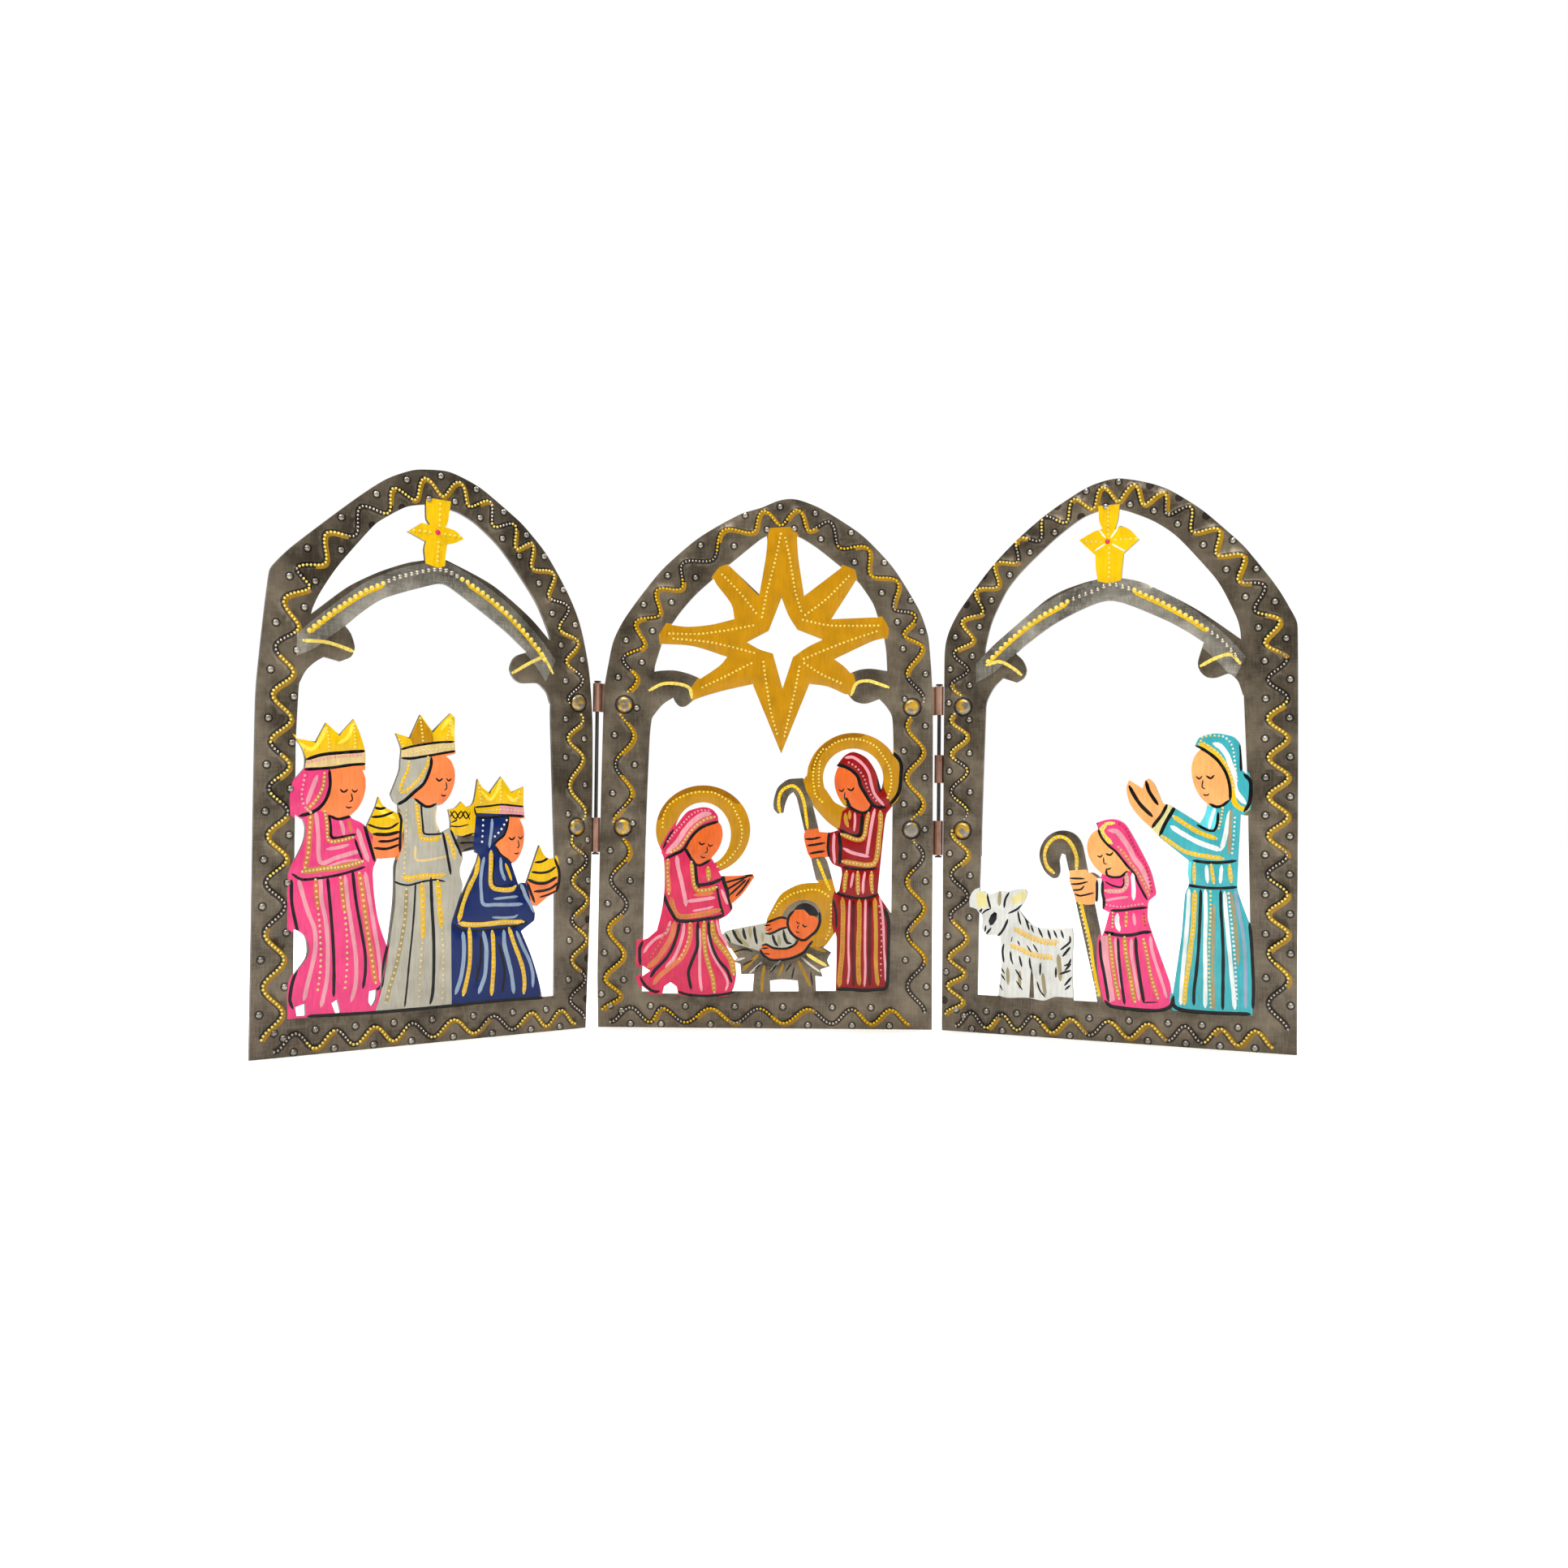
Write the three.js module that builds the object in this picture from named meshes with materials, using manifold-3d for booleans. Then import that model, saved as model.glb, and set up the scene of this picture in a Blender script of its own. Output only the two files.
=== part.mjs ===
// Hinged metal triptych with a cut-out nativity scene: a centre panel and two wings of hand
// cut sheet steel, joined by two small butt hinges, with a raised wave around each frame.
// Millimetres, +Z up. The origin is at the foot of the centre panel, in the middle of the sheet.
import * as THREE from 'three';
import { mergeVertices } from 'three/addons/utils/BufferGeometryUtils.js';
import ManifoldModule from 'manifold-3d';

const wasm = await ManifoldModule();
wasm.setup();

// Sheet and clearances
const SHEET = 1.2;
const CLEAR = 0.3;
const FRONT = -SHEET / 2;
const BACK = SHEET / 2;

// Wings: how far each is turned forward from flat, in degrees
const LEFT_TURN = 39;
const RIGHT_TURN = 24;

// Hinges
const AXIS_X = 64.5;
const AXIS_Y = -0.2;
const EDGE_TO_AXIS = 2;
const HINGE_FOOT = 65.4;
const HINGE_TOP = 128.9;
const LEAF_THICK = 0.6;
const LEAF_WIDTH = 16.5;
const LEAF_START = 2.4;
const KNUCKLE_R = 1.7;
const BORE_R = 1.06;
const PIN_R = 0.7;
const PIN_HEAD_R = 1.3;
const PIN_HEAD = 0.6;
const TOP_KNUCKLE = [118.1, 128.9];
const MIDDLE_KNUCKLE = [92.5, 103];
const FOOT_KNUCKLE = [65.4, 78.3];

// Rivets
const RIVET_Z = [121, 74.8];
const RIVET_HEAD_R = 2.65;
const RIVET_HEAD = 1;
const RIVET_SHANK_R = 1.4;
const RIVET_TAIL_R = 2.2;
const RIVET_TAIL = 0.7;
const RIVET_SEAT_R = 3.1;
const HOLE_R = 1.8;
const CENTRE_RIVET_X = 54.2;
const LEFT_RIVET_X = 56;
const RIGHT_RIVET_X = -55;

// Raised wave around each frame and bead line along each roof band
const WAVE_SWING = 2.9;
const WAVE_WIDTH = 1.5;
const WAVE_RISE = 0.35;
const FOOT_LINE = 4.7;
const FOOT_SWING = 2.4;
const BEAD_WIDTH = 1.6;

// Smooth outlines are sampled about this often, and points this close to a line are dropped
const STEP = 2.4;
const FLAT = 0.3;

// Each outline is a ring of [across, up] points joined by smooth curves. A third value of 1
// marks a sharp corner.

// Left wing: three kings under an arched roof band with a cross. Positions run across from
// the panel middle and up from its foot.
const LEFT = {
  outer: [[-62.6, 0, 1], [-62.5, 38.5], [-62.6, 78.5], [-62.7, 107.5], [-62.3, 122.2],
    [-61.1, 136.1], [-59.6, 150.2], [-59, 156.5, 1], [-56.6, 160.4], [-49.2, 168.1],
    [-38.8, 177.2], [-29.7, 185.3], [-20.6, 192.4], [-12.4, 196.6], [-6, 198.3], [1.2, 198.9],
    [7.5, 197.7], [15.6, 194.6], [24.3, 189.4], [33, 183.3], [41.5, 175], [46.5, 168.2],
    [51.4, 160.6], [55.3, 152.9], [58.3, 143.5], [59.5, 136.9], [61.2, 128.5], [61.8, 118.3],
    [62.5, 107.5], [62.5, 58.3], [61, 0, 1]],
  inner: [[-49, 12, 1], [-49.6, 58.3], [-49.7, 99.1], [-49.4, 111.7], [-48.9, 121.2],
    [-47.8, 132.9], [-45.8, 143.1], [-43.9, 148.6], [-41.1, 153.9], [-36.5, 161.1], [-30.1, 169.2],
    [-24.6, 176], [-19.1, 180.4], [-12.7, 184.3], [-8.1, 185.8], [-1.6, 186.4], [3, 185.8],
    [6.2, 185.1], [12.4, 182.6], [18.4, 178.5], [23.6, 174.1], [28.7, 168.2], [37.1, 157.8],
    [42.7, 147.3], [44.4, 141.5], [44.8, 131.8], [44.9, 122.2], [44.7, 111.7], [45.7, 88.8],
    [46.9, 68.4], [47.2, 48.4], [47.6, 12.7, 1]],
  roof: [[-50.7, 139.4, 1], [-46.6, 142.8], [-42.9, 145.9], [-39.3, 149.1], [-33, 154.4],
    [-26.7, 158.2], [-19.6, 162], [-12.4, 164.9], [-5.2, 167.1], [-1.2, 168], [2.4, 167.6],
    [8.1, 165.5], [14.3, 163.4], [22.1, 159.8], [28.1, 155.8], [34.9, 151.1], [39.9, 146.5],
    [44.9, 142], [49.3, 139.4, 1], [48.4, 124.4, 1], [44.3, 120.1], [42.9, 123.8], [38.8, 127.1],
    [34.5, 126.9], [31.9, 126.7], [29.3, 128.1], [27.6, 131.3], [29.1, 135.5], [32.4, 137.6],
    [34.7, 138.2, 1], [30.9, 141.2], [22.4, 147.3], [13.8, 152.5], [6.8, 156.8], [1.4, 159.2, 1],
    [-3.7, 158.2], [-10.9, 155.8], [-19.9, 152.1], [-27, 147.3], [-31.5, 143.5], [-33.8, 141.2, 1],
    [-31.8, 138.8], [-30.4, 134.6], [-31.8, 130.9], [-35.4, 129.2], [-38.8, 129.8], [-40.8, 130.3],
    [-43.6, 128.5], [-46.7, 125.4], [-48.8, 121.2], [-51, 119.1, 1]],
  cross: [[-5.9, 187.9, 1], [-5.5, 181], [-4.2, 179.2, 1], [-7.2, 179.5], [-12.3, 175.8, 1],
    [-8.7, 174.3], [-5.6, 173.2, 1], [-6.2, 170.6], [-5.6, 166, 1], [1.4, 166, 1], [1.9, 170.6],
    [2.3, 173.2, 1], [5.6, 174.3], [8.6, 176, 1], [5.5, 178.4], [1.6, 179.2, 1], [2.5, 181.2],
    [3.3, 187.9, 1]],
  crown1: [[-49.9, 103.1, 1], [-43, 102.2, 1], [-39.7, 108.6, 1], [-35.1, 104.8, 1],
    [-30.3, 110.3, 1], [-28, 105.4], [-26.1, 99.1, 1], [-26.1, 93.4, 1], [-36, 92.5],
    [-46.6, 92.1, 1], [-46.4, 96.4], [-47.6, 100.2]],
  hood1: [[-46.2, 93.9, 1], [-49.3, 90.1], [-50.4, 84.7], [-50, 78.7], [-47.2, 76.8],
    [-43.8, 78.5], [-40.5, 81.6], [-38, 86.7], [-37.3, 93.4, 1]],
  robe1: [[-46.9, 77, 1], [-45.9, 74], [-46.5, 69.4], [-48.4, 64.4], [-51, 59.3, 1],
    [-51, 41.5, 1], [-48.2, 40.8, 1], [-45.4, 38.7], [-44.5, 34.6], [-45, 31.3], [-48, 27.4],
    [-50.6, 23.9, 1], [-50.6, 10.5, 1], [-19.6, 10.5, 1], [-19.8, 19.1], [-18.6, 25.8],
    [-17, 33.1, 1], [-18.6, 36.7], [-20.3, 42], [-21.7, 48.4], [-22.7, 56.8], [-22.6, 60.7],
    [-21, 64.4], [-22.6, 69.4], [-24.3, 72.6], [-26.4, 75.3], [-30.3, 77.1], [-33, 80.6, 1],
    [-40, 81.6, 1]],
  jar1: [[-21.2, 84.5, 1], [-19.3, 81.4], [-14.5, 79.1], [-12.8, 76.7], [-13.4, 71.9],
    [-13.2, 66.4], [-14.6, 64, 1], [-20.5, 63.6, 1], [-22.5, 66.4], [-23.2, 71.4], [-25.3, 74.3],
    [-23.9, 77.5], [-22.4, 80.6]],
  crown2: [[-15.4, 106.3, 1], [-10.3, 105, 1], [-6.6, 113.1, 1], [-2.1, 107.5, 1], [4.6, 114.2, 1],
    [6.3, 112.7, 1], [6.2, 106.4], [6.7, 100.2, 1], [-3, 97.6], [-13.6, 96.4, 1], [-13.4, 101.2]],
  hood2: [[-13.6, 97.6, 1], [-13.9, 93.5], [-15.6, 89.1], [-16.9, 85.5], [-15.8, 83.1],
    [-13.8, 81.6, 1], [-8, 82.6, 1], [-4, 88.8], [-2, 95], [-2.2, 98.6, 1]],
  robe2: [[-14.3, 82.6, 1], [-13.6, 77.5], [-13.2, 72.4], [-13.4, 66.9], [-15.1, 61.3],
    [-15.3, 49.4], [-16, 40.9], [-17, 33.1, 1], [-17.8, 26.8], [-19.5, 19.1], [-21, 10.5, 1],
    [8, 10.5, 1], [8, 41.5], [9.2, 49.5], [10.2, 54.3, 1], [9.2, 57.3], [9.1, 60.3], [10.2, 63.7],
    [9, 67.4], [6.8, 71.2], [5.2, 74.1], [3.4, 73.2], [1.6, 72.3], [-0.2, 76.5], [0, 83.6, 1]],
  jar2: [[4.4, 80.6, 1], [7, 81.2], [9.2, 83.4, 1], [11, 81.6], [13.2, 82.2, 1],
    [14.5, 84.7, 1], [16, 66.8, 1], [9.6, 65.6], [7.2, 68.9], [5.4, 72.4], [5.3, 76.5]],
  crown3: [[15.4, 91.5, 1], [17, 88.8], [20.1, 86.7, 1], [24.6, 92.6, 1], [28.8, 87.1, 1],
    [33.7, 89.2, 1], [33.6, 83.6], [34.3, 77.8, 1], [24, 76.5], [13.6, 76.1, 1], [14, 82.6]],
  hood3: [[15.6, 78, 1], [15.2, 71.4], [14.8, 65.6, 1], [17.5, 64.2], [21, 66.9], [25, 72.4],
    [27.2, 78, 1]],
  robe3: [[16.6, 66.4, 1], [15.6, 62.3], [12.5, 56.3], [10, 50.4], [7.8, 43.4], [6.6, 40.9],
    [6, 28.8], [6, 10.5, 1], [43, 10.5, 1], [41.9, 13.9], [40.6, 19.8], [37.5, 28.4],
    [33.4, 37, 1], [38.8, 40.7], [39, 43.4], [37.6, 46.6], [36, 51], [35.3, 54.3], [33.6, 54.5],
    [32.2, 53.6, 1], [31, 56.3], [29.3, 60.9], [28, 66.4, 1]],
  jar3: [[40.5, 68, 1], [42.2, 64.8], [44.4, 63.1], [49, 63.4, 1], [49.6, 51.4, 1],
    [44.4, 49.2], [39.7, 45.8, 1], [37, 46.4, 1], [35.3, 53.9], [37.3, 58.9], [38.6, 63.4]],
  hemGap1: [[-48.2, 15.8, 1], [-45, 16.8, 1], [-44.7, 12.8, 1], [-47.7, 12.8, 1]],
  hemGap2: [[-36.2, 16.2, 1], [-34.2, 17.4, 1], [-33, 12.8, 1], [-34.8, 12.8, 1]],
  hemGap3: [[-23.3, 19.3, 1], [-20.7, 19.7, 1], [-20.9, 16.2], [-22.3, 14, 1], [-23.5, 15.7]],
  head1: { at: [-33, 87.3], size: [7.2, 9.6], tilt: 0 },
  head2: { at: [-0.4, 91], size: [7.0, 9.3], tilt: 0 },
  head3: { at: [27.6, 70.6], size: [6.6, 9.4], tilt: 6 },
};

// Centre panel: an eight-pointed star over a kneeling woman, an infant on a manger and a
// standing man with a crook.
const CENTRE = {
  outer: [[-62.6, 0, 1], [-63.1, 24.9], [-62.6, 59.7], [-62.3, 99.5], [-62, 124.4], [-60.6, 135.3],
    [-58.3, 145.9], [-54.9, 152.8], [-49.4, 161], [-44.1, 168], [-38.8, 174], [-32.6, 179.6],
    [-25.5, 185.3], [-18.4, 189.5], [-11.5, 193.4], [-3.5, 196], [2.6, 198.6], [7, 199.5],
    [11.3, 199], [17.3, 196.9], [24.2, 193], [31.1, 188.8], [37.9, 183.1], [44.8, 176.1],
    [49.8, 169.2], [54.9, 161], [57.8, 154.9], [60, 148.3], [60.8, 141.3], [61.3, 132.3],
    [62, 121.4], [62.3, 99.5], [62.4, 49.8], [62.4, 0, 1]],
  inner: [[-46.4, 13.3, 1], [-46.3, 34.8], [-45.7, 69.6], [-45.1, 94.5], [-44.6, 108.5],
    [-43.8, 116.9], [-43.7, 126.4], [-42.9, 135.8], [-40.7, 143.9], [-39.4, 147.8], [-36.2, 152.2],
    [-33, 156.9], [-27.7, 163], [-21.1, 169], [-15.8, 174], [-6.9, 181.4], [-2.1, 185.1],
    [3.9, 187.7], [10.6, 185.4], [16.2, 182.2], [22.2, 177.9], [27.3, 174], [32.8, 169.1],
    [35.9, 165.4], [39.2, 160.2], [41, 155.1], [43.2, 149.2], [44.3, 142.3], [44.9, 132.6],
    [45.8, 125.4], [46.8, 116.9], [47.3, 107.5], [47.2, 79.6], [47, 49.8], [46.8, 14.3, 1]],
  star: [[-0.5, 188.3], [-1, 183.1], [-1.9, 174.1], [-3.8, 163.2, 1], [-15.3, 173.9],
    [-18.4, 172.7], [-21.2, 169.2], [-18.1, 164.5], [-14.3, 159.3], [-13.1, 153.7, 1],
    [-21.8, 151.5], [-30.5, 150.6], [-38.8, 151.4], [-41, 147.3], [-40.7, 144.1], [-35.1, 144],
    [-26.4, 142.9], [-15.6, 139.4, 1], [-18.6, 135.9], [-25.5, 131.1], [-28.8, 126.9],
    [-28.2, 123], [-17.8, 126.4], [-6, 129.2, 1], [-2.4, 120.4], [3.1, 107], [5, 103.1, 1],
    [7.5, 109.2], [11, 118.4], [15.4, 129.5, 1], [22.2, 128.6], [30.3, 125.6], [31.9, 130.3],
    [30.8, 133.7], [28.3, 136.3], [24.6, 138.9, 1], [30.2, 141.6], [38.9, 145.8], [44.2, 147.3],
    [44.7, 150.7], [42.3, 154.6], [34.7, 154.5], [23.4, 154, 1], [27.1, 160.2], [32.6, 168.8],
    [31.5, 172.4], [27.5, 173.9], [20, 168.2], [13.1, 162.7, 1], [12, 169.2], [10.8, 177.1],
    [10.2, 185.6], [7.4, 188.3]],
  starGap: [[4.6, 162.1, 1], [7.4, 155.2], [10.7, 150, 1], [15.1, 148.6], [20.4, 146.3, 1],
    [14.5, 143.3], [9.1, 139.5, 1], [7.5, 134.3], [5.3, 127.6, 1], [3.1, 134.3], [1.5, 140.8, 1],
    [-3.5, 142.3], [-8.4, 145, 1], [-4.4, 147.3], [-0.2, 149.4, 1], [2, 155.2]],
  leftBracket: [[-45.7, 133.1, 1], [-40.5, 133.9], [-35.3, 134], [-30, 132.8], [-25.2, 130.8, 1],
    [-27.4, 123.4, 1], [-31.1, 120.6], [-33.3, 120.4], [-35, 122], [-35.9, 123.8, 1],
    [-39.8, 121.2], [-43.2, 117], [-46, 112.4, 1]],
  rightBracket: [[46.8, 134.3, 1], [44.7, 134.7], [38.7, 135.4], [34.4, 135], [30.3, 133.5, 1],
    [29.7, 126, 1], [32.4, 123.1], [36.7, 122.2], [39.8, 123.1], [41.9, 124, 1], [44.5, 121.2],
    [46.6, 117.2], [49, 113.4, 1]],
  womanHalo: { outer: [-24.1, 74.1, 17.7, 16.7], inner: [-24.2, 72.4, 10.6, 12.0] },
  womanVeil: [[-24.3, 82.6], [-29.5, 81.2], [-33.2, 77], [-35.8, 73], [-38.3, 68.3], [-39.7, 65.5],
    [-38.4, 62.7, 1], [-32, 64.7], [-28.4, 69.6], [-24.5, 74.1], [-18.3, 76.4, 1], [-18.6, 79.2],
    [-20.8, 81.8]],
  womanRobe: [[-38.8, 64.7, 1], [-38.3, 56], [-38.5, 49.8], [-39.5, 42.2], [-41, 36.2], [-44.5, 33.2],
    [-48, 31.8, 1], [-48, 24.1, 1], [-46.2, 23.3], [-43.3, 21.1, 1], [-46.1, 19.1], [-48, 18.5, 1],
    [-47, 15.9], [-43.4, 13.3], [-40, 11.9, 1], [-13.6, 11.9, 1], [-12, 14.9], [-11.1, 19.7],
    [-11.6, 24.9], [-14.7, 30.3], [-17.2, 36.8], [-17.8, 40.4, 1], [-14.7, 42.1], [-12.7, 44.6],
    [-13.2, 47.8], [-15.4, 52.7], [-17.2, 56.9], [-19.5, 60.7], [-22, 65.7, 1]],
  womanHands: [[-17.5, 56.7, 1], [-10, 57], [-5.3, 57.7], [-4.7, 56.5], [-8.6, 50.7], [-12.5, 46.8],
    [-15, 45.8, 1]],
  hemGap: [[-38.7, 12.6, 1], [-38.1, 15.2], [-35.7, 16.9], [-33.3, 15.2], [-32.8, 12.6, 1]],
  infantHalo: [[-0.4, 37.8, 1], [0.4, 41.3], [2.7, 46], [6.2, 50.8], [12.3, 53.9], [19.2, 54.6],
    [22.5, 55.5, 1], [27, 48.8, 1], [27.2, 37.8], [25, 34.6], [22.6, 31.4], [20, 28.9, 1]],
  infantBody: [[-17, 34.2, 1], [-15, 36.2], [-10, 37], [-5.1, 38], [0.1, 39.4], [6, 41.8, 1],
    [20, 35.8], [20, 29.8, 1], [-14, 29.8, 1]],
  manger: [[-16.4, 34.4, 1], [-14, 30.5, 1], [-10.6, 26.1], [-12.2, 24.9, 1], [-9.6, 23.9, 1],
    [-9.2, 20.1, 1], [-4.4, 20.3, 1], [-5, 11.9, 1], [19, 11.9, 1], [18.6, 19.7, 1],
    [21.4, 19.4, 1], [20.4, 22.1, 1], [24, 23.4, 1], [23, 25.7, 1], [24.5, 28.5, 1], [21, 30.6],
    [18, 33.8, 1]],
  mangerGap: [[1.8, 13.7, 1], [1.6, 17.8, 1], [6, 18.3], [12, 17.9, 1], [12.4, 13.8, 1]],
  manHalo: { outer: [32.4, 93.5, 17.8, 17.6], inner: [32.2, 93.9, 11.4, 11.3] },
  manHaloFoot: [[15.2, 95.5, 1], [13.6, 93.5, 1], [14.6, 89.6], [15.2, 85.8], [18.8, 81.4],
    [22.4, 77.8], [27.5, 74, 1], [31, 79.6, 1], [26, 83.6], [22, 89.6, 1]],
  manVeil: [[25.8, 98.5, 1], [28.5, 102.1], [32.3, 103.9], [37.5, 101.4], [40.6, 96.7], [42.4, 91],
    [44, 85.8], [45.2, 83.6], [43.2, 82.7], [39.5, 84.4, 1], [35, 93.5], [32, 97.5]],
  manRobe: [[30.8, 84.6, 1], [28.6, 79.6], [27.2, 74.6, 1], [23.6, 73.4], [22.6, 69.6], [23.1, 64.7],
    [24.6, 61.9], [28, 60.3, 1], [28.3, 57.7], [27.3, 51.7], [25.6, 50.3, 1], [25.2, 39.8],
    [26.5, 33.5], [26.3, 12.9, 1], [48, 12.9, 1], [48, 41.8, 1], [46.2, 44.3], [43.6, 48],
    [41.8, 51.3], [42.3, 59.5], [43.4, 69.6], [44.2, 77.6], [45.5, 83.6, 1], [38, 87.6, 1]],
  manStaff: [[4, 80.4], [2.5, 82.1], [2.3, 85], [3.6, 89.8], [7.9, 93.4], [13.3, 93.9, 1],
    [15.5, 90], [16.8, 84], [19.7, 73.3, 1], [17.4, 61.7, 1], [21.8, 64.3], [24, 57.2],
    [26.4, 49.8, 1], [24, 50.3, 1], [20.5, 54.1], [18.6, 55.7], [16.7, 63.5, 1], [13.9, 73.6, 1],
    [12.4, 80.1], [11, 86.5], [9.7, 88.6], [8, 87.2], [6.6, 83.6], [6.1, 80.8]],
  manHand: [[13.9, 73.2], [18, 73.8], [24, 73.5, 1], [24, 64.5, 1], [20, 64], [16.4, 63.9],
    [14.8, 67.7]],
  womanHead: { at: [-23.6, 70.6], size: [6.5, 9.0], tilt: -12 },
  manHead: { at: [32.6, 91.3], size: [7.2, 10.0], tilt: 6 },
  infantHead: { at: [14.4, 39.4], size: [5.2, 5.8], tilt: 38 },
};

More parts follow.
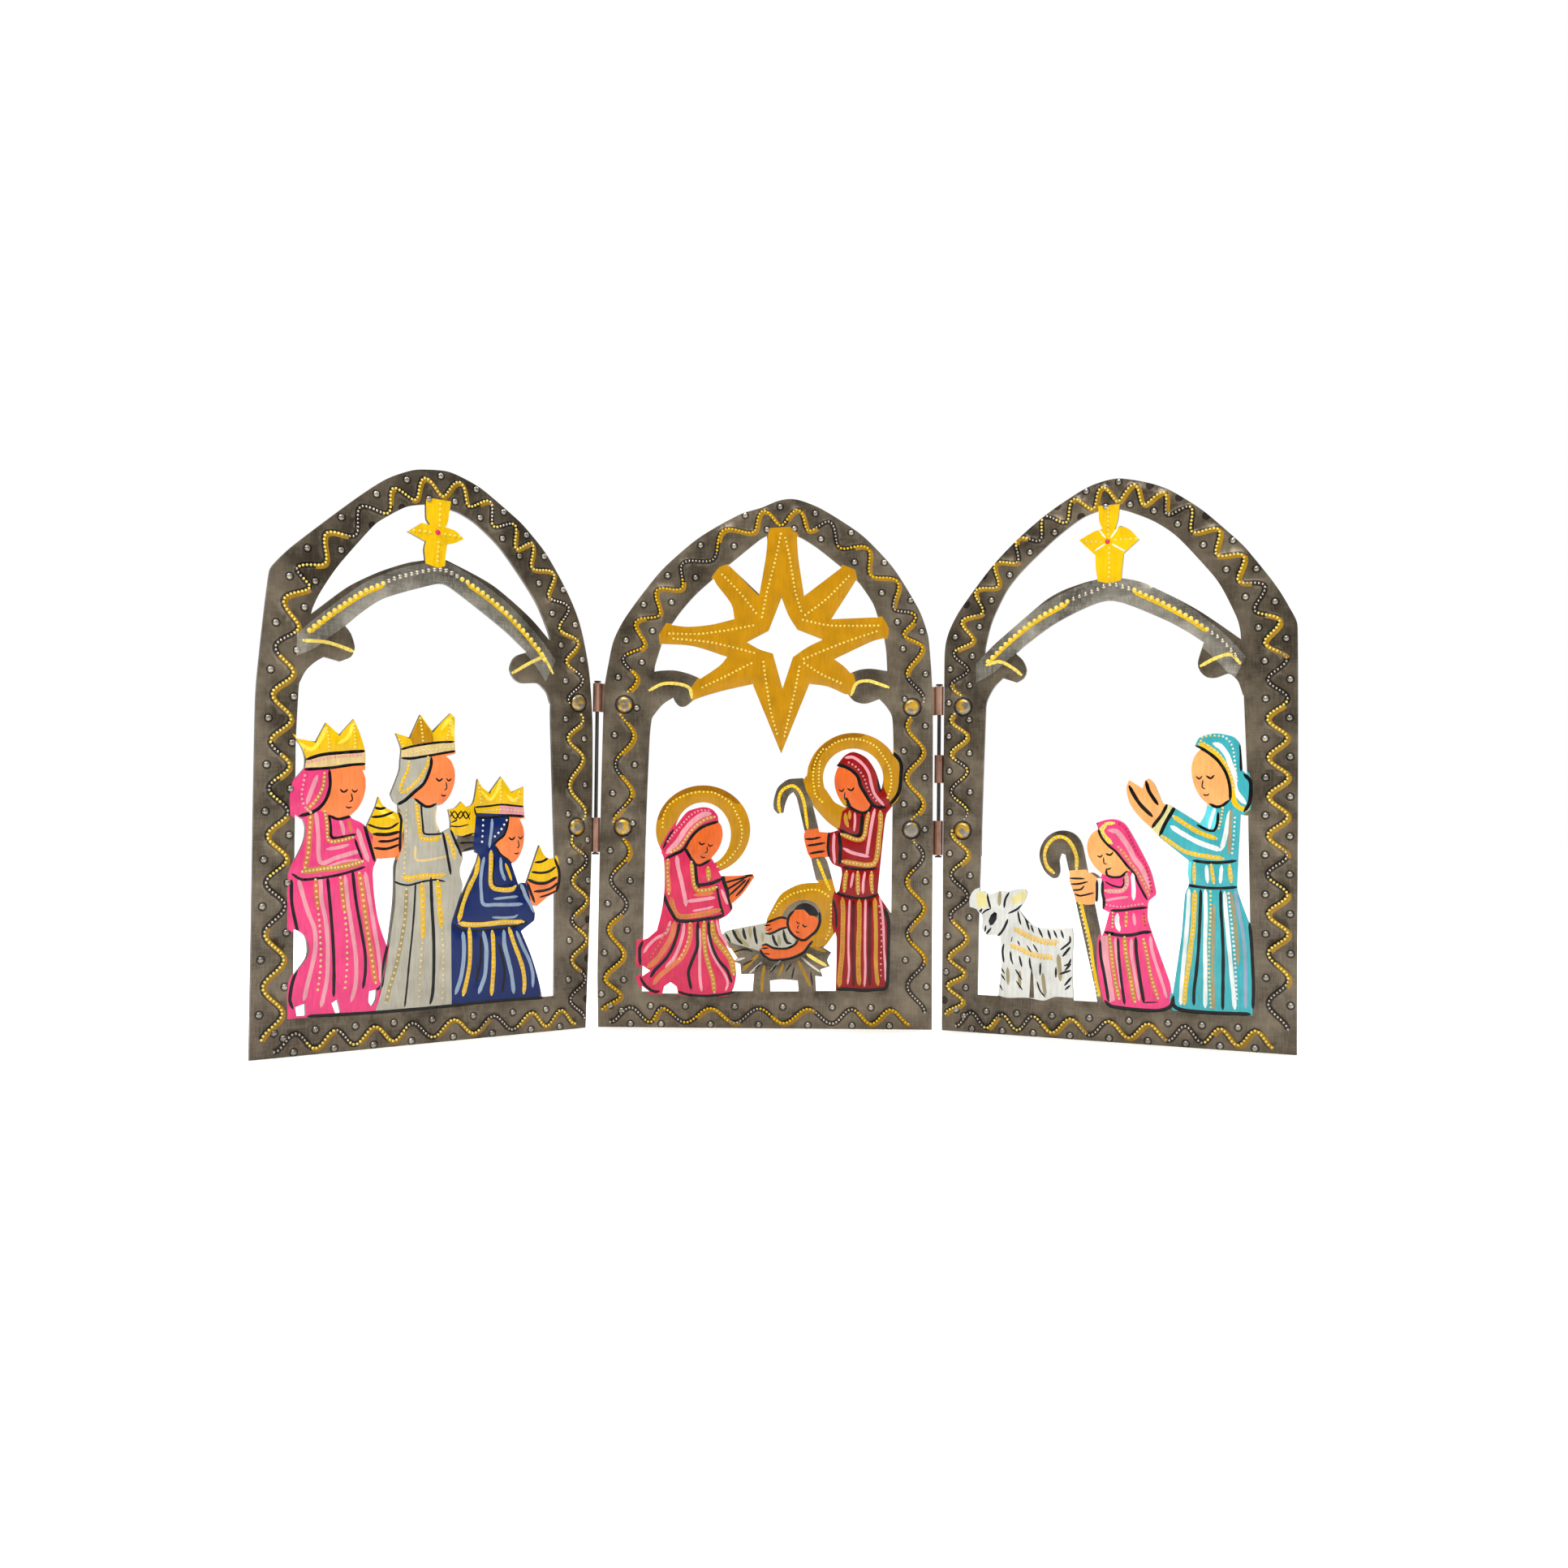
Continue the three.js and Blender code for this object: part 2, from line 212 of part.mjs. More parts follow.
// Right wing: a goat, a young shepherd with a crook and a tall shepherd with raised hands.
const RIGHT = {
  outer: [[-62.6, 0, 1], [-62.5, 60.6], [-62.6, 111.1], [-62.6, 131.3], [-62.1, 144.4],
    [-60.3, 150.5], [-57.3, 156.1], [-53.8, 161.3], [-48.6, 167.9], [-43.4, 174], [-37.3, 180.1],
    [-31.2, 185.4], [-24.3, 190.7], [-17.3, 195.1], [-9.5, 199.4], [-2.5, 201.6], [2.7, 201.8],
    [8.8, 200.6], [17.5, 197.6], [24.4, 193.3], [31.4, 188.1], [38.3, 181.5], [45.3, 174.4],
    [51.4, 166.2], [56.6, 158.9], [60.1, 152.5], [62.8, 145.6, 1], [62.6, 128.3], [62.5, 60.6],
    [62.5, 0, 1]],
  inner: [[-49, 13.9, 1], [-48.6, 45.4], [-47.3, 80.8], [-46.6, 111.1], [-46.3, 121.2],
    [-46.6, 131.3], [-46.9, 140.6], [-45.8, 147.7], [-43.4, 154.6], [-39.9, 161.7], [-35.6, 167.9],
    [-29.5, 174], [-22.5, 180.3], [-15.6, 185.6], [-10.3, 188.9], [-5.1, 190.9], [-1, 191.7],
    [2.7, 190.9], [8.8, 188.5], [14.9, 185.4], [21, 181], [26.2, 175.7], [31.4, 169.6],
    [36.6, 162.6], [40.1, 156.4], [42.7, 150.3], [44, 145.8], [44.6, 139.4], [45, 126.2],
    [45.6, 113.1], [46.9, 80.8], [47.2, 50.5], [47.9, 13.9, 1]],
  roof: [[-49, 138.4, 1], [-46.8, 140.7], [-42.5, 144.5], [-37.3, 148.7], [-31.2, 153.8],
    [-25.1, 158.6], [-19, 162.1], [-12.1, 164.4], [-5.5, 166], [-1, 166.4], [3.6, 166],
    [10.5, 163.9], [17.5, 160.4], [24.4, 156.4], [31.4, 152], [38.3, 146.9], [44.2, 142.2],
    [48, 138.4, 1], [48, 121.2, 1], [45, 122.7], [43.5, 127.3], [40.1, 130.3], [36.2, 129],
    [33.1, 129.2], [30.7, 131.4], [29.9, 134.4], [30.7, 138.2], [31.9, 141.5, 1], [26.2, 145.6],
    [19.2, 149.8], [12.3, 153.3], [5.3, 156.4], [-1.7, 158, 1], [-9.5, 155.9], [-19, 151.6],
    [-26, 147.2], [-32.1, 142.8], [-35.1, 140.2, 1], [-32.5, 137.6], [-31.1, 134], [-32.1, 131],
    [-34.7, 129.5], [-37.7, 130.4], [-39.9, 131.3], [-43, 128.3], [-45.6, 123.9], [-46.6, 120.2],
    [-49, 118.2, 1]],
  cross: [[-5, 191.9, 1], [-4.6, 186.8], [-3.5, 184.2, 1], [-6.4, 183.4], [-11.9, 180.6, 1],
    [-9.2, 177.8], [-6, 174.7, 1], [-5.8, 169.7], [-5, 165, 1], [3.2, 165, 1], [3.8, 169.7],
    [4.1, 174.7, 1], [7, 176.8], [9.6, 179.4, 1], [6.2, 183.2], [2.8, 184.7], [0.9, 183.6, 1],
    [2, 186.8], [2.6, 191.9, 1]],
  goat: [[-51, 50.5, 1], [-49.3, 51.9], [-47, 52.5], [-44.6, 51.1], [-40.8, 52.6], [-38, 52.4],
    [-34, 53.5], [-31.2, 53.5], [-30.4, 52.1], [-31.7, 48.6], [-33.6, 46, 1], [-30.3, 42.1],
    [-27.5, 39.9], [-22.5, 39.4], [-18, 39.7], [-13.9, 39.9, 1], [-13.4, 36.7], [-13.8, 25.2],
    [-13.2, 12.1, 1], [-41.4, 12.1, 1], [-40.8, 18.2], [-39.9, 25.2], [-40.4, 35.6, 1],
    [-42, 36.4], [-45.2, 35.9], [-47.4, 38.5], [-47.3, 42.8], [-48.6, 45.4, 1], [-51, 46.5, 1]],
  crook: [[-20.8, 57.7], [-23.8, 60.1], [-25.8, 64.6], [-25.6, 68.7], [-23.4, 72.5], [-20, 74.7],
    [-16.2, 75.1], [-12.8, 73.7], [-10.4, 70.3], [-9, 65], [-8.1, 60, 1], [-6.2, 49.5, 1],
    [-3.9, 38.9], [-1, 25.2], [-1, 12.1, 1], [-4.5, 12.1, 1], [-6, 20.9], [-9.5, 36.7],
    [-12.5, 50.1, 1], [-14.8, 59.6, 1], [-15.6, 63.6], [-16.4, 66.4], [-17.8, 66.9], [-18.6, 64.4],
    [-18.3, 60.2], [-19.3, 58]],
  youngHand: [[-14.8, 59], [-10, 60.2], [-6, 60.1], [-3.4, 58.2, 1], [-3.4, 52.5, 1], [-5.4, 49.7],
    [-9, 49.5], [-12.1, 50.3], [-14, 54.5]],
  youngVeil: [[-5.3, 78], [-2, 79.1], [1.8, 79.3], [5.3, 77.2], [8, 72.7], [10.6, 67.7], [13.3, 62.6],
    [15, 57], [15.6, 52.7], [13.3, 50.7, 1], [9, 55.6], [5, 61.6], [0, 66.7], [-4, 73.7, 1]],
  youngRobe: [[-2.6, 61.6, 1], [-3.8, 57.4, 1], [-4.9, 54.5], [-5.3, 50.5], [-4.4, 47.9], [-2.4, 46.7],
    [-0.6, 46.1, 1], [-1.4, 42.4], [-2.3, 39.6], [-3.9, 36], [-3.9, 25.2], [-2.4, 12.1, 1],
    [21.6, 12.1, 1], [21, 20], [18.5, 28.2], [15.9, 35.7], [14.4, 39.6], [13, 43.4], [12.9, 48.5],
    [14, 54.5, 1], [6, 64.6, 1]],
  tallVeil: [[29, 105.2, 1], [30.3, 108], [33, 109.1], [36.6, 109.5], [41.6, 108.4], [44.2, 105.2],
    [44.6, 99], [44.9, 96.5], [47.3, 94.5], [48.5, 88.9, 1], [48.5, 81.2, 1], [44, 81.4],
    [40.5, 86.9], [38.5, 94.9], [34.5, 102]],
  tallRobe: [[33.4, 85.8, 1], [32.4, 81.3], [30.6, 78.1, 1], [26.6, 80.4], [22.7, 82.9], [20.6, 84.4],
    [18.4, 85, 1], [14, 76.4, 1], [17.5, 72.7], [22.7, 68.4], [26.9, 65.2, 1], [26.6, 60.6],
    [27, 56.9], [25.7, 53.4], [24.4, 38.5], [22.7, 25.2], [21.6, 18.6, 1], [19, 16.2, 1],
    [19, 12.1, 1], [49, 12.1, 1], [49, 41.4, 1], [46.8, 44.8], [44.2, 51.5], [43.1, 56.9],
    [43.8, 65.6], [44, 79.8], [44.4, 84.8, 1]],
  tallHands: [[19.6, 84.4, 1], [17.9, 85.2], [16.4, 88.9], [15, 92.1], [13.2, 93.9], [11.9, 93.3],
    [11, 90.3, 1], [9.6, 91.1], [8, 92.2], [6.3, 93.3], [5.4, 91.3], [5.7, 87.9], [7, 84.2],
    [10.4, 79.8], [14.6, 76, 1]],
  youngHead: { at: [-1.2, 67.5], size: [6.9, 9.0], tilt: 16 },
  tallHead: { at: [35, 94.9], size: [7.0, 10.6], tilt: 4 },
};

// Waves of the frames. The middle line runs from the left foot over the arch to the right
// foot. Turns gives how many waves are done at a distance along it, and foot does the same
// across the foot of the panel.
const LEFT_WAVE = {
  middle: [[-56, 4.7], [-55.6, 40.7], [-55.2, 76.7], [-54.7, 112.7], [-54.3, 125.2], [-53.2, 137.6],
    [-50.7, 149.9], [-45.3, 161.1], [-37.2, 170.5], [-27.8, 178.8], [-17.7, 186.2], [-6.6, 191.8],
    [5.6, 192.6], [17, 187.6], [27.2, 180.4], [36.7, 172.3], [44.3, 162.4], [49.5, 151],
    [53, 139.1], [54.5, 126.7], [54.7, 114.2], [54.7, 101.7], [57, 65.7], [57.4, 29.8], [57, 1.8]],
  turns: [[1, 0.25], [44, 2.75], [150, 9.75], [153, 10.25], [191, 12.75], [250, 17.75],
    [253, 18.25], [298, 21.75], [334, 24.25], [365, 25.75], [431, 30.25]],
  foot: [[-55, 0.75], [-8, 4.25], [38, 7.25], [56, 8.75]],
};

const CENTRE_WAVE = {
  middle: [[-58, 5], [-55.8, 40.9], [-54.5, 76.9], [-53.7, 112.9], [-53.2, 125.3], [-51.7, 137.7],
    [-48, 149.6], [-41.5, 160.3], [-33.2, 169.6], [-24, 178.1], [-14.1, 185.7], [-3, 191.4],
    [9.2, 192.2], [20.9, 188], [31.5, 181.3], [40.6, 172.8], [48.1, 162.8], [53.2, 151.5],
    [55, 139.2], [55.4, 126.7], [55.3, 114.2], [55.2, 101.7], [55.5, 65.7], [56.2, 29.7],
    [56.5, 4]],
  turns: [[1, 0.25], [13, 1.25], [50, 3.25], [126, 6.75], [174, 10.25], [203, 11.75], [233, 14.25],
    [274, 16.75], [291, 18.25], [428, 25.25]],
  foot: [[-58, 0.75], [-43, 1.75], [-39, 2.25], [25, 5.75], [54, 7.75]],
};

const RIGHT_WAVE = {
  middle: [[-58, 5.1], [-56.2, 41], [-56, 77], [-56.6, 113], [-56.6, 125.5], [-55.9, 138],
    [-53.3, 150.1], [-48.3, 161.6], [-40.9, 171.6], [-32.3, 180.6], [-22.1, 187.9], [-10.9, 193.4],
    [1.1, 196.6], [13.2, 194.2], [24, 188], [33.4, 179.8], [41.6, 170.4], [48.6, 160],
    [53.5, 148.5], [56, 136.3], [56.5, 123.8], [56.2, 111.3], [56.5, 98.8], [56.3, 62.8],
    [56.6, 26.8], [56.5, 6.1]],
  turns: [[1, 0.25], [22, 2.25], [92, 6.75], [124, 9.25], [206, 16.25], [247, 20.25], [303, 24.75],
    [410, 32.75], [436, 34.25]],
  foot: [[-57, 0.75], [-28, 3.25], [20, 6.75], [55, 9.75]],
};

// Bead lines of the roof bands, ending in the curled feet
const LEFT_BEADS = [[-46, 138], [-38, 145], [-28, 152.5], [-16, 158.8], [-4, 163], [1.5, 163.6],
  [10, 160.5], [20, 155], [30, 147.6], [39.5, 138.5], [41.5, 135.5]];
const RIGHT_BEADS = [[-45.5, 137], [-38, 144], [-28, 151.5], [-16, 157.8], [-5, 161.6],
  [-0.5, 163.2], [8, 160.6], [18, 155.4], [28, 149.2], [38, 141.4], [42.5, 136]];

// Points of a smooth closed outline
function outline(points) {
  const ring = [];
  const count = points.length;
  const at = (i) => new THREE.Vector2(points[(i + count) % count][0], points[(i + count) % count][1]);
  const sharp = (i) => points[(i + count) % count].length > 2;
  for (let i = 0; i < count; i += 1) {
    const a = at(i);
    const b = at(i + 1);
    const reach = a.distanceTo(b);
    const leave = sharp(i) ? b.clone().sub(a) : b.clone().sub(at(i - 1)).multiplyScalar(0.5);
    const arrive = sharp(i + 1) ? b.clone().sub(a) : at(i + 2).sub(a).multiplyScalar(0.5);
    leave.clampLength(0, reach);
    arrive.clampLength(0, reach);
    const steps = sharp(i) && sharp(i + 1) ? 1 : Math.max(1, Math.min(4, Math.round(reach / STEP)));
    for (let k = 0; k < steps; k += 1) {
      const t = k / steps;
      const point = a.clone().multiplyScalar(2 * t ** 3 - 3 * t ** 2 + 1);
      point.addScaledVector(leave, t ** 3 - 2 * t ** 2 + t);
      point.addScaledVector(b, -2 * t ** 3 + 3 * t ** 2);
      point.addScaledVector(arrive, t ** 3 - t ** 2);
      ring.push(point);
    }
  }
  return thin(ring);
}

// Ring without the points that lie almost on the line between their neighbours
function thin(ring) {
  const kept = [...ring];
  while (kept.length > 4) {
    const offs = kept.map((point, i) => {
      const before = kept.at(i - 1);
      const span = kept[(i + 1) % kept.length].clone().sub(before);
      return Math.abs(span.cross(point.clone().sub(before))) / span.length();
    });
    const least = Math.min(...offs);
    if (least > FLAT) {
      break;
    }
    kept.splice(offs.indexOf(least), 1);
  }
  return kept;
}

// Points of an ellipse given as [middle across, middle up, half width, half height]
function ellipse([x, z, halfWidth, halfHeight], steps = 24) {
  const curve = new THREE.EllipseCurve(x, z, halfWidth, halfHeight);
  return curve.getPoints(steps).slice(0, steps);
}

// Points of a head: an egg, narrower at the chin, tilted in the plane of the sheet
function egg({ at, size, tilt }, steps = 16) {
  const middle = new THREE.Vector2(at[0], at[1]);
  const ring = [];
  for (let i = 0; i < steps; i += 1) {
    const turn = (2 * Math.PI * i) / steps;
    const across = size[0] * Math.cos(turn) * (1 + 0.14 * Math.sin(turn));
    const point = new THREE.Vector2(across, size[1] * Math.sin(turn));
    point.rotateAround(new THREE.Vector2(), THREE.MathUtils.degToRad(tilt));
    ring.push(point.add(middle));
  }
  return ring;
}

// Closed solid of a three.js geometry, ready to be joined or cut
function solid(geometry) {
  const bare = new THREE.BufferGeometry();
  bare.setAttribute('position', geometry.getAttribute('position').clone());
  if (geometry.index) {
    bare.setIndex(geometry.index.clone());
  }
  const welded = mergeVertices(bare, 1e-4);
  const index = welded.index.array;
  const faces = [];
  for (let i = 0; i < index.length; i += 3) {
    const [a, b, c] = [index[i], index[i + 1], index[i + 2]];
    if (a !== b && b !== c && c !== a) {
      faces.push(a, b, c);
    }
  }
  const mesh = new wasm.Mesh({
    numProp: 3,
    vertProperties: new Float32Array(welded.getAttribute('position').array),
    triVerts: new Uint32Array(faces),
  });
  return new wasm.Manifold(mesh);
}

// Sheet cut to a ring of points, with its front and back faces at the given depths
function sheet(ring, front = FRONT, back = BACK) {
  const geometry = new THREE.ExtrudeGeometry(new THREE.Shape(ring), {
    depth: back - front,
    bevelEnabled: false,
    steps: 1,
  });
  geometry.rotateX(Math.PI / 2);
  geometry.translate(0, back, 0);
  return solid(geometry);
}

// Cutter for whatever lies inside a ring of points
function cutter(ring) {
  return sheet(ring, FRONT - 2, BACK + 4);
}

// Round cutter through the sheet and the leaf behind it
function hole(x, z) {
  return cutter(ellipse([x, z, HOLE_R, HOLE_R], 8));
}

// Upright round bar between two heights
function bar(radius, foot, top, sides) {
  const geometry = new THREE.CylinderGeometry(radius, radius, top - foot, sides);
  geometry.rotateX(Math.PI / 2);
  geometry.translate(0, 0, (foot + top) / 2);
  return solid(geometry);
}

// Box between two corners
function block(low, high) {
  const geometry = new THREE.BoxGeometry(high[0] - low[0], high[1] - low[1], high[2] - low[2]);
  geometry.translate((low[0] + high[0]) / 2, (low[1] + high[1]) / 2, (low[2] + high[2]) / 2);
  return solid(geometry);
}

// Ring of points along both sides of a line, the width of a raised band apart
function band(line, width) {
  const left = [];
  const right = [];
  line.forEach((point, i) => {
    const before = line[Math.max(0, i - 1)];
    const after = line[Math.min(line.length - 1, i + 1)];
    const along = after.clone().sub(before).normalize();
    const side = new THREE.Vector2(-along.y, along.x).multiplyScalar(width / 2);
    left.push(point.clone().add(side));
    right.push(point.clone().sub(side));
  });
  return right.concat(left.reverse());
}

// Value at x of a line through [x, value] pairs
function between(pairs, x) {
  const next = Math.max(1, pairs.findIndex(([at], i) => at >= x || i === pairs.length - 1));
  const [[x0, v0], [x1, v1]] = [pairs[next - 1], pairs[next]];
  return v0 + ((v1 - v0) * (x - x0)) / (x1 - x0);
}

// Points of a wave that swings to both sides of a middle line, two for each crest
function wave(line, turns, swing) {
  const curve = new THREE.SplineCurve(line.map(([x, z]) => new THREE.Vector2(x, z)));
  curve.arcLengthDivisions = 2000;
  const length = curve.getLength();
  const places = turns.map(([at, count]) => [count, at / length]);
  const points = [];
  for (let phase = turns[0][1] + 1 / 8; phase < turns.at(-1)[1]; phase += 1 / 4) {
    const share = Math.min(1, between(places, phase));
    const along = curve.getTangentAt(share);
    const off = swing * Math.sign(Math.sin(2 * Math.PI * phase));
    points.push(curve.getPointAt(share).add(new THREE.Vector2(-along.y, along.x).multiplyScalar(off)));
  }
  return points;
}

// Raised wave up one post, over the arch, down the other post and along the foot. It stops
// short of the rivets.
function raisedWave({ middle, turns, foot }, rivets) {
  const [start, end] = [foot[0][0], foot.at(-1)[0]];
  const across = foot.map(([x, count]) => [x - start, count]);
  const raised = (line) => sheet(band(line, WAVE_WIDTH), FRONT - WAVE_RISE, FRONT + 0.2);
  const over = raised(wave(middle, turns, WAVE_SWING));
  const under = raised(wave([[start, FOOT_LINE], [end, FOOT_LINE]], across, FOOT_SWING));
  const seat = (x, z) => cutter(ellipse([x, z, RIVET_SEAT_R, RIVET_SEAT_R], 12));
  return rivets.reduce((all, [x, z]) => all.subtract(seat(x, z)), over.add(under));
}

// Raised bead line along a roof band
function raisedBeads(line) {
  const curve = new THREE.SplineCurve(line.map(([x, z]) => new THREE.Vector2(x, z)));
  return sheet(band(curve.getSpacedPoints(10), BEAD_WIDTH), FRONT - WAVE_RISE, FRONT + 0.2);
}

// Frame of a panel, open inside
function frame(panel) {
  return sheet(outline(panel.outer)).subtract(cutter(outline(panel.inner)));
}

// Join a frame with its named shapes
function join(panel, names) {
  return names.reduce((all, name) => all.add(sheet(outline(panel[name]))), frame(panel));
}

// Flat ring of a halo
function halo(shape) {
  return sheet(ellipse(shape.outer)).subtract(cutter(ellipse(shape.inner, 20)));
}

// Cut named gaps and round holes out of a sheet
function cut(body, panel, gaps, holes) {
  const opened = gaps.reduce((all, name) => all.subtract(cutter(outline(panel[name]))), body);
  return holes.reduce((all, [x, z]) => all.subtract(hole(x, z)), opened);
}

function leftPanel() {
  const shapes = ['roof', 'cross', 'crown1', 'hood1', 'robe1', 'jar1', 'crown2', 'hood2', 'robe2',
    'jar2', 'crown3', 'hood3', 'robe3', 'jar3'];
  let body = join(LEFT, shapes);
  for (const head of [LEFT.head1, LEFT.head2, LEFT.head3]) {
    body = body.add(sheet(egg(head)));
  }
  const holes = RIVET_Z.map((z) => [LEFT_RIVET_X, z]);
  body = body.add(raisedWave(LEFT_WAVE, holes)).add(raisedBeads(LEFT_BEADS));
  return cut(body, LEFT, ['hemGap1', 'hemGap2', 'hemGap3'], holes);
}

function centrePanel() {
  const shapes = ['leftBracket', 'rightBracket', 'womanVeil', 'womanRobe', 'womanHands',
    'infantHalo', 'infantBody', 'manger', 'manHaloFoot', 'manVeil', 'manRobe', 'manStaff', 'manHand'];
  let body = join(CENTRE, shapes);
  const star = sheet(outline(CENTRE.star)).subtract(cutter(outline(CENTRE.starGap)));
  body = body.add(star).add(halo(CENTRE.womanHalo)).add(halo(CENTRE.manHalo));
  for (const head of [CENTRE.womanHead, CENTRE.manHead, CENTRE.infantHead]) {
    body = body.add(sheet(egg(head)));
  }
  const holes = RIVET_Z.flatMap((z) => [[-CENTRE_RIVET_X, z], [CENTRE_RIVET_X, z]]);
  body = body.add(raisedWave(CENTRE_WAVE, holes));
  return cut(body, CENTRE, ['hemGap', 'mangerGap'], holes);
}

function rightPanel() {
  const shapes = ['roof', 'cross', 'goat', 'crook', 'youngHand', 'youngVeil', 'youngRobe',
    'tallVeil', 'tallRobe', 'tallHands'];
  let body = join(RIGHT, shapes);
  for (const head of [RIGHT.youngHead, RIGHT.tallHead]) {
    body = body.add(sheet(egg(head)));
  }
  const holes = RIVET_Z.map((z) => [RIGHT_RIVET_X, z]);
  body = body.add(raisedWave(RIGHT_WAVE, holes)).add(raisedBeads(RIGHT_BEADS));
  return cut(body, RIGHT, [], holes);
}

// Hinge leaf about its own axis. It reaches to the side given by the sign of reach, lies behind
// the sheet and curls into its knuckles.
function hingeLeaf(reach, knuckles, rivetX) {
  const front = BACK + CLEAR - AXIS_Y;
  const back = front + LEAF_THICK;
  const across = (from, to) => [Math.min(reach * from, reach * to), Math.max(reach * from, reach * to)];
  const piece = (from, to, foot, top) => {
    const [low, high] = across(from, to);
    return block([low, front, foot], [high, back, top]);
  };
  let body = piece(LEAF_START, LEAF_WIDTH, HINGE_FOOT, HINGE_TOP);
  for (const [foot, top] of knuckles) {
    body = body.add(piece(0, LEAF_START + 1, foot, top)).add(bar(KNUCKLE_R, foot, top, 12));
  }
  body = body.subtract(bar(BORE_R, HINGE_FOOT - 1, HINGE_TOP + 1, 8));
  for (const z of RIVET_Z) {
    const drill = new THREE.CylinderGeometry(HOLE_R, HOLE_R, 8, 8);
    drill.translate(rivetX, front, z);
    body = body.subtract(solid(drill));
  }
  return body;
}

// Hinge pin with small upset ends
function hingePin() {
  const foot = HINGE_FOOT - CLEAR;
  const top = HINGE_TOP + CLEAR;
  const shaft = bar(PIN_R, foot - PIN_HEAD, top + PIN_HEAD, 8);
  const lower = bar(PIN_HEAD_R, foot - PIN_HEAD, foot, 8);
  return shaft.add(lower).add(bar(PIN_HEAD_R, top, top + PIN_HEAD, 8));
}

// Rivet about its own middle line: domed head in front of the sheet, tail behind the leaf
function rivet() {
  const head = FRONT - CLEAR;
  const tail = BACK + 2 * CLEAR + LEAF_THICK;
  const profile = [
    [0, head - RIVET_HEAD],
    [RIVET_HEAD_R * 0.7, head - RIVET_HEAD * 0.75],
    [RIVET_HEAD_R, head],
    [RIVET_SHANK_R, head],
    [RIVET_SHANK_R, tail],
    [RIVET_TAIL_R, tail],
    [0, tail + RIVET_TAIL],
  ].map(([r, y]) => new THREE.Vector2(r, y));
  return solid(new THREE.LatheGeometry(profile, 8));
}

// Named mesh of a solid, with the flat faces of its joined pieces merged
function mesh(name, body, color, roughness, metalness) {
  const { vertProperties, triVerts } = body.asOriginal().getMesh();
  const geometry = new THREE.BufferGeometry();
  geometry.setAttribute('position', new THREE.BufferAttribute(vertProperties, 3));
  geometry.setIndex(new THREE.BufferAttribute(triVerts, 1));
  const flat = geometry.toNonIndexed();
  flat.computeVertexNormals();
  const material = new THREE.MeshStandardMaterial({ color, roughness, metalness });
  const node = new THREE.Mesh(flat, material);
  node.name = name;
  return node;
}

const steel = (name, body) => mesh(name, body, '#5f564d', 0.42, 0.9);
const copper = (name, body) => mesh(name, body, '#8a5b45', 0.4, 0.9);
const dark = (name, body) => mesh(name, body, '#3b3531', 0.5, 0.8);
const bright = (name, body) => mesh(name, body, '#8f8a84', 0.38, 0.9);

// Rivets of one panel edge, placed in that panel's group
function addRivets(group, x, names) {
  names.forEach((name, i) => {
    const node = bright(name, rivet());
    node.position.set(x, 0, RIVET_Z[i]);
    group.add(node);
  });
}

// Wing group whose origin is on the hinge axis. The panel and its rivets sit beside the axis.
function wing({ name, side, turn, panel, knuckles, rivetX }) {
  const group = new THREE.Group();
  group.name = name;
  group.position.set(side * AXIS_X, AXIS_Y, 0);
  group.rotation.z = THREE.MathUtils.degToRad(-side * turn);
  const plate = new THREE.Group();
  plate.position.set(side * (62.5 + EDGE_TO_AXIS), -AXIS_Y, 0);
  plate.add(steel(`${name}_panel`, panel));
  addRivets(plate, rivetX, [`${name}_rivet_upper`, `${name}_rivet_lower`]);
  const fromAxis = side * (62.5 + EDGE_TO_AXIS) + rivetX;
  group.add(plate, copper(`${name}_hinge_leaf`, hingeLeaf(side, knuckles, fromAxis)));
  return group;
}

// Centre leaf and pin of one hinge, about the hinge axis
function centreHinge(name, side, knuckles) {
  const group = new THREE.Group();
  group.position.set(side * AXIS_X, AXIS_Y, 0);
  const rivetX = -side * (AXIS_X - CENTRE_RIVET_X);
  group.add(copper(`${name}_hinge_centre_leaf`, hingeLeaf(-side, knuckles, rivetX)));
  group.add(dark(`${name}_hinge_pin`, hingePin()));
  return group;
}

const triptych = new THREE.Group();
triptych.name = 'triptych';
triptych.add(steel('centre_panel', centrePanel()));
addRivets(triptych, -CENTRE_RIVET_X, ['centre_rivet_left_upper', 'centre_rivet_left_lower']);
addRivets(triptych, CENTRE_RIVET_X, ['centre_rivet_right_upper', 'centre_rivet_right_lower']);
triptych.add(centreHinge('left', -1, [TOP_KNUCKLE]));
triptych.add(centreHinge('right', 1, [TOP_KNUCKLE, FOOT_KNUCKLE]));
triptych.add(wing({
  name: 'left_wing',
  side: -1,
  turn: LEFT_TURN,
  panel: leftPanel(),
  knuckles: [FOOT_KNUCKLE],
  rivetX: LEFT_RIVET_X,
}));
triptych.add(wing({
  name: 'right_wing',
  side: 1,
  turn: RIGHT_TURN,
  panel: rightPanel(),
  knuckles: [MIDDLE_KNUCKLE],
  rivetX: RIGHT_RIVET_X,
}));

export default triptych;
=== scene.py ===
"""Hinged steel triptych with painted cut-out figures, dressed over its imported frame.

Every size is in millimetres until it goes into a mesh, and every drawing is flat: `u` runs across
a panel from its middle and `v` runs up from its foot. A `Stance` stands the drawing up in space.
"""

import logging
import math
from collections import Counter
from collections.abc import Callable, Sequence
from dataclasses import dataclass, field, replace
from enum import Enum
from functools import partial

import bpy
from mathutils import Matrix, Vector, kdtree, noise
from mathutils.geometry import delaunay_2d_cdt


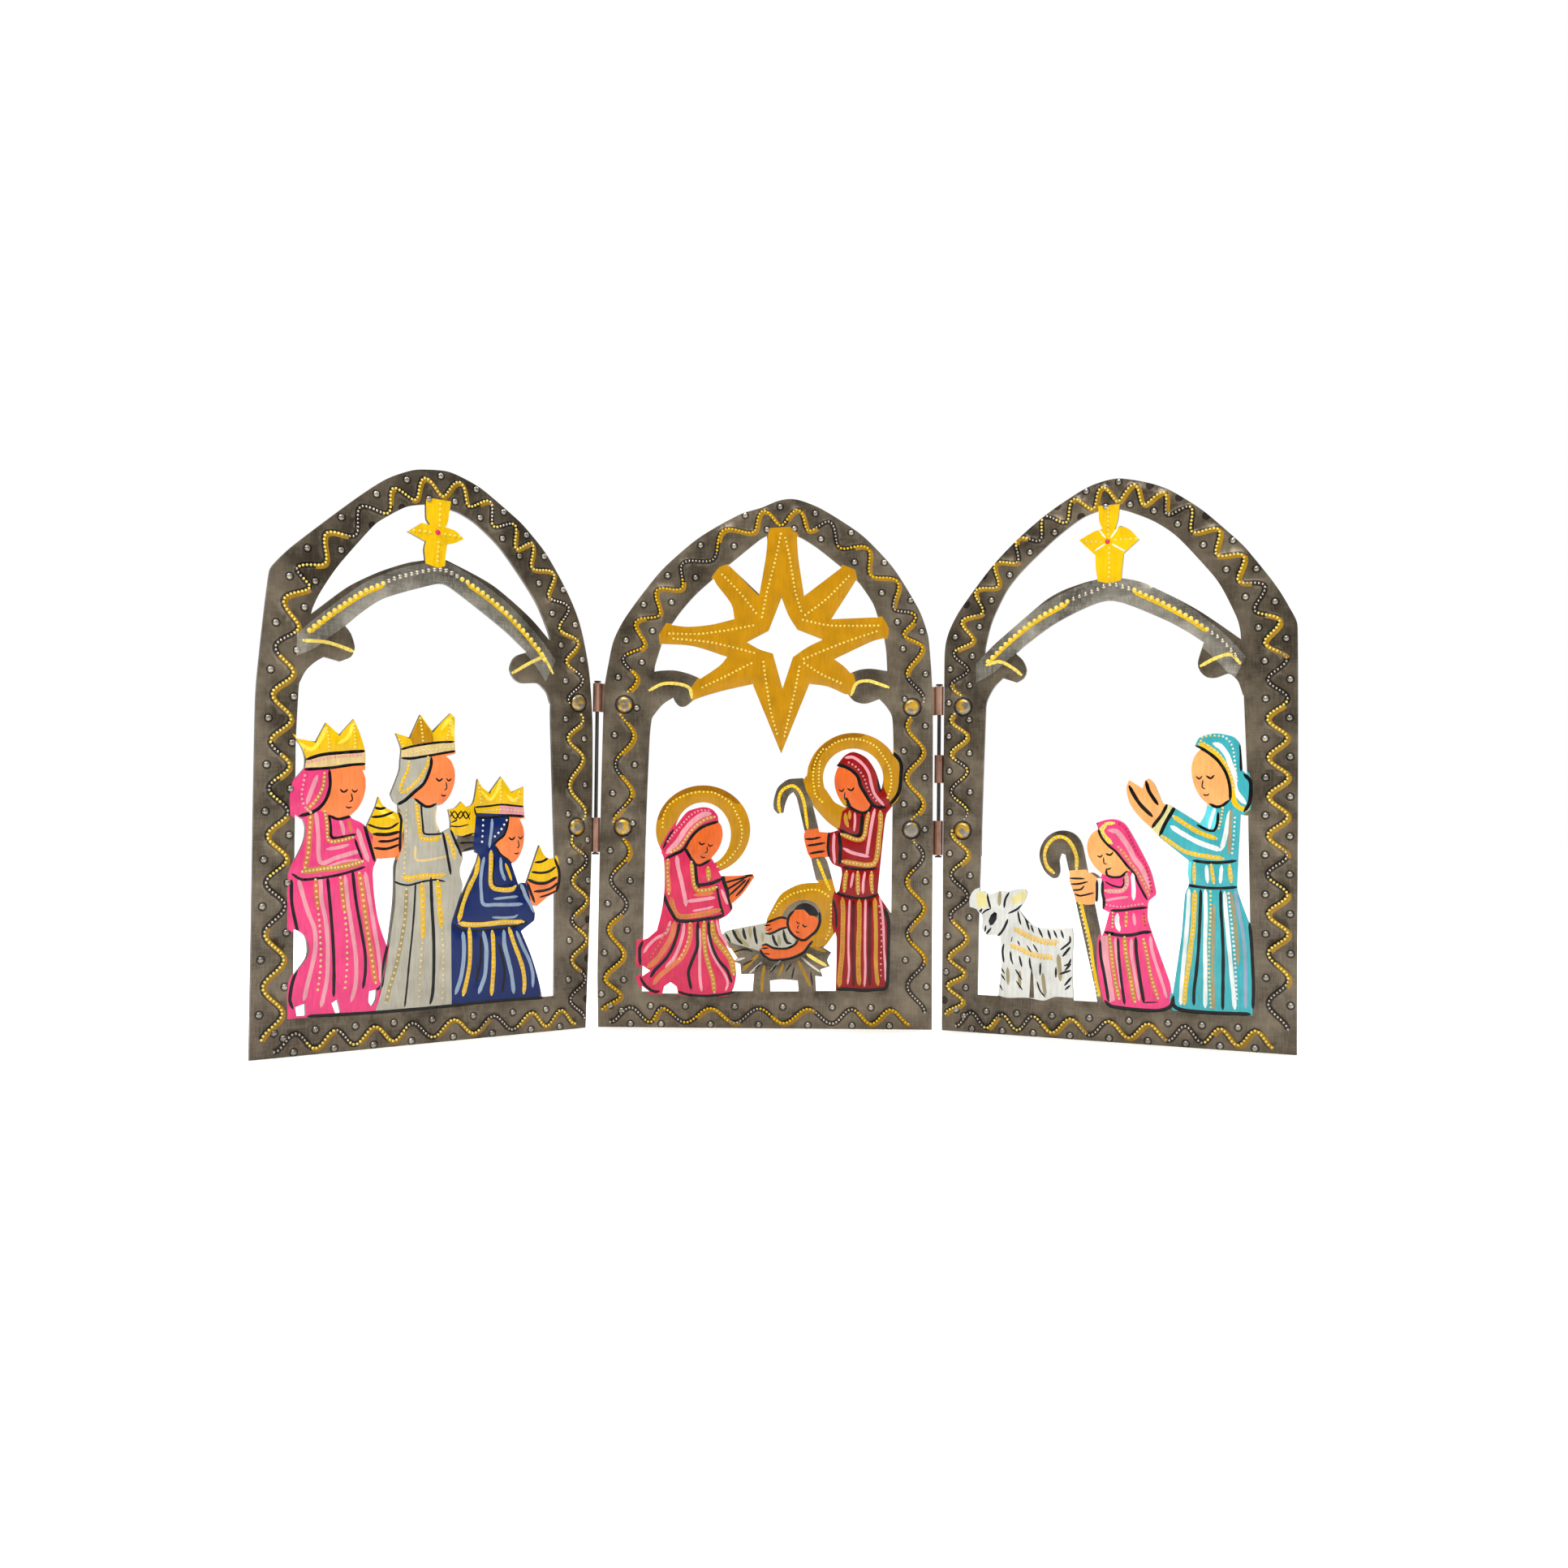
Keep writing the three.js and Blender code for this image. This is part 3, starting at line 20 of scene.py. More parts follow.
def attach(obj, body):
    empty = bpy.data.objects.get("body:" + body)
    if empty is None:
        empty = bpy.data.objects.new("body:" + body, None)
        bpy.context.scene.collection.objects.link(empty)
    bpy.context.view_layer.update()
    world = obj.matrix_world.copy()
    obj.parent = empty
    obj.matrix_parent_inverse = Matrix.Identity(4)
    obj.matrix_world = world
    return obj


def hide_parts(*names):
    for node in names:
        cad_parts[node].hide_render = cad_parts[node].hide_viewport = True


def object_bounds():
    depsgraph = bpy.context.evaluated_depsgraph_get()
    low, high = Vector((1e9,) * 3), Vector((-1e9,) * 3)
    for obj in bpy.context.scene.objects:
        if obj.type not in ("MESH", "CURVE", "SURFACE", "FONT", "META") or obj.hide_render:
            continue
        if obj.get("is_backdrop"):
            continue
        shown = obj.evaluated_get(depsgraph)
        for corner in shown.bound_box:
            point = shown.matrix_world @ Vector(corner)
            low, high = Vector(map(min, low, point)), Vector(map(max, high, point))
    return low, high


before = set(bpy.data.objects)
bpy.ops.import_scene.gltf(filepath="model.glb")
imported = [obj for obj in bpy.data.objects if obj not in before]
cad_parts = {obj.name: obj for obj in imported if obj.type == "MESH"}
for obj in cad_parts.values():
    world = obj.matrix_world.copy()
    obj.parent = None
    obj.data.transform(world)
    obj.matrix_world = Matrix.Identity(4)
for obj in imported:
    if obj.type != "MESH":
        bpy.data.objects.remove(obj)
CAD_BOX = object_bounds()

logging.basicConfig(level=logging.INFO, format="%(message)s")
log = logging.getLogger("triptych")

MM = 0.001
# Half the thickness of a sheet, and the width of the camera's sensor.
SHEET_HALF, SENSOR_WIDTH = 0.6, 36.0
# A corner of an outline stays sharp past a bend in degrees. Short sides take the second bend.
SHARP_BEND, SHARP_SHORT_BEND, SHORT_SIDE = 36, 56, 4.2
# A stroke starts at this share of its width and is full this many widths in. Its edge wavers,
# and its tip reaches past its end.
BRUSH_START, BRUSH_FILL, BRUSH_WAVER, BRUSH_TIP = 0.5, 1.1, 0.13, 0.3
# How far off a solid's flat back a point may lie, and how finely points are told apart.
FLAT_SLACK, KEYS_PER_MM = 0.03, 50
# What the triangulation returns, and how close its points may be.
ALL_TRIANGLES, WELD = 0, 1e-4

Point = tuple[float, float]


class Paint(Enum):
    """Finishes that a patch, stroke or bead can have: the letter in the drawings and a hex."""

    STEEL = ("S", "#5b534a")
    # Bare punched beads, lightened as a painted highlight.
    SILVER = ("s", "#b9b6ae")
    BLACK = ("k", "#020202")
    GOLD = ("a", "#dfb206")
    SUN = ("y", "#ecd444")
    LEMON = ("l", "#e4cb62")
    BRASSY = ("L", "#96700a")
    OCHRE = ("e", "#b07c04")
    UMBER = ("U", "#8f5c02")
    CREAM = ("c", "#d5ba80")
    PRIMROSE = ("j", "#d3c98a")
    WHITE = ("w", "#d8dddb")
    CHALK = ("z", "#cbccc6")
    DOVE = ("i", "#a9a596")
    SAND = ("x", "#958a67")
    ROSE = ("q", "#dc3d76")
    CHERRY = ("u", "#c52a50")
    BLUSH = ("p", "#d8919b")
    WINE = ("r", "#860606")
    MAROON = ("d", "#4d0202")
    CORAL = ("o", "#c96f44")
    AMBER = ("O", "#b8822a")
    NAVY = ("n", "#06205a")
    SKY = ("b", "#889aaf")
    TEAL = ("t", "#3ba0a8")
    AQUA = ("T", "#5cc8d2")
    SKIN_WARM = ("g", "#e97d44")
    SKIN_DEEP = ("f", "#d05e24")
    SKIN_PALE = ("h", "#eba25f")
    BACK_STEEL = ("B", "#6d655b")
    CUT_EDGE = ("E", "#8d867b")
    # Dark steel painted as shade round rivets and bumps and along the raised cord.
    SOOT = ("D", "#2a241e")
    # Lighter steel that paints in the sheen of the roof bands and bumps.
    BRIGHT = ("N", "#cfc6b6")

    @property
    def letter(self) -> str:
        """Letter that stands for the finish in a drawing."""
        return self.value[0]

    @property
    def colour(self) -> str:
        """sRGB hex of the finish."""
        return self.value[1]


class Mark(Enum):
    """Kinds of line in a drawing: the letter, and how many settings follow the finish."""

    PATCH = ("F", 0)
    STROKE = ("S", 1)
    BEADS = ("D", 2)
    BEADED_STROKE = ("B", 4)


BY_LETTER = {paint.letter: paint for paint in Paint}
MARKS = {mark.value[0]: mark for mark in Mark}


def linear(colour: str, shade: float = 1.0) -> tuple[float, float, float, float]:
    """Turns an sRGB hex into linear light.

    Args:
        colour: the hex, with its #.
        shade: what the light is multiplied by.

    Returns:
        Linear red, green and blue, and an alpha of 1.
    """
    parts = [int(colour[i : i + 2], 16) / 255 for i in (1, 3, 5)]
    light = [p / 12.92 if p <= 0.04045 else ((p + 0.055) / 1.055) ** 2.4 for p in parts]
    return (*(min(1.0, part * shade) for part in light), 1.0)


def add_node(
    tree: bpy.types.NodeTree, kind: str, links: dict | None = None, **settings: object
) -> bpy.types.Node:
    """Adds a node with its settings and links.

    Args:
        tree: the tree it goes in.
        kind: the node's type name.
        links: for each input, by name or number, its value, the socket it is linked from, a node
            whose first output it is linked from, or a list of these.
        settings: the node's own properties.

    Returns:
        The new node.
    """
    node = tree.nodes.new(kind)
    for name, value in settings.items():
        setattr(node, name, value)
    for key, value in (links or {}).items():
        for source in value if isinstance(value, list) else [value]:
            if isinstance(source, bpy.types.Node):
                source = source.outputs[0]
            if isinstance(source, bpy.types.NodeSocket):
                tree.links.new(source, node.inputs[key])
            else:
                node.inputs[key].default_value = source
    return node


def bare_material(name: str) -> bpy.types.Material:
    """Makes a material with an empty node tree.

    Args:
        name: the material's name.

    Returns:
        The material.
    """
    made = bpy.data.materials.new(name)
    made.use_nodes = True
    made.node_tree.nodes.clear()
    return made


def linked_object(name: str, data: bpy.types.ID) -> bpy.types.Object:
    """Puts a mesh, lamp or camera in the scene.

    Args:
        name: name of the object.
        data: what the object holds.

    Returns:
        The object, at the origin.
    """
    made = bpy.data.objects.new(name, data)
    bpy.context.scene.collection.objects.link(made)
    return made


@dataclass(frozen=True)
class Metal:
    """A metal finish: patina in blotches under fine scratches in two directions.

    A wire brush leaves scratches some 0.08 mm wide. They are drawn at 0.26 mm, because finer
    ones are lost in the render. `cloud` is where the patina turns from dark to mid, and `wear`
    is how much of the light colour the scratches bring out.
    """

    name: str
    dark: str
    mid: str
    light: str
    roughness: float
    metallic: float = 0.92
    scratch_mm: float = 0.26
    scratch_run: float = 22.0
    blotch_mm: float = 17.0
    relief_mm: float = 0.014
    lacquer: float = 0.35
    cloud: tuple[float, float] = (0.38, 0.66)
    wear: float = 0.2

    def material(self) -> bpy.types.Material:
        """Builds the metal's material.

        Returns:
            The new material.
        """
        made = bare_material(self.name)
        add = partial(add_node, made.node_tree)
        where = add("ShaderNodeTexCoord").outputs["Object"]
        fine = 1 / (self.scratch_mm * MM)
        long = 1 / (self.scratch_mm * self.scratch_run * MM)
        hatch = []
        for scale in ((fine, fine, long), (long, long, fine)):
            stretched = add("ShaderNodeMapping", {"Vector": where, "Scale": scale})
            look = {"Vector": stretched, "Scale": 1.0, "Detail": 2.0, "Roughness": 0.6}
            hatch.append(add("ShaderNodeTexNoise", look))
        scratches = add("ShaderNodeMix", {0: 0.42, 2: hatch[0], 3: hatch[1]})
        cloud = 1 / (self.blotch_mm * MM)
        look = {"Vector": where, "Scale": cloud, "Detail": 6.0, "Roughness": 0.62}
        blotches = add("ShaderNodeTexNoise", look)
        patina = add("ShaderNodeValToRGB", {0: blotches})
        for stop, place, tone in zip(
            patina.color_ramp.elements, self.cloud, (self.dark, self.mid)
        ):
            stop.position = place
            stop.color = linear(tone)
        worn = add("ShaderNodeMapRange", {0: scratches, 1: 0.46, 2: 0.74, 3: 0.0, 4: self.wear})
        colour = add(
            "ShaderNodeMix",
            {0: worn, 6: patina, 7: linear(self.light)},
            data_type="RGBA",
        ).outputs[2]
        rough = add(
            "ShaderNodeMapRange",
            {0: blotches, 1: 0.3, 2: 0.7, 3: self.roughness - 0.06, 4: self.roughness + 0.1},
        )
        bump = add(
            "ShaderNodeBump",
            {"Height": scratches, "Distance": self.relief_mm * MM, "Strength": 1.0},
        )
        shader = add(
            "ShaderNodeBsdfPrincipled",
            {
                "Base Color": colour,
                "Metallic": self.metallic,
                "Roughness": rough,
                "Coat Weight": self.lacquer,
                "Coat Roughness": 0.16,
                "Normal": bump,
            },
        )
        add("ShaderNodeOutputMaterial", {0: shader})
        return made


@dataclass(frozen=True)
class Enamel:
    """Brushed-on gloss enamel: a thick bright coat with brush streaks and thin patches.

    The hairs of a small brush leave streaks some 0.2 mm apart. They are drawn at 0.7 mm, because
    finer ones are lost in the render.
    """

    paint: Paint
    roughness: float = 0.2
    streak_mm: float = 0.7
    streak_run: float = 9.0
    patch_mm: float = 7.0
    relief_mm: float = 0.03

    def material(self) -> bpy.types.Material:
        """Builds the enamel's material.

        Returns:
            The new material.
        """
        made = bare_material(f"enamel_{self.paint.name.lower()}")
        add = partial(add_node, made.node_tree)
        where = add("ShaderNodeTexCoord").outputs["Object"]
        streak = 1 / (self.streak_mm * MM)
        along = add(
            "ShaderNodeMapping",
            {"Vector": where, "Scale": (streak, streak, streak / self.streak_run)},
        )
        streaks = add("ShaderNodeTexNoise", {"Vector": along, "Scale": 1.0, "Detail": 2.0})
        patches = add(
            "ShaderNodeTexNoise",
            {"Vector": where, "Scale": 1 / (self.patch_mm * MM), "Detail": 3.0},
        )
        coat = add("ShaderNodeMix", {0: 0.45, 2: patches, 3: streaks})
        thickness = add("ShaderNodeMapRange", {0: coat, 1: 0.34, 2: 0.66, 3: 0.0, 4: 1.0})
        colour = add(
            "ShaderNodeMix",
            {0: thickness, 6: linear(self.paint.colour, 0.8), 7: linear(self.paint.colour, 1.1)},
            data_type="RGBA",
        ).outputs[2]
        bump = add(
            "ShaderNodeBump",
            {"Height": coat, "Distance": self.relief_mm * MM, "Strength": 0.9},
        )
        shader = add(
            "ShaderNodeBsdfPrincipled",
            {
                "Base Color": colour,
                "Roughness": self.roughness,
                "IOR": 1.5,
                "Specular IOR Level": 0.26,
                "Normal": bump,
            },
        )
        add("ShaderNodeOutputMaterial", {0: shader})
        return made


# Cold-rolled sheet steel, heat darkened, wire brushed both ways and sealed: a dark warm grey
# satin with a crossed grain and cloudy patina.
SHEET_STEEL = Metal("burnished_sheet_steel", "#483e31", "#786c5a", "#b8ae9b", 0.36)
# The roof bands and the punched bumps: brushed steel with the same crossed grain, in a lighter
# silvery grey that also paints in the sheen the arch tops and bumps catch.
SHEEN_PAINTED_STEEL = Metal("bright_brushed_roof_steel", "#6a6458", "#aaa496", "#ece7db", 0.32, wear=0.45)
# The same steel darkened as painted shade: rings round the bumps and rivets, and a band along the
# raised cord.
SHADE_PAINTED_STEEL = Metal("heat_blackened_steel", "#19130f", "#3a3027", "#6b6052", 0.42)
# The same sheet from behind, with less patina and no clear coat.
SHEET_BACK = Metal("wire_brushed_sheet_back", "#3b3630", "#5f584f", "#8d867c", 0.5)
# Saw and file cut edge of the sheet: bare grey steel, a little brighter than the face.
SHEET_EDGE = Metal("filed_sheet_edge", "#4a443d", "#7a736a", "#a39d93", 0.45)
# Punched bumps rubbed back to bare metal, in a near-white steel that paints in the highlight each
# one catches.
HIGHLIGHT_PAINTED_STEEL = Metal("rubbed_punched_steel", "#9c9385", "#cdc5b6", "#f2ecdf", 0.22)
# Rolled hinge strip with a copper-brown lacquer.
HINGE_STEEL = Metal("copper_lacquered_hinge_steel", "#86604f", "#b98f7a", "#e0bfac", 0.34)
# Drawn wire of the hinge pins, oiled dark.
PIN_STEEL = Metal("oiled_pin_wire", "#2c2825", "#48423d", "#77706a", 0.4)
# Hammered rivet heads: grey steel with patches of worn yellow enamel, dimpled and glinting.
RIVET_STEEL = Metal(
    "hammered_rivet_heads",
    "#7f786c",
    "#c79a18",
    "#cfc8b9",
    0.32,
    metallic=0.8,
    blotch_mm=3.4,
    relief_mm=0.08,
    cloud=(0.5, 0.54),
)

METAL_PAINTS = {
    Paint.STEEL: SHEET_STEEL,
    Paint.SILVER: HIGHLIGHT_PAINTED_STEEL,
    Paint.BACK_STEEL: SHEET_BACK,
    Paint.CUT_EDGE: SHEET_EDGE,
    Paint.SOOT: SHADE_PAINTED_STEEL,
    Paint.BRIGHT: SHEEN_PAINTED_STEEL,
}


@dataclass
class FinishRack:
    """Makes each material once and hands it out."""

    made: dict[str, bpy.types.Material] = field(default_factory=dict)

    def metal(self, finish: Metal) -> bpy.types.Material:
        """Hands out the material of a metal finish.

        Args:
            finish: the metal.

        Returns:
            Its material, made on first use.
        """
        if finish.name not in self.made:
            self.made[finish.name] = finish.material()
        return self.made[finish.name]

    def paint(self, paint: Paint) -> bpy.types.Material:
        """Hands out the material that a finish of the drawings stands for.

        Args:
            paint: the finish.

        Returns:
            Its material, made on first use.
        """
        if paint in METAL_PAINTS:
            return self.metal(METAL_PAINTS[paint])
        if paint.name not in self.made:
            self.made[paint.name] = Enamel(paint).material()
        return self.made[paint.name]


RACK = FinishRack()


@dataclass(frozen=True)
class Stance:
    """Where a panel's flat drawing stands: the hinge axis it turns about and how far."""

    pivot_u: float = 0.0
    turn: float = 0.0
    pivot_y: float = -0.2

    def place(self, u: float, depth: float, v: float) -> tuple[float, float, float]:
        """Puts a point of the drawing in space.

        Args:
            u: across the panel, in mm.
            depth: behind the middle of the sheet, in mm.
            v: up from the foot, in mm.

        Returns:
            The point in metres.
        """
        angle = math.radians(self.turn)
        across, out = u + self.pivot_u, depth - self.pivot_y
        x = self.pivot_u + across * math.cos(angle) - out * math.sin(angle)
        y = self.pivot_y + across * math.sin(angle) + out * math.cos(angle)
        return (x * MM, y * MM, v * MM)

    def flatten(self, x: float, y: float, z: float) -> tuple[float, float, float]:
        """Finds where a point in space lies on the drawing.

        Args:
            x: across, in metres.
            y: to the back, in metres.
            z: up, in metres.

        Returns:
            Its u, depth and v in mm.
        """
        angle = math.radians(self.turn)
        dx, dy = x / MM - self.pivot_u, y / MM - self.pivot_y
        across = dx * math.cos(angle) + dy * math.sin(angle)
        out = -dx * math.sin(angle) + dy * math.cos(angle)
        return across - self.pivot_u, out + self.pivot_y, z / MM


def points_of(words: str) -> list[Point]:
    """Reads points from a string of numbers.

    Args:
        words: u and v of each point in turn.

    Returns:
        The points.
    """
    numbers = [float(word) for word in words.split()]
    return list(zip(numbers[::2], numbers[1::2]))


def unit(a: Point, b: Point) -> Point:
    """Finds the direction from one point to another.

    Args:
        a: the first point.
        b: the second point.

    Returns:
        The direction, of length 1.
    """
    du, dv = b[0] - a[0], b[1] - a[1]
    length = math.hypot(du, dv) or 1.0
    return du / length, dv / length


def smooth_line(points: Sequence[Point], step: float) -> list[Point]:
    """Draws a smooth open line through points.

    Args:
        points: what the line passes through.
        step: about how far apart the new points are.

    Returns:
        The points of the line, ends included.
    """
    if len(points) < 2:
        return list(points)
    ends = [
        (2 * points[0][0] - points[1][0], 2 * points[0][1] - points[1][1]),
        (2 * points[-1][0] - points[-2][0], 2 * points[-1][1] - points[-2][1]),
    ]
    row = [ends[0], *points, ends[1]]
    line: list[Point] = []
    for i in range(1, len(row) - 2):
        before, a, b, after = row[i - 1 : i + 3]
        reach = math.dist(a, b)
        steps = max(1, round(reach / step))
        leave = limited((b[0] - before[0]) / 2, (b[1] - before[1]) / 2, reach)
        arrive = limited((after[0] - a[0]) / 2, (after[1] - a[1]) / 2, reach)
        line += [hermite(a, b, leave, arrive, k / steps) for k in range(steps)]
    return [*line, tuple(points[-1])]


def limited(du: float, dv: float, most: float) -> Point:
    """Cuts a direction to a length.

    Args:
        du: its part across.
        dv: its part upwards.
        most: the length it may have.

    Returns:
        The direction, no longer than that.
    """
    length = math.hypot(du, dv)
    share = min(1.0, most / length) if length else 0.0
    return du * share, dv * share


def hermite(a: Point, b: Point, leave: Point, arrive: Point, t: float) -> Point:
    """Finds a point of a curve between two points.

    Args:
        a: where the curve starts.
        b: where it ends.
        leave: its direction and pull at the start.
        arrive: its direction and pull at the end.
        t: how far along it the point is, from 0 to 1.

    Returns:
        The point.
    """
    h = (2 * t**3 - 3 * t**2 + 1, t**3 - 2 * t**2 + t, 3 * t**2 - 2 * t**3, t**3 - t**2)
    return tuple(h[0] * a[i] + h[1] * leave[i] + h[2] * b[i] + h[3] * arrive[i] for i in (0, 1))


def smooth_ring(points: Sequence[Point], step: float) -> list[Point]:
    """Rounds the soft corners of a closed outline and keeps the sharp ones.

    Args:
        points: the corners in order.
        step: about how far apart the new points are.

    Returns:
        The finer outline.
    """
    count = len(points)

    def at(i: int) -> Point:
        """Returns a corner, counted round the ring."""
        return points[i % count]

    sharp = []
    for i in range(count):
        before, after = unit(at(i - 1), at(i)), unit(at(i), at(i + 1))
        bend = math.degrees(
            math.acos(max(-1.0, min(1.0, before[0] * after[0] + before[1] * after[1])))
        )
        longer = max(math.dist(at(i - 1), at(i)), math.dist(at(i), at(i + 1)))
        sharp.append(bend > (SHARP_SHORT_BEND if longer < SHORT_SIDE else SHARP_BEND))
    ring: list[Point] = []
    for i in range(count):
        a, b = at(i), at(i + 1)
        reach = math.dist(a, b)
        chord = (b[0] - a[0], b[1] - a[1])
        leave = chord if sharp[i] else ((b[0] - at(i - 1)[0]) / 2, (b[1] - at(i - 1)[1]) / 2)
        arrive = (
            chord
            if sharp[(i + 1) % count]
            else ((at(i + 2)[0] - a[0]) / 2, (at(i + 2)[1] - a[1]) / 2)
        )
        leave, arrive = limited(*leave, reach), limited(*arrive, reach)
        steps = max(1, round(reach / step))
        ring += [hermite(a, b, leave, arrive, k / steps) for k in range(steps)]
    return ring


def area(ring: Sequence[Point]) -> float:
    """Measures the area inside a ring.

    Args:
        ring: the closed outline.

    Returns:
        The area, above 0 when the ring runs anticlockwise.
    """
    return sum(a[0] * b[1] - b[0] * a[1] for a, b in zip(ring, [*ring[1:], ring[0]])) / 2


def every(line: Sequence[Point], pitch: float) -> list[Point]:
    """Steps along a line at an even pitch.

    Args:
        line: the points of the line.
        pitch: the wanted spacing, which is stretched a little to end on the last point.

    Returns:
        The evenly spaced points.
    """
    lengths = [math.dist(a, b) for a, b in zip(line, line[1:])]
    total = sum(lengths)
    if not total:
        return [line[0]]
    count = max(1, round(total / pitch))
    found, walked, i = [], 0.0, 0
    for k in range(count + 1):
        goal = min(total, k * total / count)
        while i < len(lengths) - 1 and walked + lengths[i] < goal:
            walked += lengths[i]
            i += 1
        share = (goal - walked) / (lengths[i] or 1.0)
        a, b = line[i], line[i + 1]
        found.append((a[0] + (b[0] - a[0]) * share, a[1] + (b[1] - a[1]) * share))
    return found


def ribbon(line: Sequence[Point], width: float, tapered: bool = True) -> list[Point]:
    """Draws the outline of a brush stroke.

    Args:
        line: the middle of the stroke.
        width: its width at the middle.
        tapered: whether its ends narrow as a lifted brush leaves them.

    Returns:
        The closed outline, anticlockwise.
    """
    left, right, walked = [], [], 0.0
    total = sum(math.dist(a, b) for a, b in zip(line, line[1:])) or 1.0
    for i, here in enumerate(line):
        if i:
            walked += math.dist(line[i - 1], here)
        along = unit(line[max(0, i - 1)], line[min(len(line) - 1, i + 1)])
        end = min(walked, total - walked)
        half = width / 2
        if tapered:
            half *= min(1.0, BRUSH_START + end / (width * BRUSH_FILL))
            half *= 1 + BRUSH_WAVER * noise.noise(Vector((here[0] * 0.35, here[1] * 0.35, width)))
        left.append((here[0] - along[1] * half, here[1] + along[0] * half))
        right.append((here[0] + along[1] * half, here[1] - along[0] * half))
    if tapered:
        first, last = unit(line[1], line[0]), unit(line[-2], line[-1])
        reach = width * BRUSH_TIP
        right.append((line[-1][0] + last[0] * reach, line[-1][1] + last[1] * reach))
        left.append((line[0][0] + first[0] * reach, line[0][1] + first[1] * reach))
        return right + left[-2::-1] + left[-1:]
    return right + left[::-1]


@dataclass(frozen=True)
class Wave:
    """Raised wavy cord that follows the middle of a frame.

    `middle` is the line it swings about, from the left foot over the arch to the right foot.
    `turns` gives how many waves are done at a distance along it, and `foot` does the same
    across the foot of the panel.
    """

    middle: Sequence[Point]
    turns: Sequence[Point]
    foot: Sequence[Point]
    swing: float = 3.2
    foot_line: float = 4.7
    foot_swing: float = 2.7
    bump_share: float = 1.24

    def swung(
        self, line: Sequence[Point], turns: Sequence[Point], swing: float, start: float = 0.0
    ) -> tuple[list[Point], list[Point]]:
        """Swings a wave about a line.

        Args:
            line: the middle line.
            turns: waves done at distances along it.
            swing: how far the wave goes to each side.
            start: the distance at the line's first point.

        Returns:
            The points of the wave, and a bump in each of its hollows.
        """
        dense = every(smooth_line(line, 2.0), 0.5)
        wave, bumps, walked, peak = [], [], start, None
        for i, here in enumerate(dense):
            if i:
                walked += math.dist(dense[i - 1], here)
            done = self.turned(turns, walked)
            if done is None:
                continue
            along = unit(dense[max(0, i - 2)], dense[min(len(dense) - 1, i + 2)])
            off = swing * math.sin(2 * math.pi * done)
            wave.append((here[0] - along[1] * off, here[1] + along[0] * off))
            half_wave = math.floor(done * 2)
            if peak is not None and half_wave != peak[0]:
                bumps.append(peak[2])
                peak = None
            if peak is None or abs(off) > peak[1]:
                side = -math.copysign(swing * self.bump_share, off)
                bump = (here[0] - along[1] * side, here[1] + along[0] * side)
                peak = (half_wave, abs(off), bump)
        return wave, bumps

    @staticmethod
    def turned(turns: Sequence[Point], walked: float) -> float | None:
        """Counts the waves done at a distance.

        Args:
            turns: waves done at distances along a line.
            walked: the distance.

        Returns:
            The count, or None outside the table.
        """
        for (s0, t0), (s1, t1) in zip(turns, turns[1:]):
            if s0 <= walked <= s1:
                return t0 + (t1 - t0) * (walked - s0) / (s1 - s0)
        return None

    def lines(self) -> tuple[list[list[Point]], list[Point]]:
        """Draws the waves round the frame and across its foot.

        Returns:
            The two wave lines, and the bumps in their hollows.
        """
        around, bumps = self.swung(self.middle, self.turns, self.swing)
        level = [(self.foot[0][0], self.foot_line), (self.foot[-1][0], self.foot_line)]
        across, more = self.swung(level, self.foot, self.foot_swing, self.foot[0][0])
        return [around, across], bumps + more


@dataclass(frozen=True)
class Bead:
    """A raised drop of paint or a punched bump: its place, radius, rise and finish."""

    at: Point
    radius: float
    paint: Paint
    rise: float


@dataclass(frozen=True)
class Head:
    """A head on a panel: its middle, half width and half height, lean and the side it faces.

    The lean is in degrees, anticlockwise. `looks` is 1 to the right and -1 to the left.
    """

    at: Point
    size: Point
    tilt: float
    looks: int


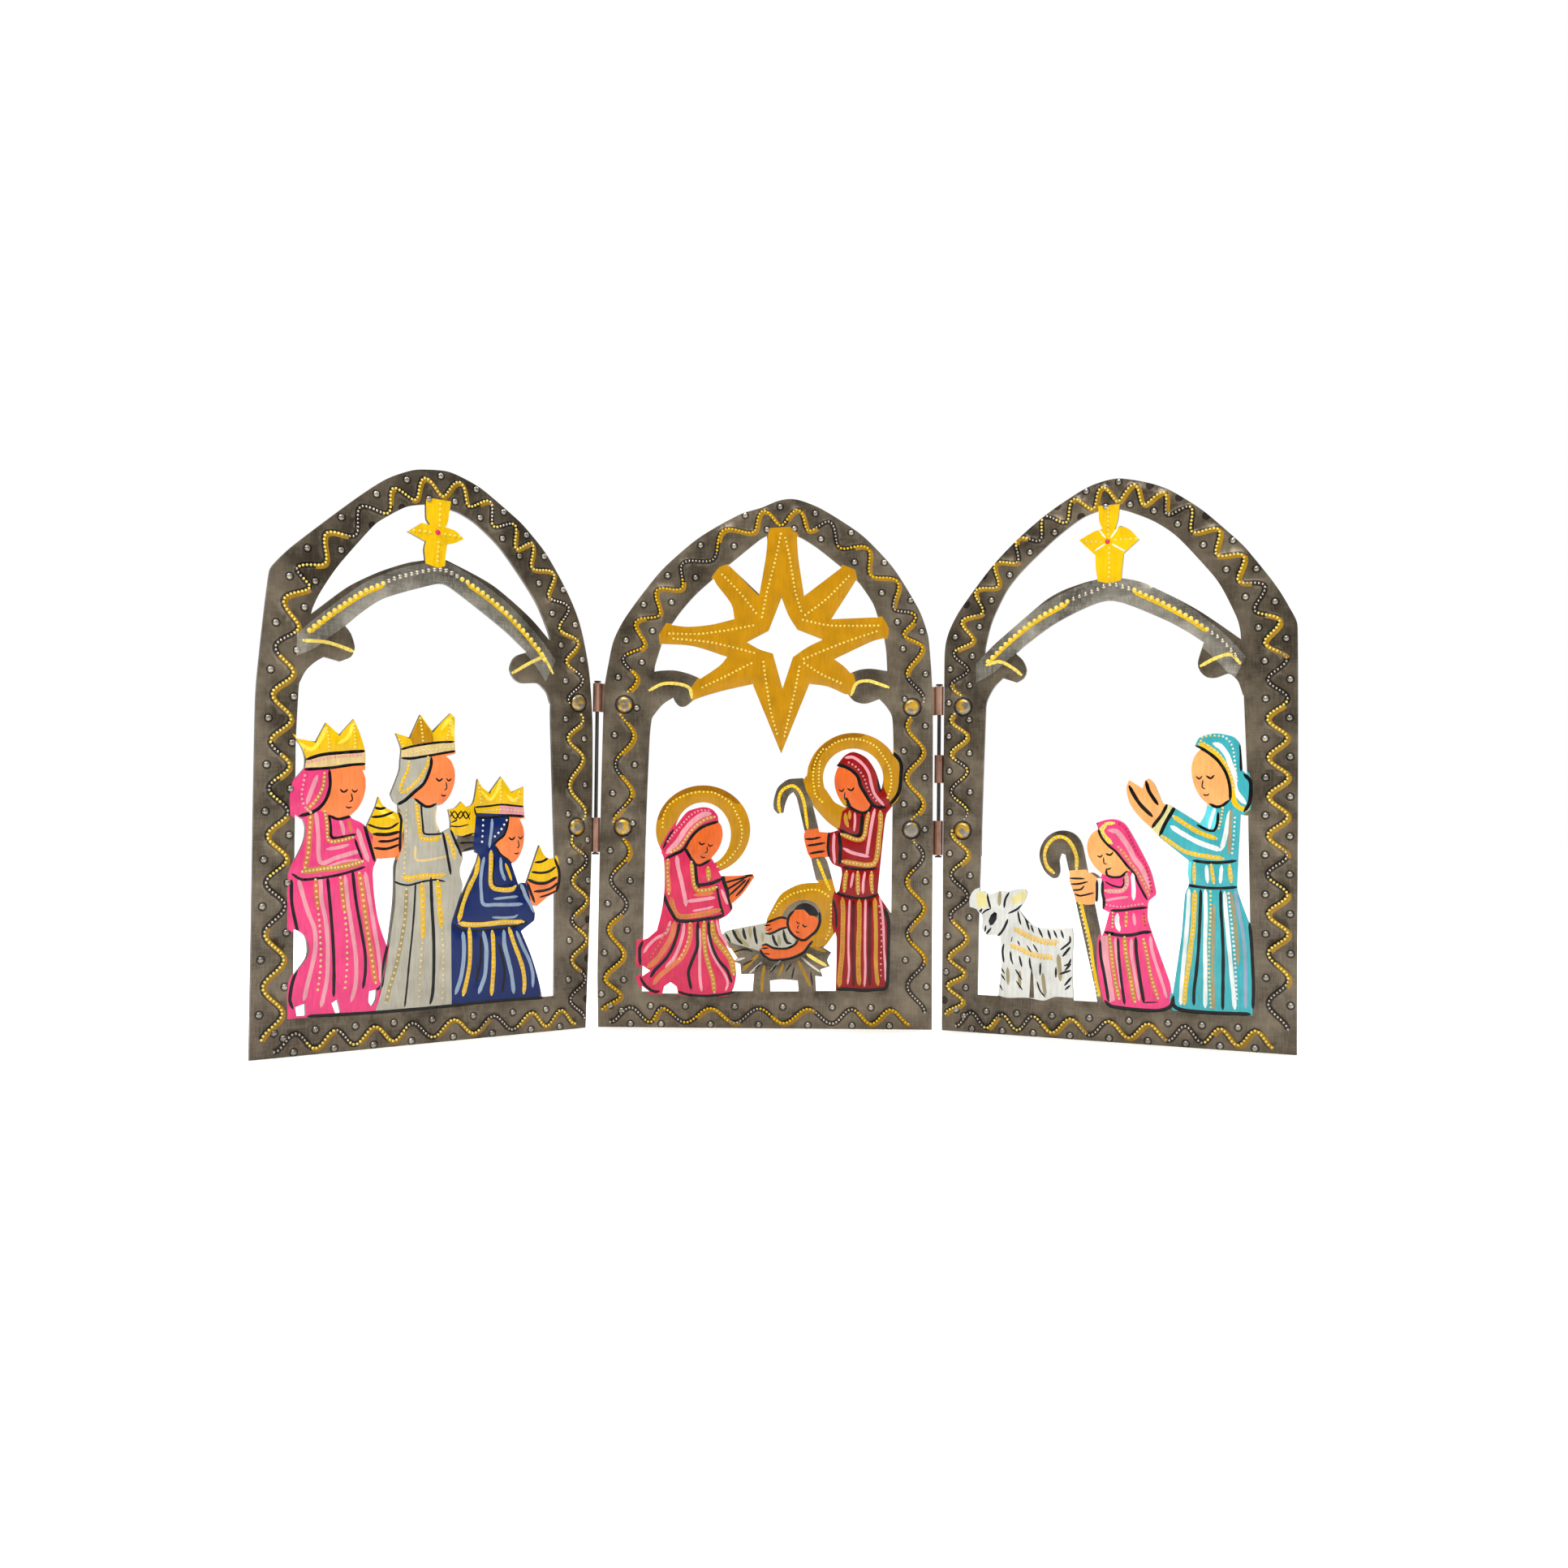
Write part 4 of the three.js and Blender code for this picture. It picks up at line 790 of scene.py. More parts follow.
@dataclass
class Drawing:
    """Everything drawn on one panel, in the order it is painted.

    Each line of `text` is work with one brush: `F` filled patches, `S` strokes with their width,
    `D` rows of beads with their radius and pitch, and `B` strokes with beads on them, given as
    width, bead finish, radius and pitch. The letter after it is the finish, and the rest are u
    and v. A slash starts the next shape of the same work, and a line that starts with a space
    goes on from the line above it.
    """

    text: str
    patches: list[tuple[Paint, list[Point]]] = field(default_factory=list)
    strokes: list[tuple[Paint, float, list[Point]]] = field(default_factory=list)
    beads: list[Bead] = field(default_factory=list)
    stroke_step: float = 1.1
    row_step: float = 0.8
    face_step: float = 0.6
    bead_vary: float = 0.16
    bead_rise: float = 0.85

    def read(self) -> None:
        """Reads the text into patches, strokes and beads."""
        for line in self.text.replace("\n ", " ").strip().splitlines():
            letter, finish, *words = line.split()
            mark, paint = MARKS[letter], BY_LETTER[finish]
            settings = words[: mark.value[1]]
            for run in " ".join(words[mark.value[1] :]).split("/"):
                points = points_of(run)
                if mark is Mark.PATCH:
                    self.patches.append((paint, points))
                elif mark is Mark.BEADS:
                    self.row(paint, *map(float, settings), points)
                else:
                    self.stroke(paint, float(settings[0]), points)
                if mark is Mark.BEADED_STROKE:
                    self.row(BY_LETTER[settings[1]], *map(float, settings[2:]), points)

    def stroke(self, paint: Paint, width: float, points: Sequence[Point]) -> None:
        """Adds one brush stroke."""
        self.strokes.append((paint, width, smooth_line(points, self.stroke_step)))

    def row(self, paint: Paint, radius: float, pitch: float, points: Sequence[Point]) -> None:
        """Adds a row of beads, each a little different in size.

        Args:
            paint: their finish.
            radius: their mean radius.
            pitch: how far apart they are.
            points: what the row passes through.
        """
        for here in every(smooth_line(points, self.row_step), pitch):
            chance = noise.noise(Vector((here[0] * 1.7, here[1] * 1.7, 3.0)))
            vary = 1 + self.bead_vary * chance
            self.beads.append(Bead(here, radius * vary, paint, radius * self.bead_rise))

    def face(self, head: Head) -> None:
        """Draws calm closed eyes, a nose and a mouth, by the usual proportions of a head.

        Args:
            head: where the head is and how it leans.
        """
        features = [
            ([(0.3, 0.02), (0.44, -0.07), (0.6, 0.02)], 0.62),
            ([(-0.32, 0.02), (-0.13, -0.08), (0.08, 0.02)], 0.66),
            ([(0.27, -0.12), (0.33, -0.36), (0.19, -0.43)], 0.5),
            ([(0.0, -0.62), (0.15, -0.66), (0.3, -0.62)], 0.56),
        ]
        turn = math.radians(head.tilt)
        for points, width in features:
            placed = []
            for x, y in points:
                across, up = x * head.size[0] * head.looks, y * head.size[1]
                u = head.at[0] + across * math.cos(turn) - up * math.sin(turn)
                v = head.at[1] + across * math.sin(turn) + up * math.cos(turn)
                placed.append((u, v))
            self.strokes.append((Paint.BLACK, width, smooth_line(placed, self.face_step)))


@dataclass
class PaintedPanel:
    """One panel: a cut sheet with raised work and enamel, and the beads that stand on it.

    The relief and the beads keep under a slope that rises from each hinge, because the folded
    wing comes down there. A plug is a slit of the solid that the painted sheet closes. The cord
    is the raised wave, `bed` the paint beside it and `bump` the punched mark in each hollow. The
    dark rings round bumps and rivets and the dark band along the cord are painted shade.
    """

    name: str
    node: str
    body: str
    stance: Stance
    drawing: Drawing
    wave: Wave
    wave_paint: Paint
    heads: Sequence[Head]
    rivets: Sequence[Point]
    hinges: Sequence[float]
    plugs: Sequence[Point] = ()
    bed_paint: Paint = Paint.BRASSY
    outline_step: float = 1.3
    patch_step: float = 1.6
    cord_step: float = 1.1
    edge_step: float = 0.8
    plug_reach: float = 2.5
    least_hole: float = 0.5
    fold_slope: float = 0.287
    fold_gap: float = 0.4
    bead_room: float = 0.32
    puff: float = 0.32
    puff_reach: float = 1.9
    crease_width: float = 0.7
    dent: float = 0.12
    dent_wide: float = 7.5
    dent_fine: float = 2.6
    fine_share: float = 0.35
    dent_fade: float = 1.5
    rivet_calm: Point = (2.7, 2.0)
    cord_rise: float = 0.36
    cord_half: float = 0.95
    # Width of the band of painted shade along the cord.
    cord_shadow: float = 2.0
    cord_bed: float = 1.5
    bed_shift: Point = (0.62, -0.5)
    bare_bead: float = 0.16
    bare_bed: float = 0.1
    bead_pitch: float = 1.3
    bead_margin: Point = (0.8, 0.1)
    bead_size: Point = (0.48, 0.46)
    bump_size: Point = (1.15, 0.55)
    # Radii of the rings of painted shade round each bump and rivet.
    bump_shade_radius: float = 1.5
    rivet_scorch: float = 3.75
    rivet_room: float = 3.9
    back_share: float = 0.8
    crease: float = 42.0
    grid: float = 2.3
    sway: float = 0.5
    edge_tree: kdtree.KDTree = field(init=False)
    cord_tree: kdtree.KDTree = field(init=False)
    rim_tree: kdtree.KDTree = field(init=False)
    shade_rings: list[tuple[Point, float]] = field(init=False)

    def outlines(self) -> list[list[Point]]:
        """Takes the outlines of the sheet from the flat back of its CAD solid.

        Returns:
            Smoothed rings, the outer one first.
        """
        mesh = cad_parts[self.node].data
        spots: dict[tuple[int, int], Point] = {}
        ahead: dict[tuple[int, int], list[tuple[int, int]]] = {}
        edges: Counter = Counter()
        flat = [self.stance.flatten(*vertex.co) for vertex in mesh.vertices]
        for face in mesh.polygons:
            corners = [flat[i] for i in face.vertices]
            if min(corner[1] for corner in corners) < SHEET_HALF - FLAT_SLACK:
                continue
            keys = []
            for u, _, v in corners:
                key = (round(u * KEYS_PER_MM), round(v * KEYS_PER_MM))
                spots.setdefault(key, (u, v))
                keys.append(key)
            edges.update(zip(keys, [*keys[1:], keys[0]]))
        for (a, b), count in edges.items():
            if count > edges.get((b, a), 0) and a != b:
                ahead.setdefault(a, []).append(b)
        rings = []
        while ahead:
            start = next(iter(ahead))
            ring, here = [], start
            while here in ahead:
                ring.append(spots[here])
                following = ahead[here].pop()
                if not ahead[here]:
                    del ahead[here]
                here = following
                if here == start:
                    break
            middle = (sum(p[0] for p in ring) / len(ring), sum(p[1] for p in ring) / len(ring))
            plugged = any(math.dist(middle, plug) < self.plug_reach for plug in self.plugs)
            if len(ring) > 2 and abs(area(ring)) > self.least_hole and not plugged:
                rings.append(ring)
        rings.sort(key=lambda ring: -abs(area(ring)))
        return [smooth_ring(ring, self.outline_step) for ring in rings]

    @staticmethod
    def tree(points: Sequence[Point]) -> kdtree.KDTree:
        """Makes a search tree.

        Args:
            points: flat points.

        Returns:
            The tree, ready to search.
        """
        found = kdtree.KDTree(max(1, len(points)))
        for i, (u, v) in enumerate(points):
            found.insert((u, v, 0.0), i)
        found.balance()
        return found

    def build(self) -> list[bpy.types.Object]:
        """Builds the sheet and its beads.

        Returns:
            The two dressed objects.
        """
        self.drawing.read()
        for head in self.heads:
            self.drawing.face(head)
        waves, bumps = self.wave.lines()
        bumps = [p for p in bumps if self.clears(p)]
        rings = self.outlines()
        cord = [p for line in waves for p in line if self.clears(p)]
        edge_points = [p for ring in rings for p in every([*ring, ring[0]], self.edge_step)]
        lines = [
            p
            for paint, width, line in self.drawing.strokes
            if paint is Paint.BLACK and width >= self.crease_width
            for p in line
        ]
        self.edge_tree = self.tree(edge_points + lines)
        self.cord_tree = self.tree(cord)
        self.rim_tree = self.tree(edge_points)
        # Rings of painted shade round each bump and rivet.
        self.shade_rings = [(p, self.bump_shade_radius) for p in bumps]
        self.shade_rings += [(p, self.rivet_scorch) for p in self.rivets]
        sheet = self.cut_sheet(rings, waves)
        beads = self.drawing.beads
        # Beads the brush missed are bare steel lightened as a painted highlight.
        for line in waves:
            for p in every(line, self.bead_pitch):
                if self.clears(p):
                    paint = Paint.SILVER if self.bare(p, self.bare_bead) else self.wave_paint
                    beads.append(Bead(p, self.bead_size[0], paint, self.bead_size[1]))
        # Punched bumps in the lighter steel that paints in their sheen.
        beads += [Bead(p, self.bump_size[0], Paint.BRIGHT, self.bump_size[1]) for p in bumps]
        beads = [
            replace(bead, rise=min(bead.rise, self.room(bead.at[0]) - self.surface(*bead.at)))
            for bead in beads
            if self.holds(bead, rings)
        ]
        drops = BeadWork(f"{self.name}_beads", self.stance, beads, self.surface).build()
        for piece in (sheet, drops):
            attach(piece, self.body)
        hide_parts(self.node)
        log.info("%s: %d triangles", sheet.name, len(sheet.data.polygons))
        return [sheet, drops]

    def clears(self, p: Point) -> bool:
        """Tells whether a point is clear of the rivet heads."""
        return min(math.dist(p, rivet) for rivet in self.rivets) > self.rivet_room

    @staticmethod
    def bare(p: Point, least: float) -> bool:
        """Tells whether the brush missed the cord here and left steel."""
        return noise.noise(Vector((p[0] * 0.06, p[1] * 0.06, 9.0))) > least

    def holds(self, bead: Bead, rings: Sequence[Sequence[Point]]) -> bool:
        """Tells whether a bead stands on the sheet, clear of its cut edges.

        Args:
            bead: the bead.
            rings: outlines of the sheet.

        Returns:
            Whether it does.
        """
        u, v = bead.at
        share, extra = self.bead_margin
        if self.rim_tree.find((u, v, 0.0))[2] < bead.radius * share + extra:
            return False
        crossed = 0
        for ring in rings:
            for a, b in zip(ring, [*ring[1:], ring[0]]):
                if (a[1] > v) != (b[1] > v):
                    crossed += u < a[0] + (b[0] - a[0]) * (v - a[1]) / (b[1] - a[1])
        return crossed % 2 == 1

    def room(self, u: float) -> float:
        """Returns how far the front may stand out here and clear the wing when it folds over."""
        return self.fold_slope * min(abs(u - hinge) for hinge in self.hinges) - self.fold_gap

    def surface(self, u: float, v: float) -> float:
        """Measures the relief of the front: the puffed shapes, hammer dents and raised cord.

        Args:
            u: across the panel, in mm.
            v: up from the foot, in mm.

        Returns:
            How far the front stands out of the flat sheet, in mm.
        """
        near = min(math.dist((u, v), rivet) for rivet in self.rivets)
        calm = max(0.0, min(1.0, (near - self.rivet_calm[0]) / self.rivet_calm[1]))
        reach = self.edge_tree.find((u, v, 0.0))[2]
        swell = self.puff * (1 - math.exp(-((reach / self.puff_reach) ** 2)))
        wide, fine = self.dent_wide, self.dent_fine
        hammer = noise.noise(Vector((u / wide, v / wide, 1.0))) * self.dent
        hammer += noise.noise(Vector((u / fine, v / fine, 5.0))) * self.dent * self.fine_share
        lift = (swell + hammer * min(1.0, reach / self.dent_fade)) * calm
        cord = self.cord_tree.find((u, v, 0.0))[2]
        if cord < self.cord_half:
            lift += self.cord_rise * (1 - (cord / self.cord_half) ** 2) * calm
        return max(-0.05, min(lift, self.room(u) - self.bead_room))

    def cut_sheet(
        self, rings: Sequence[Sequence[Point]], waves: Sequence[Sequence[Point]]
    ) -> bpy.types.Object:
        """Triangulates the painted front, mirrors it behind and closes the cut edges.

        Args:
            rings: outlines of the sheet, the outer one first.
            waves: the lines of the raised cord.

        Returns:
            The closed sheet, painted face by face.
        """
        points: list[Vector] = []
        faces: list[list[int]] = []
        layers: list[Paint] = []

        def lay(ring: Sequence[Point], paint: Paint) -> None:
            """Lays a patch over what is there.

            Args:
                ring: its outline.
                paint: its finish.
            """
            turned = list(ring) if area(ring) > 0 else list(ring)[::-1]
            faces.append(list(range(len(points), len(points) + len(turned))))
            points.extend(Vector(p) for p in turned)
            layers.append(paint)

        for ring in rings:
            lay(ring, Paint.STEEL)
        # Paints a ring of shade round each bump and rivet.
        for (u, v), radius in self.shade_rings:
            turns = [math.radians(30 * k) for k in range(12)]
            lay([(u + radius * math.cos(t), v + radius * math.sin(t)) for t in turns], Paint.SOOT)
        # A band of painted shade along the cord, then the bed paint beside it.
        for line in waves:
            parts = [line[i : i + 9] for i in range(0, len(line) - 2, 8)]
            parts = [part for part in parts if all(self.clears(p) for p in part)]
            parts = [part[::2] if len(part) % 2 else part for part in parts]
            for part in parts:
                lay(ribbon(part, self.cord_shadow, False), Paint.SOOT)
            for part in parts:
                if not self.bare(part[0], self.bare_bed):
                    bed = [(p[0] + self.bed_shift[0], p[1] + self.bed_shift[1]) for p in part]
                    lay(ribbon(bed, self.cord_bed, False), self.bed_paint)
        for paint, ring in self.drawing.patches:
            lay(smooth_ring(ring, self.patch_step), paint)
        for paint, width, line in self.drawing.strokes:
            lay(ribbon(line, width), paint)
        for line in waves:
            points.extend(Vector(p) for p in every(line, self.cord_step))
        lo_u, hi_u = min(p[0] for p in rings[0]), max(p[0] for p in rings[0])
        top = max(p[1] for p in rings[0])
        for row in range(int(top / self.grid) + 1):
            for column in range(int((hi_u - lo_u) / self.grid) + 1):
                u = lo_u + (column + (row % 2) / 2) * self.grid
                v = row * self.grid
                sway = noise.noise(Vector((u * 3.1, v * 3.1, 7.0))) * self.sway
                points.append(Vector((u + sway, v + sway * 0.7)))
        spots, _, triangles, _, _, owners = delaunay_2d_cdt(
            points, [], faces, ALL_TRIANGLES, WELD, True
        )
        kept, slots = [], []
        holes = set(range(1, len(rings)))
        for triangle, owner in zip(triangles, owners):
            if 0 in owner and not holes.intersection(owner):
                kept.append(triangle)
                slots.append(layers[max(owner)])
        return self.closed(spots, kept, slots)

    def closed(
        self, spots: Sequence[Vector], kept: Sequence[Sequence[int]], slots: Sequence[Paint]
    ) -> bpy.types.Object:
        """Gives the flat painting its front relief, its back and its edges.

        Args:
            spots: flat points.
            kept: triangles of the front, anticlockwise seen from in front.
            slots: the finish of each triangle.

        Returns:
            The sheet's object.
        """
        used = sorted({i for triangle in kept for i in triangle})
        index = {old: new for new, old in enumerate(used)}
        edges: set[tuple[int, int]] = set()
        for triangle in kept:
            edges.update(zip(triangle, [*triangle[1:], triangle[0]]))
        rim = [(a, b) for a, b in edges if (b, a) not in edges]
        rim_points = {i for edge in rim for i in edge}
        front, back = [], []
        for old in used:
            u, v = spots[old]
            lift = 0.0 if old in rim_points else self.surface(u, v)
            front.append(self.stance.place(u, -SHEET_HALF - lift, v))
            back.append(self.stance.place(u, SHEET_HALF - max(0.0, lift) * self.back_share, v))
        count = len(used)
        faces = [[index[i] for i in triangle] for triangle in kept]
        paints = list(slots)
        faces += [[index[i] + count for i in triangle[::-1]] for triangle in kept]
        paints += [Paint.BACK_STEEL] * len(kept)
        for a, b in rim:
            faces.append([index[b], index[a], index[a] + count, index[b] + count])
            paints.append(Paint.CUT_EDGE)
        mesh = bpy.data.meshes.new(self.name)
        mesh.from_pydata(front + back, [], faces)
        order = sorted(set(paints), key=lambda paint: paint.name)
        for paint in order:
            mesh.materials.append(RACK.paint(paint))
        number = {paint: i for i, paint in enumerate(order)}
        mesh.polygons.foreach_set("material_index", [number[paint] for paint in paints])
        mesh.polygons.foreach_set("use_smooth", [True] * len(faces))
        mesh.set_sharp_from_angle(angle=math.radians(self.crease))
        return linked_object(self.name, mesh)


class NodeGroup:
    """A Geometry Nodes tree under construction, with named inputs."""

    def __init__(self, name: str, inputs: Sequence[tuple[str, str, object]]) -> None:
        """Starts a tree.

        Args:
            name: the tree's name.
            inputs: name, socket type and first value of each input.
        """
        self.tree = bpy.data.node_groups.new(name, "GeometryNodeTree")
        face = self.tree.interface
        face.new_socket("Geometry", in_out="INPUT", socket_type="NodeSocketGeometry")
        face.new_socket("Geometry", in_out="OUTPUT", socket_type="NodeSocketGeometry")
        for label, kind, value in inputs:
            socket = face.new_socket(label, in_out="INPUT", socket_type=kind)
            if value is not None:
                socket.default_value = value
        self.start = self.tree.nodes.new("NodeGroupInput")

    def given(self, name: str) -> bpy.types.NodeSocket:
        """Returns the socket of a named input."""
        return self.start.outputs[name]

    def add(self, kind: str, links: dict | None = None, **settings: object) -> bpy.types.Node:
        """Adds a node to the tree."""
        return add_node(self.tree, kind, links, **settings)

    def finish(self, geometry: bpy.types.Node) -> None:
        """Ends the tree with a geometry."""
        add_node(self.tree, "NodeGroupOutput", {"Geometry": geometry})

    def grow(self, name: str, seed: bpy.types.Mesh, values: dict[str, object]) -> bpy.types.Object:
        """Runs the tree on a mesh and keeps the result as a plain mesh.

        Args:
            name: name of the new object.
            seed: the mesh the tree starts from.
            values: a value for each named input.

        Returns:
            The new object, without a modifier.
        """
        carrier = linked_object(f"{name}_seed", seed)
        modifier = carrier.modifiers.new("grow", "NODES")
        modifier.node_group = self.tree
        for item in self.tree.interface.items_tree:
            if item.in_out == "INPUT" and item.name in values:
                modifier[item.identifier] = values[item.name]
        carrier.update_tag()
        graph = bpy.context.evaluated_depsgraph_get()
        mesh = bpy.data.meshes.new_from_object(carrier.evaluated_get(graph))
        mesh.name = name
        bpy.data.objects.remove(carrier)
        return linked_object(name, mesh)


@dataclass
class BeadWork:
    """The drops of enamel and punched bumps of one panel, grown by one tree."""

    name: str
    stance: Stance
    beads: Sequence[Bead]
    surface: Callable[[float, float], float]
    sunk: float = 0.12

    def build(self) -> bpy.types.Object:
        """Grows every bead at its place on the sheet.

        Returns:
            One object with all beads, each in its own finish.
        """
        paints = sorted({bead.paint for bead in self.beads}, key=lambda paint: paint.name)
        seed = bpy.data.meshes.new(f"{self.name}_places")
        places, sizes, kinds = [], [], []
        for bead in self.beads:
            u, v = bead.at
            depth = -SHEET_HALF - self.surface(u, v) + self.sunk
            places.append(self.stance.place(u, depth, v))
            sizes += [bead.radius * MM, (bead.rise + self.sunk) * MM, bead.radius * MM]
            kinds.append(paints.index(bead.paint))
        seed.from_pydata(places, [], [])
        seed.attributes.new("size", "FLOAT_VECTOR", "POINT").data.foreach_set("vector", sizes)
        seed.attributes.new("paint", "INT", "POINT").data.foreach_set("value", kinds)
        return self.group(paints).grow(
            self.name, seed, {"Turn": (0.0, 0.0, math.radians(self.stance.turn))}
        )

    def group(self, paints: Sequence[Paint]) -> NodeGroup:
        """Builds the tree: a domed bead on every point, with its own finish.

        Args:
            paints: the finishes, in the order that the points number them.

        Returns:
            The finished tree.
        """
        group = NodeGroup(
            f"{self.name}_tree",
            [
                ("Turn", "NodeSocketRotation", None),
                ("Sides", "NodeSocketInt", 9),
                ("Rings", "NodeSocketInt", 5),
            ],
        )
        ball = group.add(
            "GeometryNodeMeshUVSphere",
            {"Segments": group.given("Sides"), "Rings": group.given("Rings"), "Radius": 1.0},
        )
        up = group.add(
            "GeometryNodeTransform", {"Geometry": ball, "Rotation": (math.pi / 2, 0.0, 0.0)}
        )
        size = group.add(
            "GeometryNodeInputNamedAttribute", {"Name": "size"}, data_type="FLOAT_VECTOR"
        )
        kind = group.add("GeometryNodeInputNamedAttribute", {"Name": "paint"}, data_type="INT")
        shapes = []
        for i, paint in enumerate(paints):
            chosen = group.add(
                "FunctionNodeCompare", {2: kind, 3: i}, data_type="INT", operation="EQUAL"
            )
            placed = group.add(
                "GeometryNodeInstanceOnPoints",
                {
                    "Points": group.given("Geometry"),
                    "Selection": chosen,
                    "Instance": up,
                    "Rotation": group.given("Turn"),
                    "Scale": size,
                },
            )
            real = group.add("GeometryNodeRealizeInstances", {0: placed})
            dressing = {0: real, "Material": RACK.paint(paint)}
            shapes.append(group.add("GeometryNodeSetMaterial", dressing))
        joined = group.add("GeometryNodeJoinGeometry", {0: shapes})
        smooth = group.add("GeometryNodeSetShadeSmooth", {0: joined})
        group.finish(smooth)
        return group


@dataclass
class RivetSet:
    """The rivets that one body carries: domed heads in front, shanks and peened tails."""

    body: str
    nodes: Sequence[str]
    spots: Sequence[Point]
    stance: Stance
    head_radius: float = 3.05
    head_rise: float = 1.5
    shank_radius: float = 1.35
    tail_radius: float = 2.15
    tail_rise: float = 0.7
    face: float = 0.62
    grip: float = 2.4
    flat_top: float = 0.72
    crease: float = 50.0

    def build(self) -> bpy.types.Object:
        """Grows the rivets of the body and dresses them.

        Returns:
            One object with all of them.
        """
        seed = bpy.data.meshes.new(f"{self.body}_rivet_places")
        seed.from_pydata([self.stance.place(u, -self.face, v) for u, v in self.spots], [], [])
        values = {
            "Head Radius": self.head_radius * MM,
            "Head Rise": self.head_rise * MM,
            "Shank Radius": self.shank_radius * MM,
            "Tail Radius": self.tail_radius * MM,
            "Tail Rise": self.tail_rise * MM,
            "Grip": self.grip * MM,
            "Turn": (0.0, 0.0, math.radians(self.stance.turn)),
        }
        made = self.group().grow(f"{self.body}_rivets", seed, values)
        made.data.set_sharp_from_angle(angle=math.radians(self.crease))
        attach(made, self.body)
        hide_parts(*self.nodes)
        log.info("%s: %d rivets", made.name, len(self.spots))
        return made

    def group(self) -> NodeGroup:
        """Builds the tree: head, shank and tail about one line, on every point.

        Returns:
            The finished tree.
        """
        lengths = ("Head Radius", "Head Rise", "Shank Radius", "Tail Radius", "Tail Rise", "Grip")
        group = NodeGroup(
            f"{self.body}_rivet_tree",
            [(label, "NodeSocketFloat", 0.001) for label in lengths]
            + [("Turn", "NodeSocketRotation", None)],
        )

        def dome(radius: str, rise: str, back: bpy.types.NodeSocket | float) -> bpy.types.Node:
            """Adds a flat-topped dome about the rivet's line.

            Args:
                radius: name of the input with its radius.
                rise: name of the input with its height.
                back: how far behind the first point it stands.

            Returns:
                The dome's last node.
            """
            ball = group.add(
                "GeometryNodeMeshUVSphere", {"Segments": 26, "Rings": 14, "Radius": 1.0}
            )
            size = group.add(
                "ShaderNodeCombineXYZ",
                {0: group.given(radius), 1: group.given(rise), 2: group.given(radius)},
            )
            place = group.add("ShaderNodeCombineXYZ", {1: back})
            spread = group.add("GeometryNodeInputPosition")
            parts = group.add("ShaderNodeSeparateXYZ", {0: spread})
            blunt = group.add(
                "ShaderNodeClamp", {0: parts.outputs[1], 1: -self.flat_top, 2: self.flat_top}
            )
            cut = group.add(
                "ShaderNodeCombineXYZ", {0: parts.outputs[0], 1: blunt, 2: parts.outputs[2]}
            )
            ball = group.add("GeometryNodeSetPosition", {"Geometry": ball, "Position": cut})
            return group.add(
                "GeometryNodeTransform",
                {"Geometry": ball, "Scale": size, "Translation": place},
            )

        half = group.add("ShaderNodeMath", {0: group.given("Grip"), 1: 0.5}, operation="MULTIPLY")
        shank = group.add(
            "GeometryNodeMeshCylinder",
            {"Vertices": 20, "Radius": group.given("Shank Radius"), "Depth": group.given("Grip")},
        )
        middle = group.add("ShaderNodeCombineXYZ", {1: half})
        laid = group.add(
            "GeometryNodeTransform",
            {"Geometry": shank, "Translation": middle, "Rotation": (math.pi / 2, 0.0, 0.0)},
        )
        head = dome("Head Radius", "Head Rise", 0.0)
        tail = dome("Tail Radius", "Tail Rise", group.given("Grip"))
        parts = group.add("GeometryNodeJoinGeometry", {0: [head, tail, laid]})
        placed = group.add(
            "GeometryNodeInstanceOnPoints",
            {
                "Points": group.given("Geometry"),
                "Instance": parts,
                "Rotation": group.given("Turn"),
            },
        )
        real = group.add("GeometryNodeRealizeInstances", {0: placed})
        smooth = group.add("GeometryNodeSetShadeSmooth", {0: real})
        dressed = group.add(
            "GeometryNodeSetMaterial", {0: smooth, "Material": RACK.metal(RIVET_STEEL)}
        )
        group.finish(dressed)
        return group


@dataclass
class HingeMetal:
    """The hinge leaves and pins, whose solids are right and only get their finishes."""

    leaves: Sequence[str]
    pins: Sequence[str]

    def build(self) -> None:
        """Dresses the leaves and pins."""
        for names, finish in ((self.leaves, HINGE_STEEL), (self.pins, PIN_STEEL)):
            for name in names:
                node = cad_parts[name]
                node.data.materials.clear()
                node.data.materials.append(RACK.metal(finish))
                log.info("%s: dressed", name)


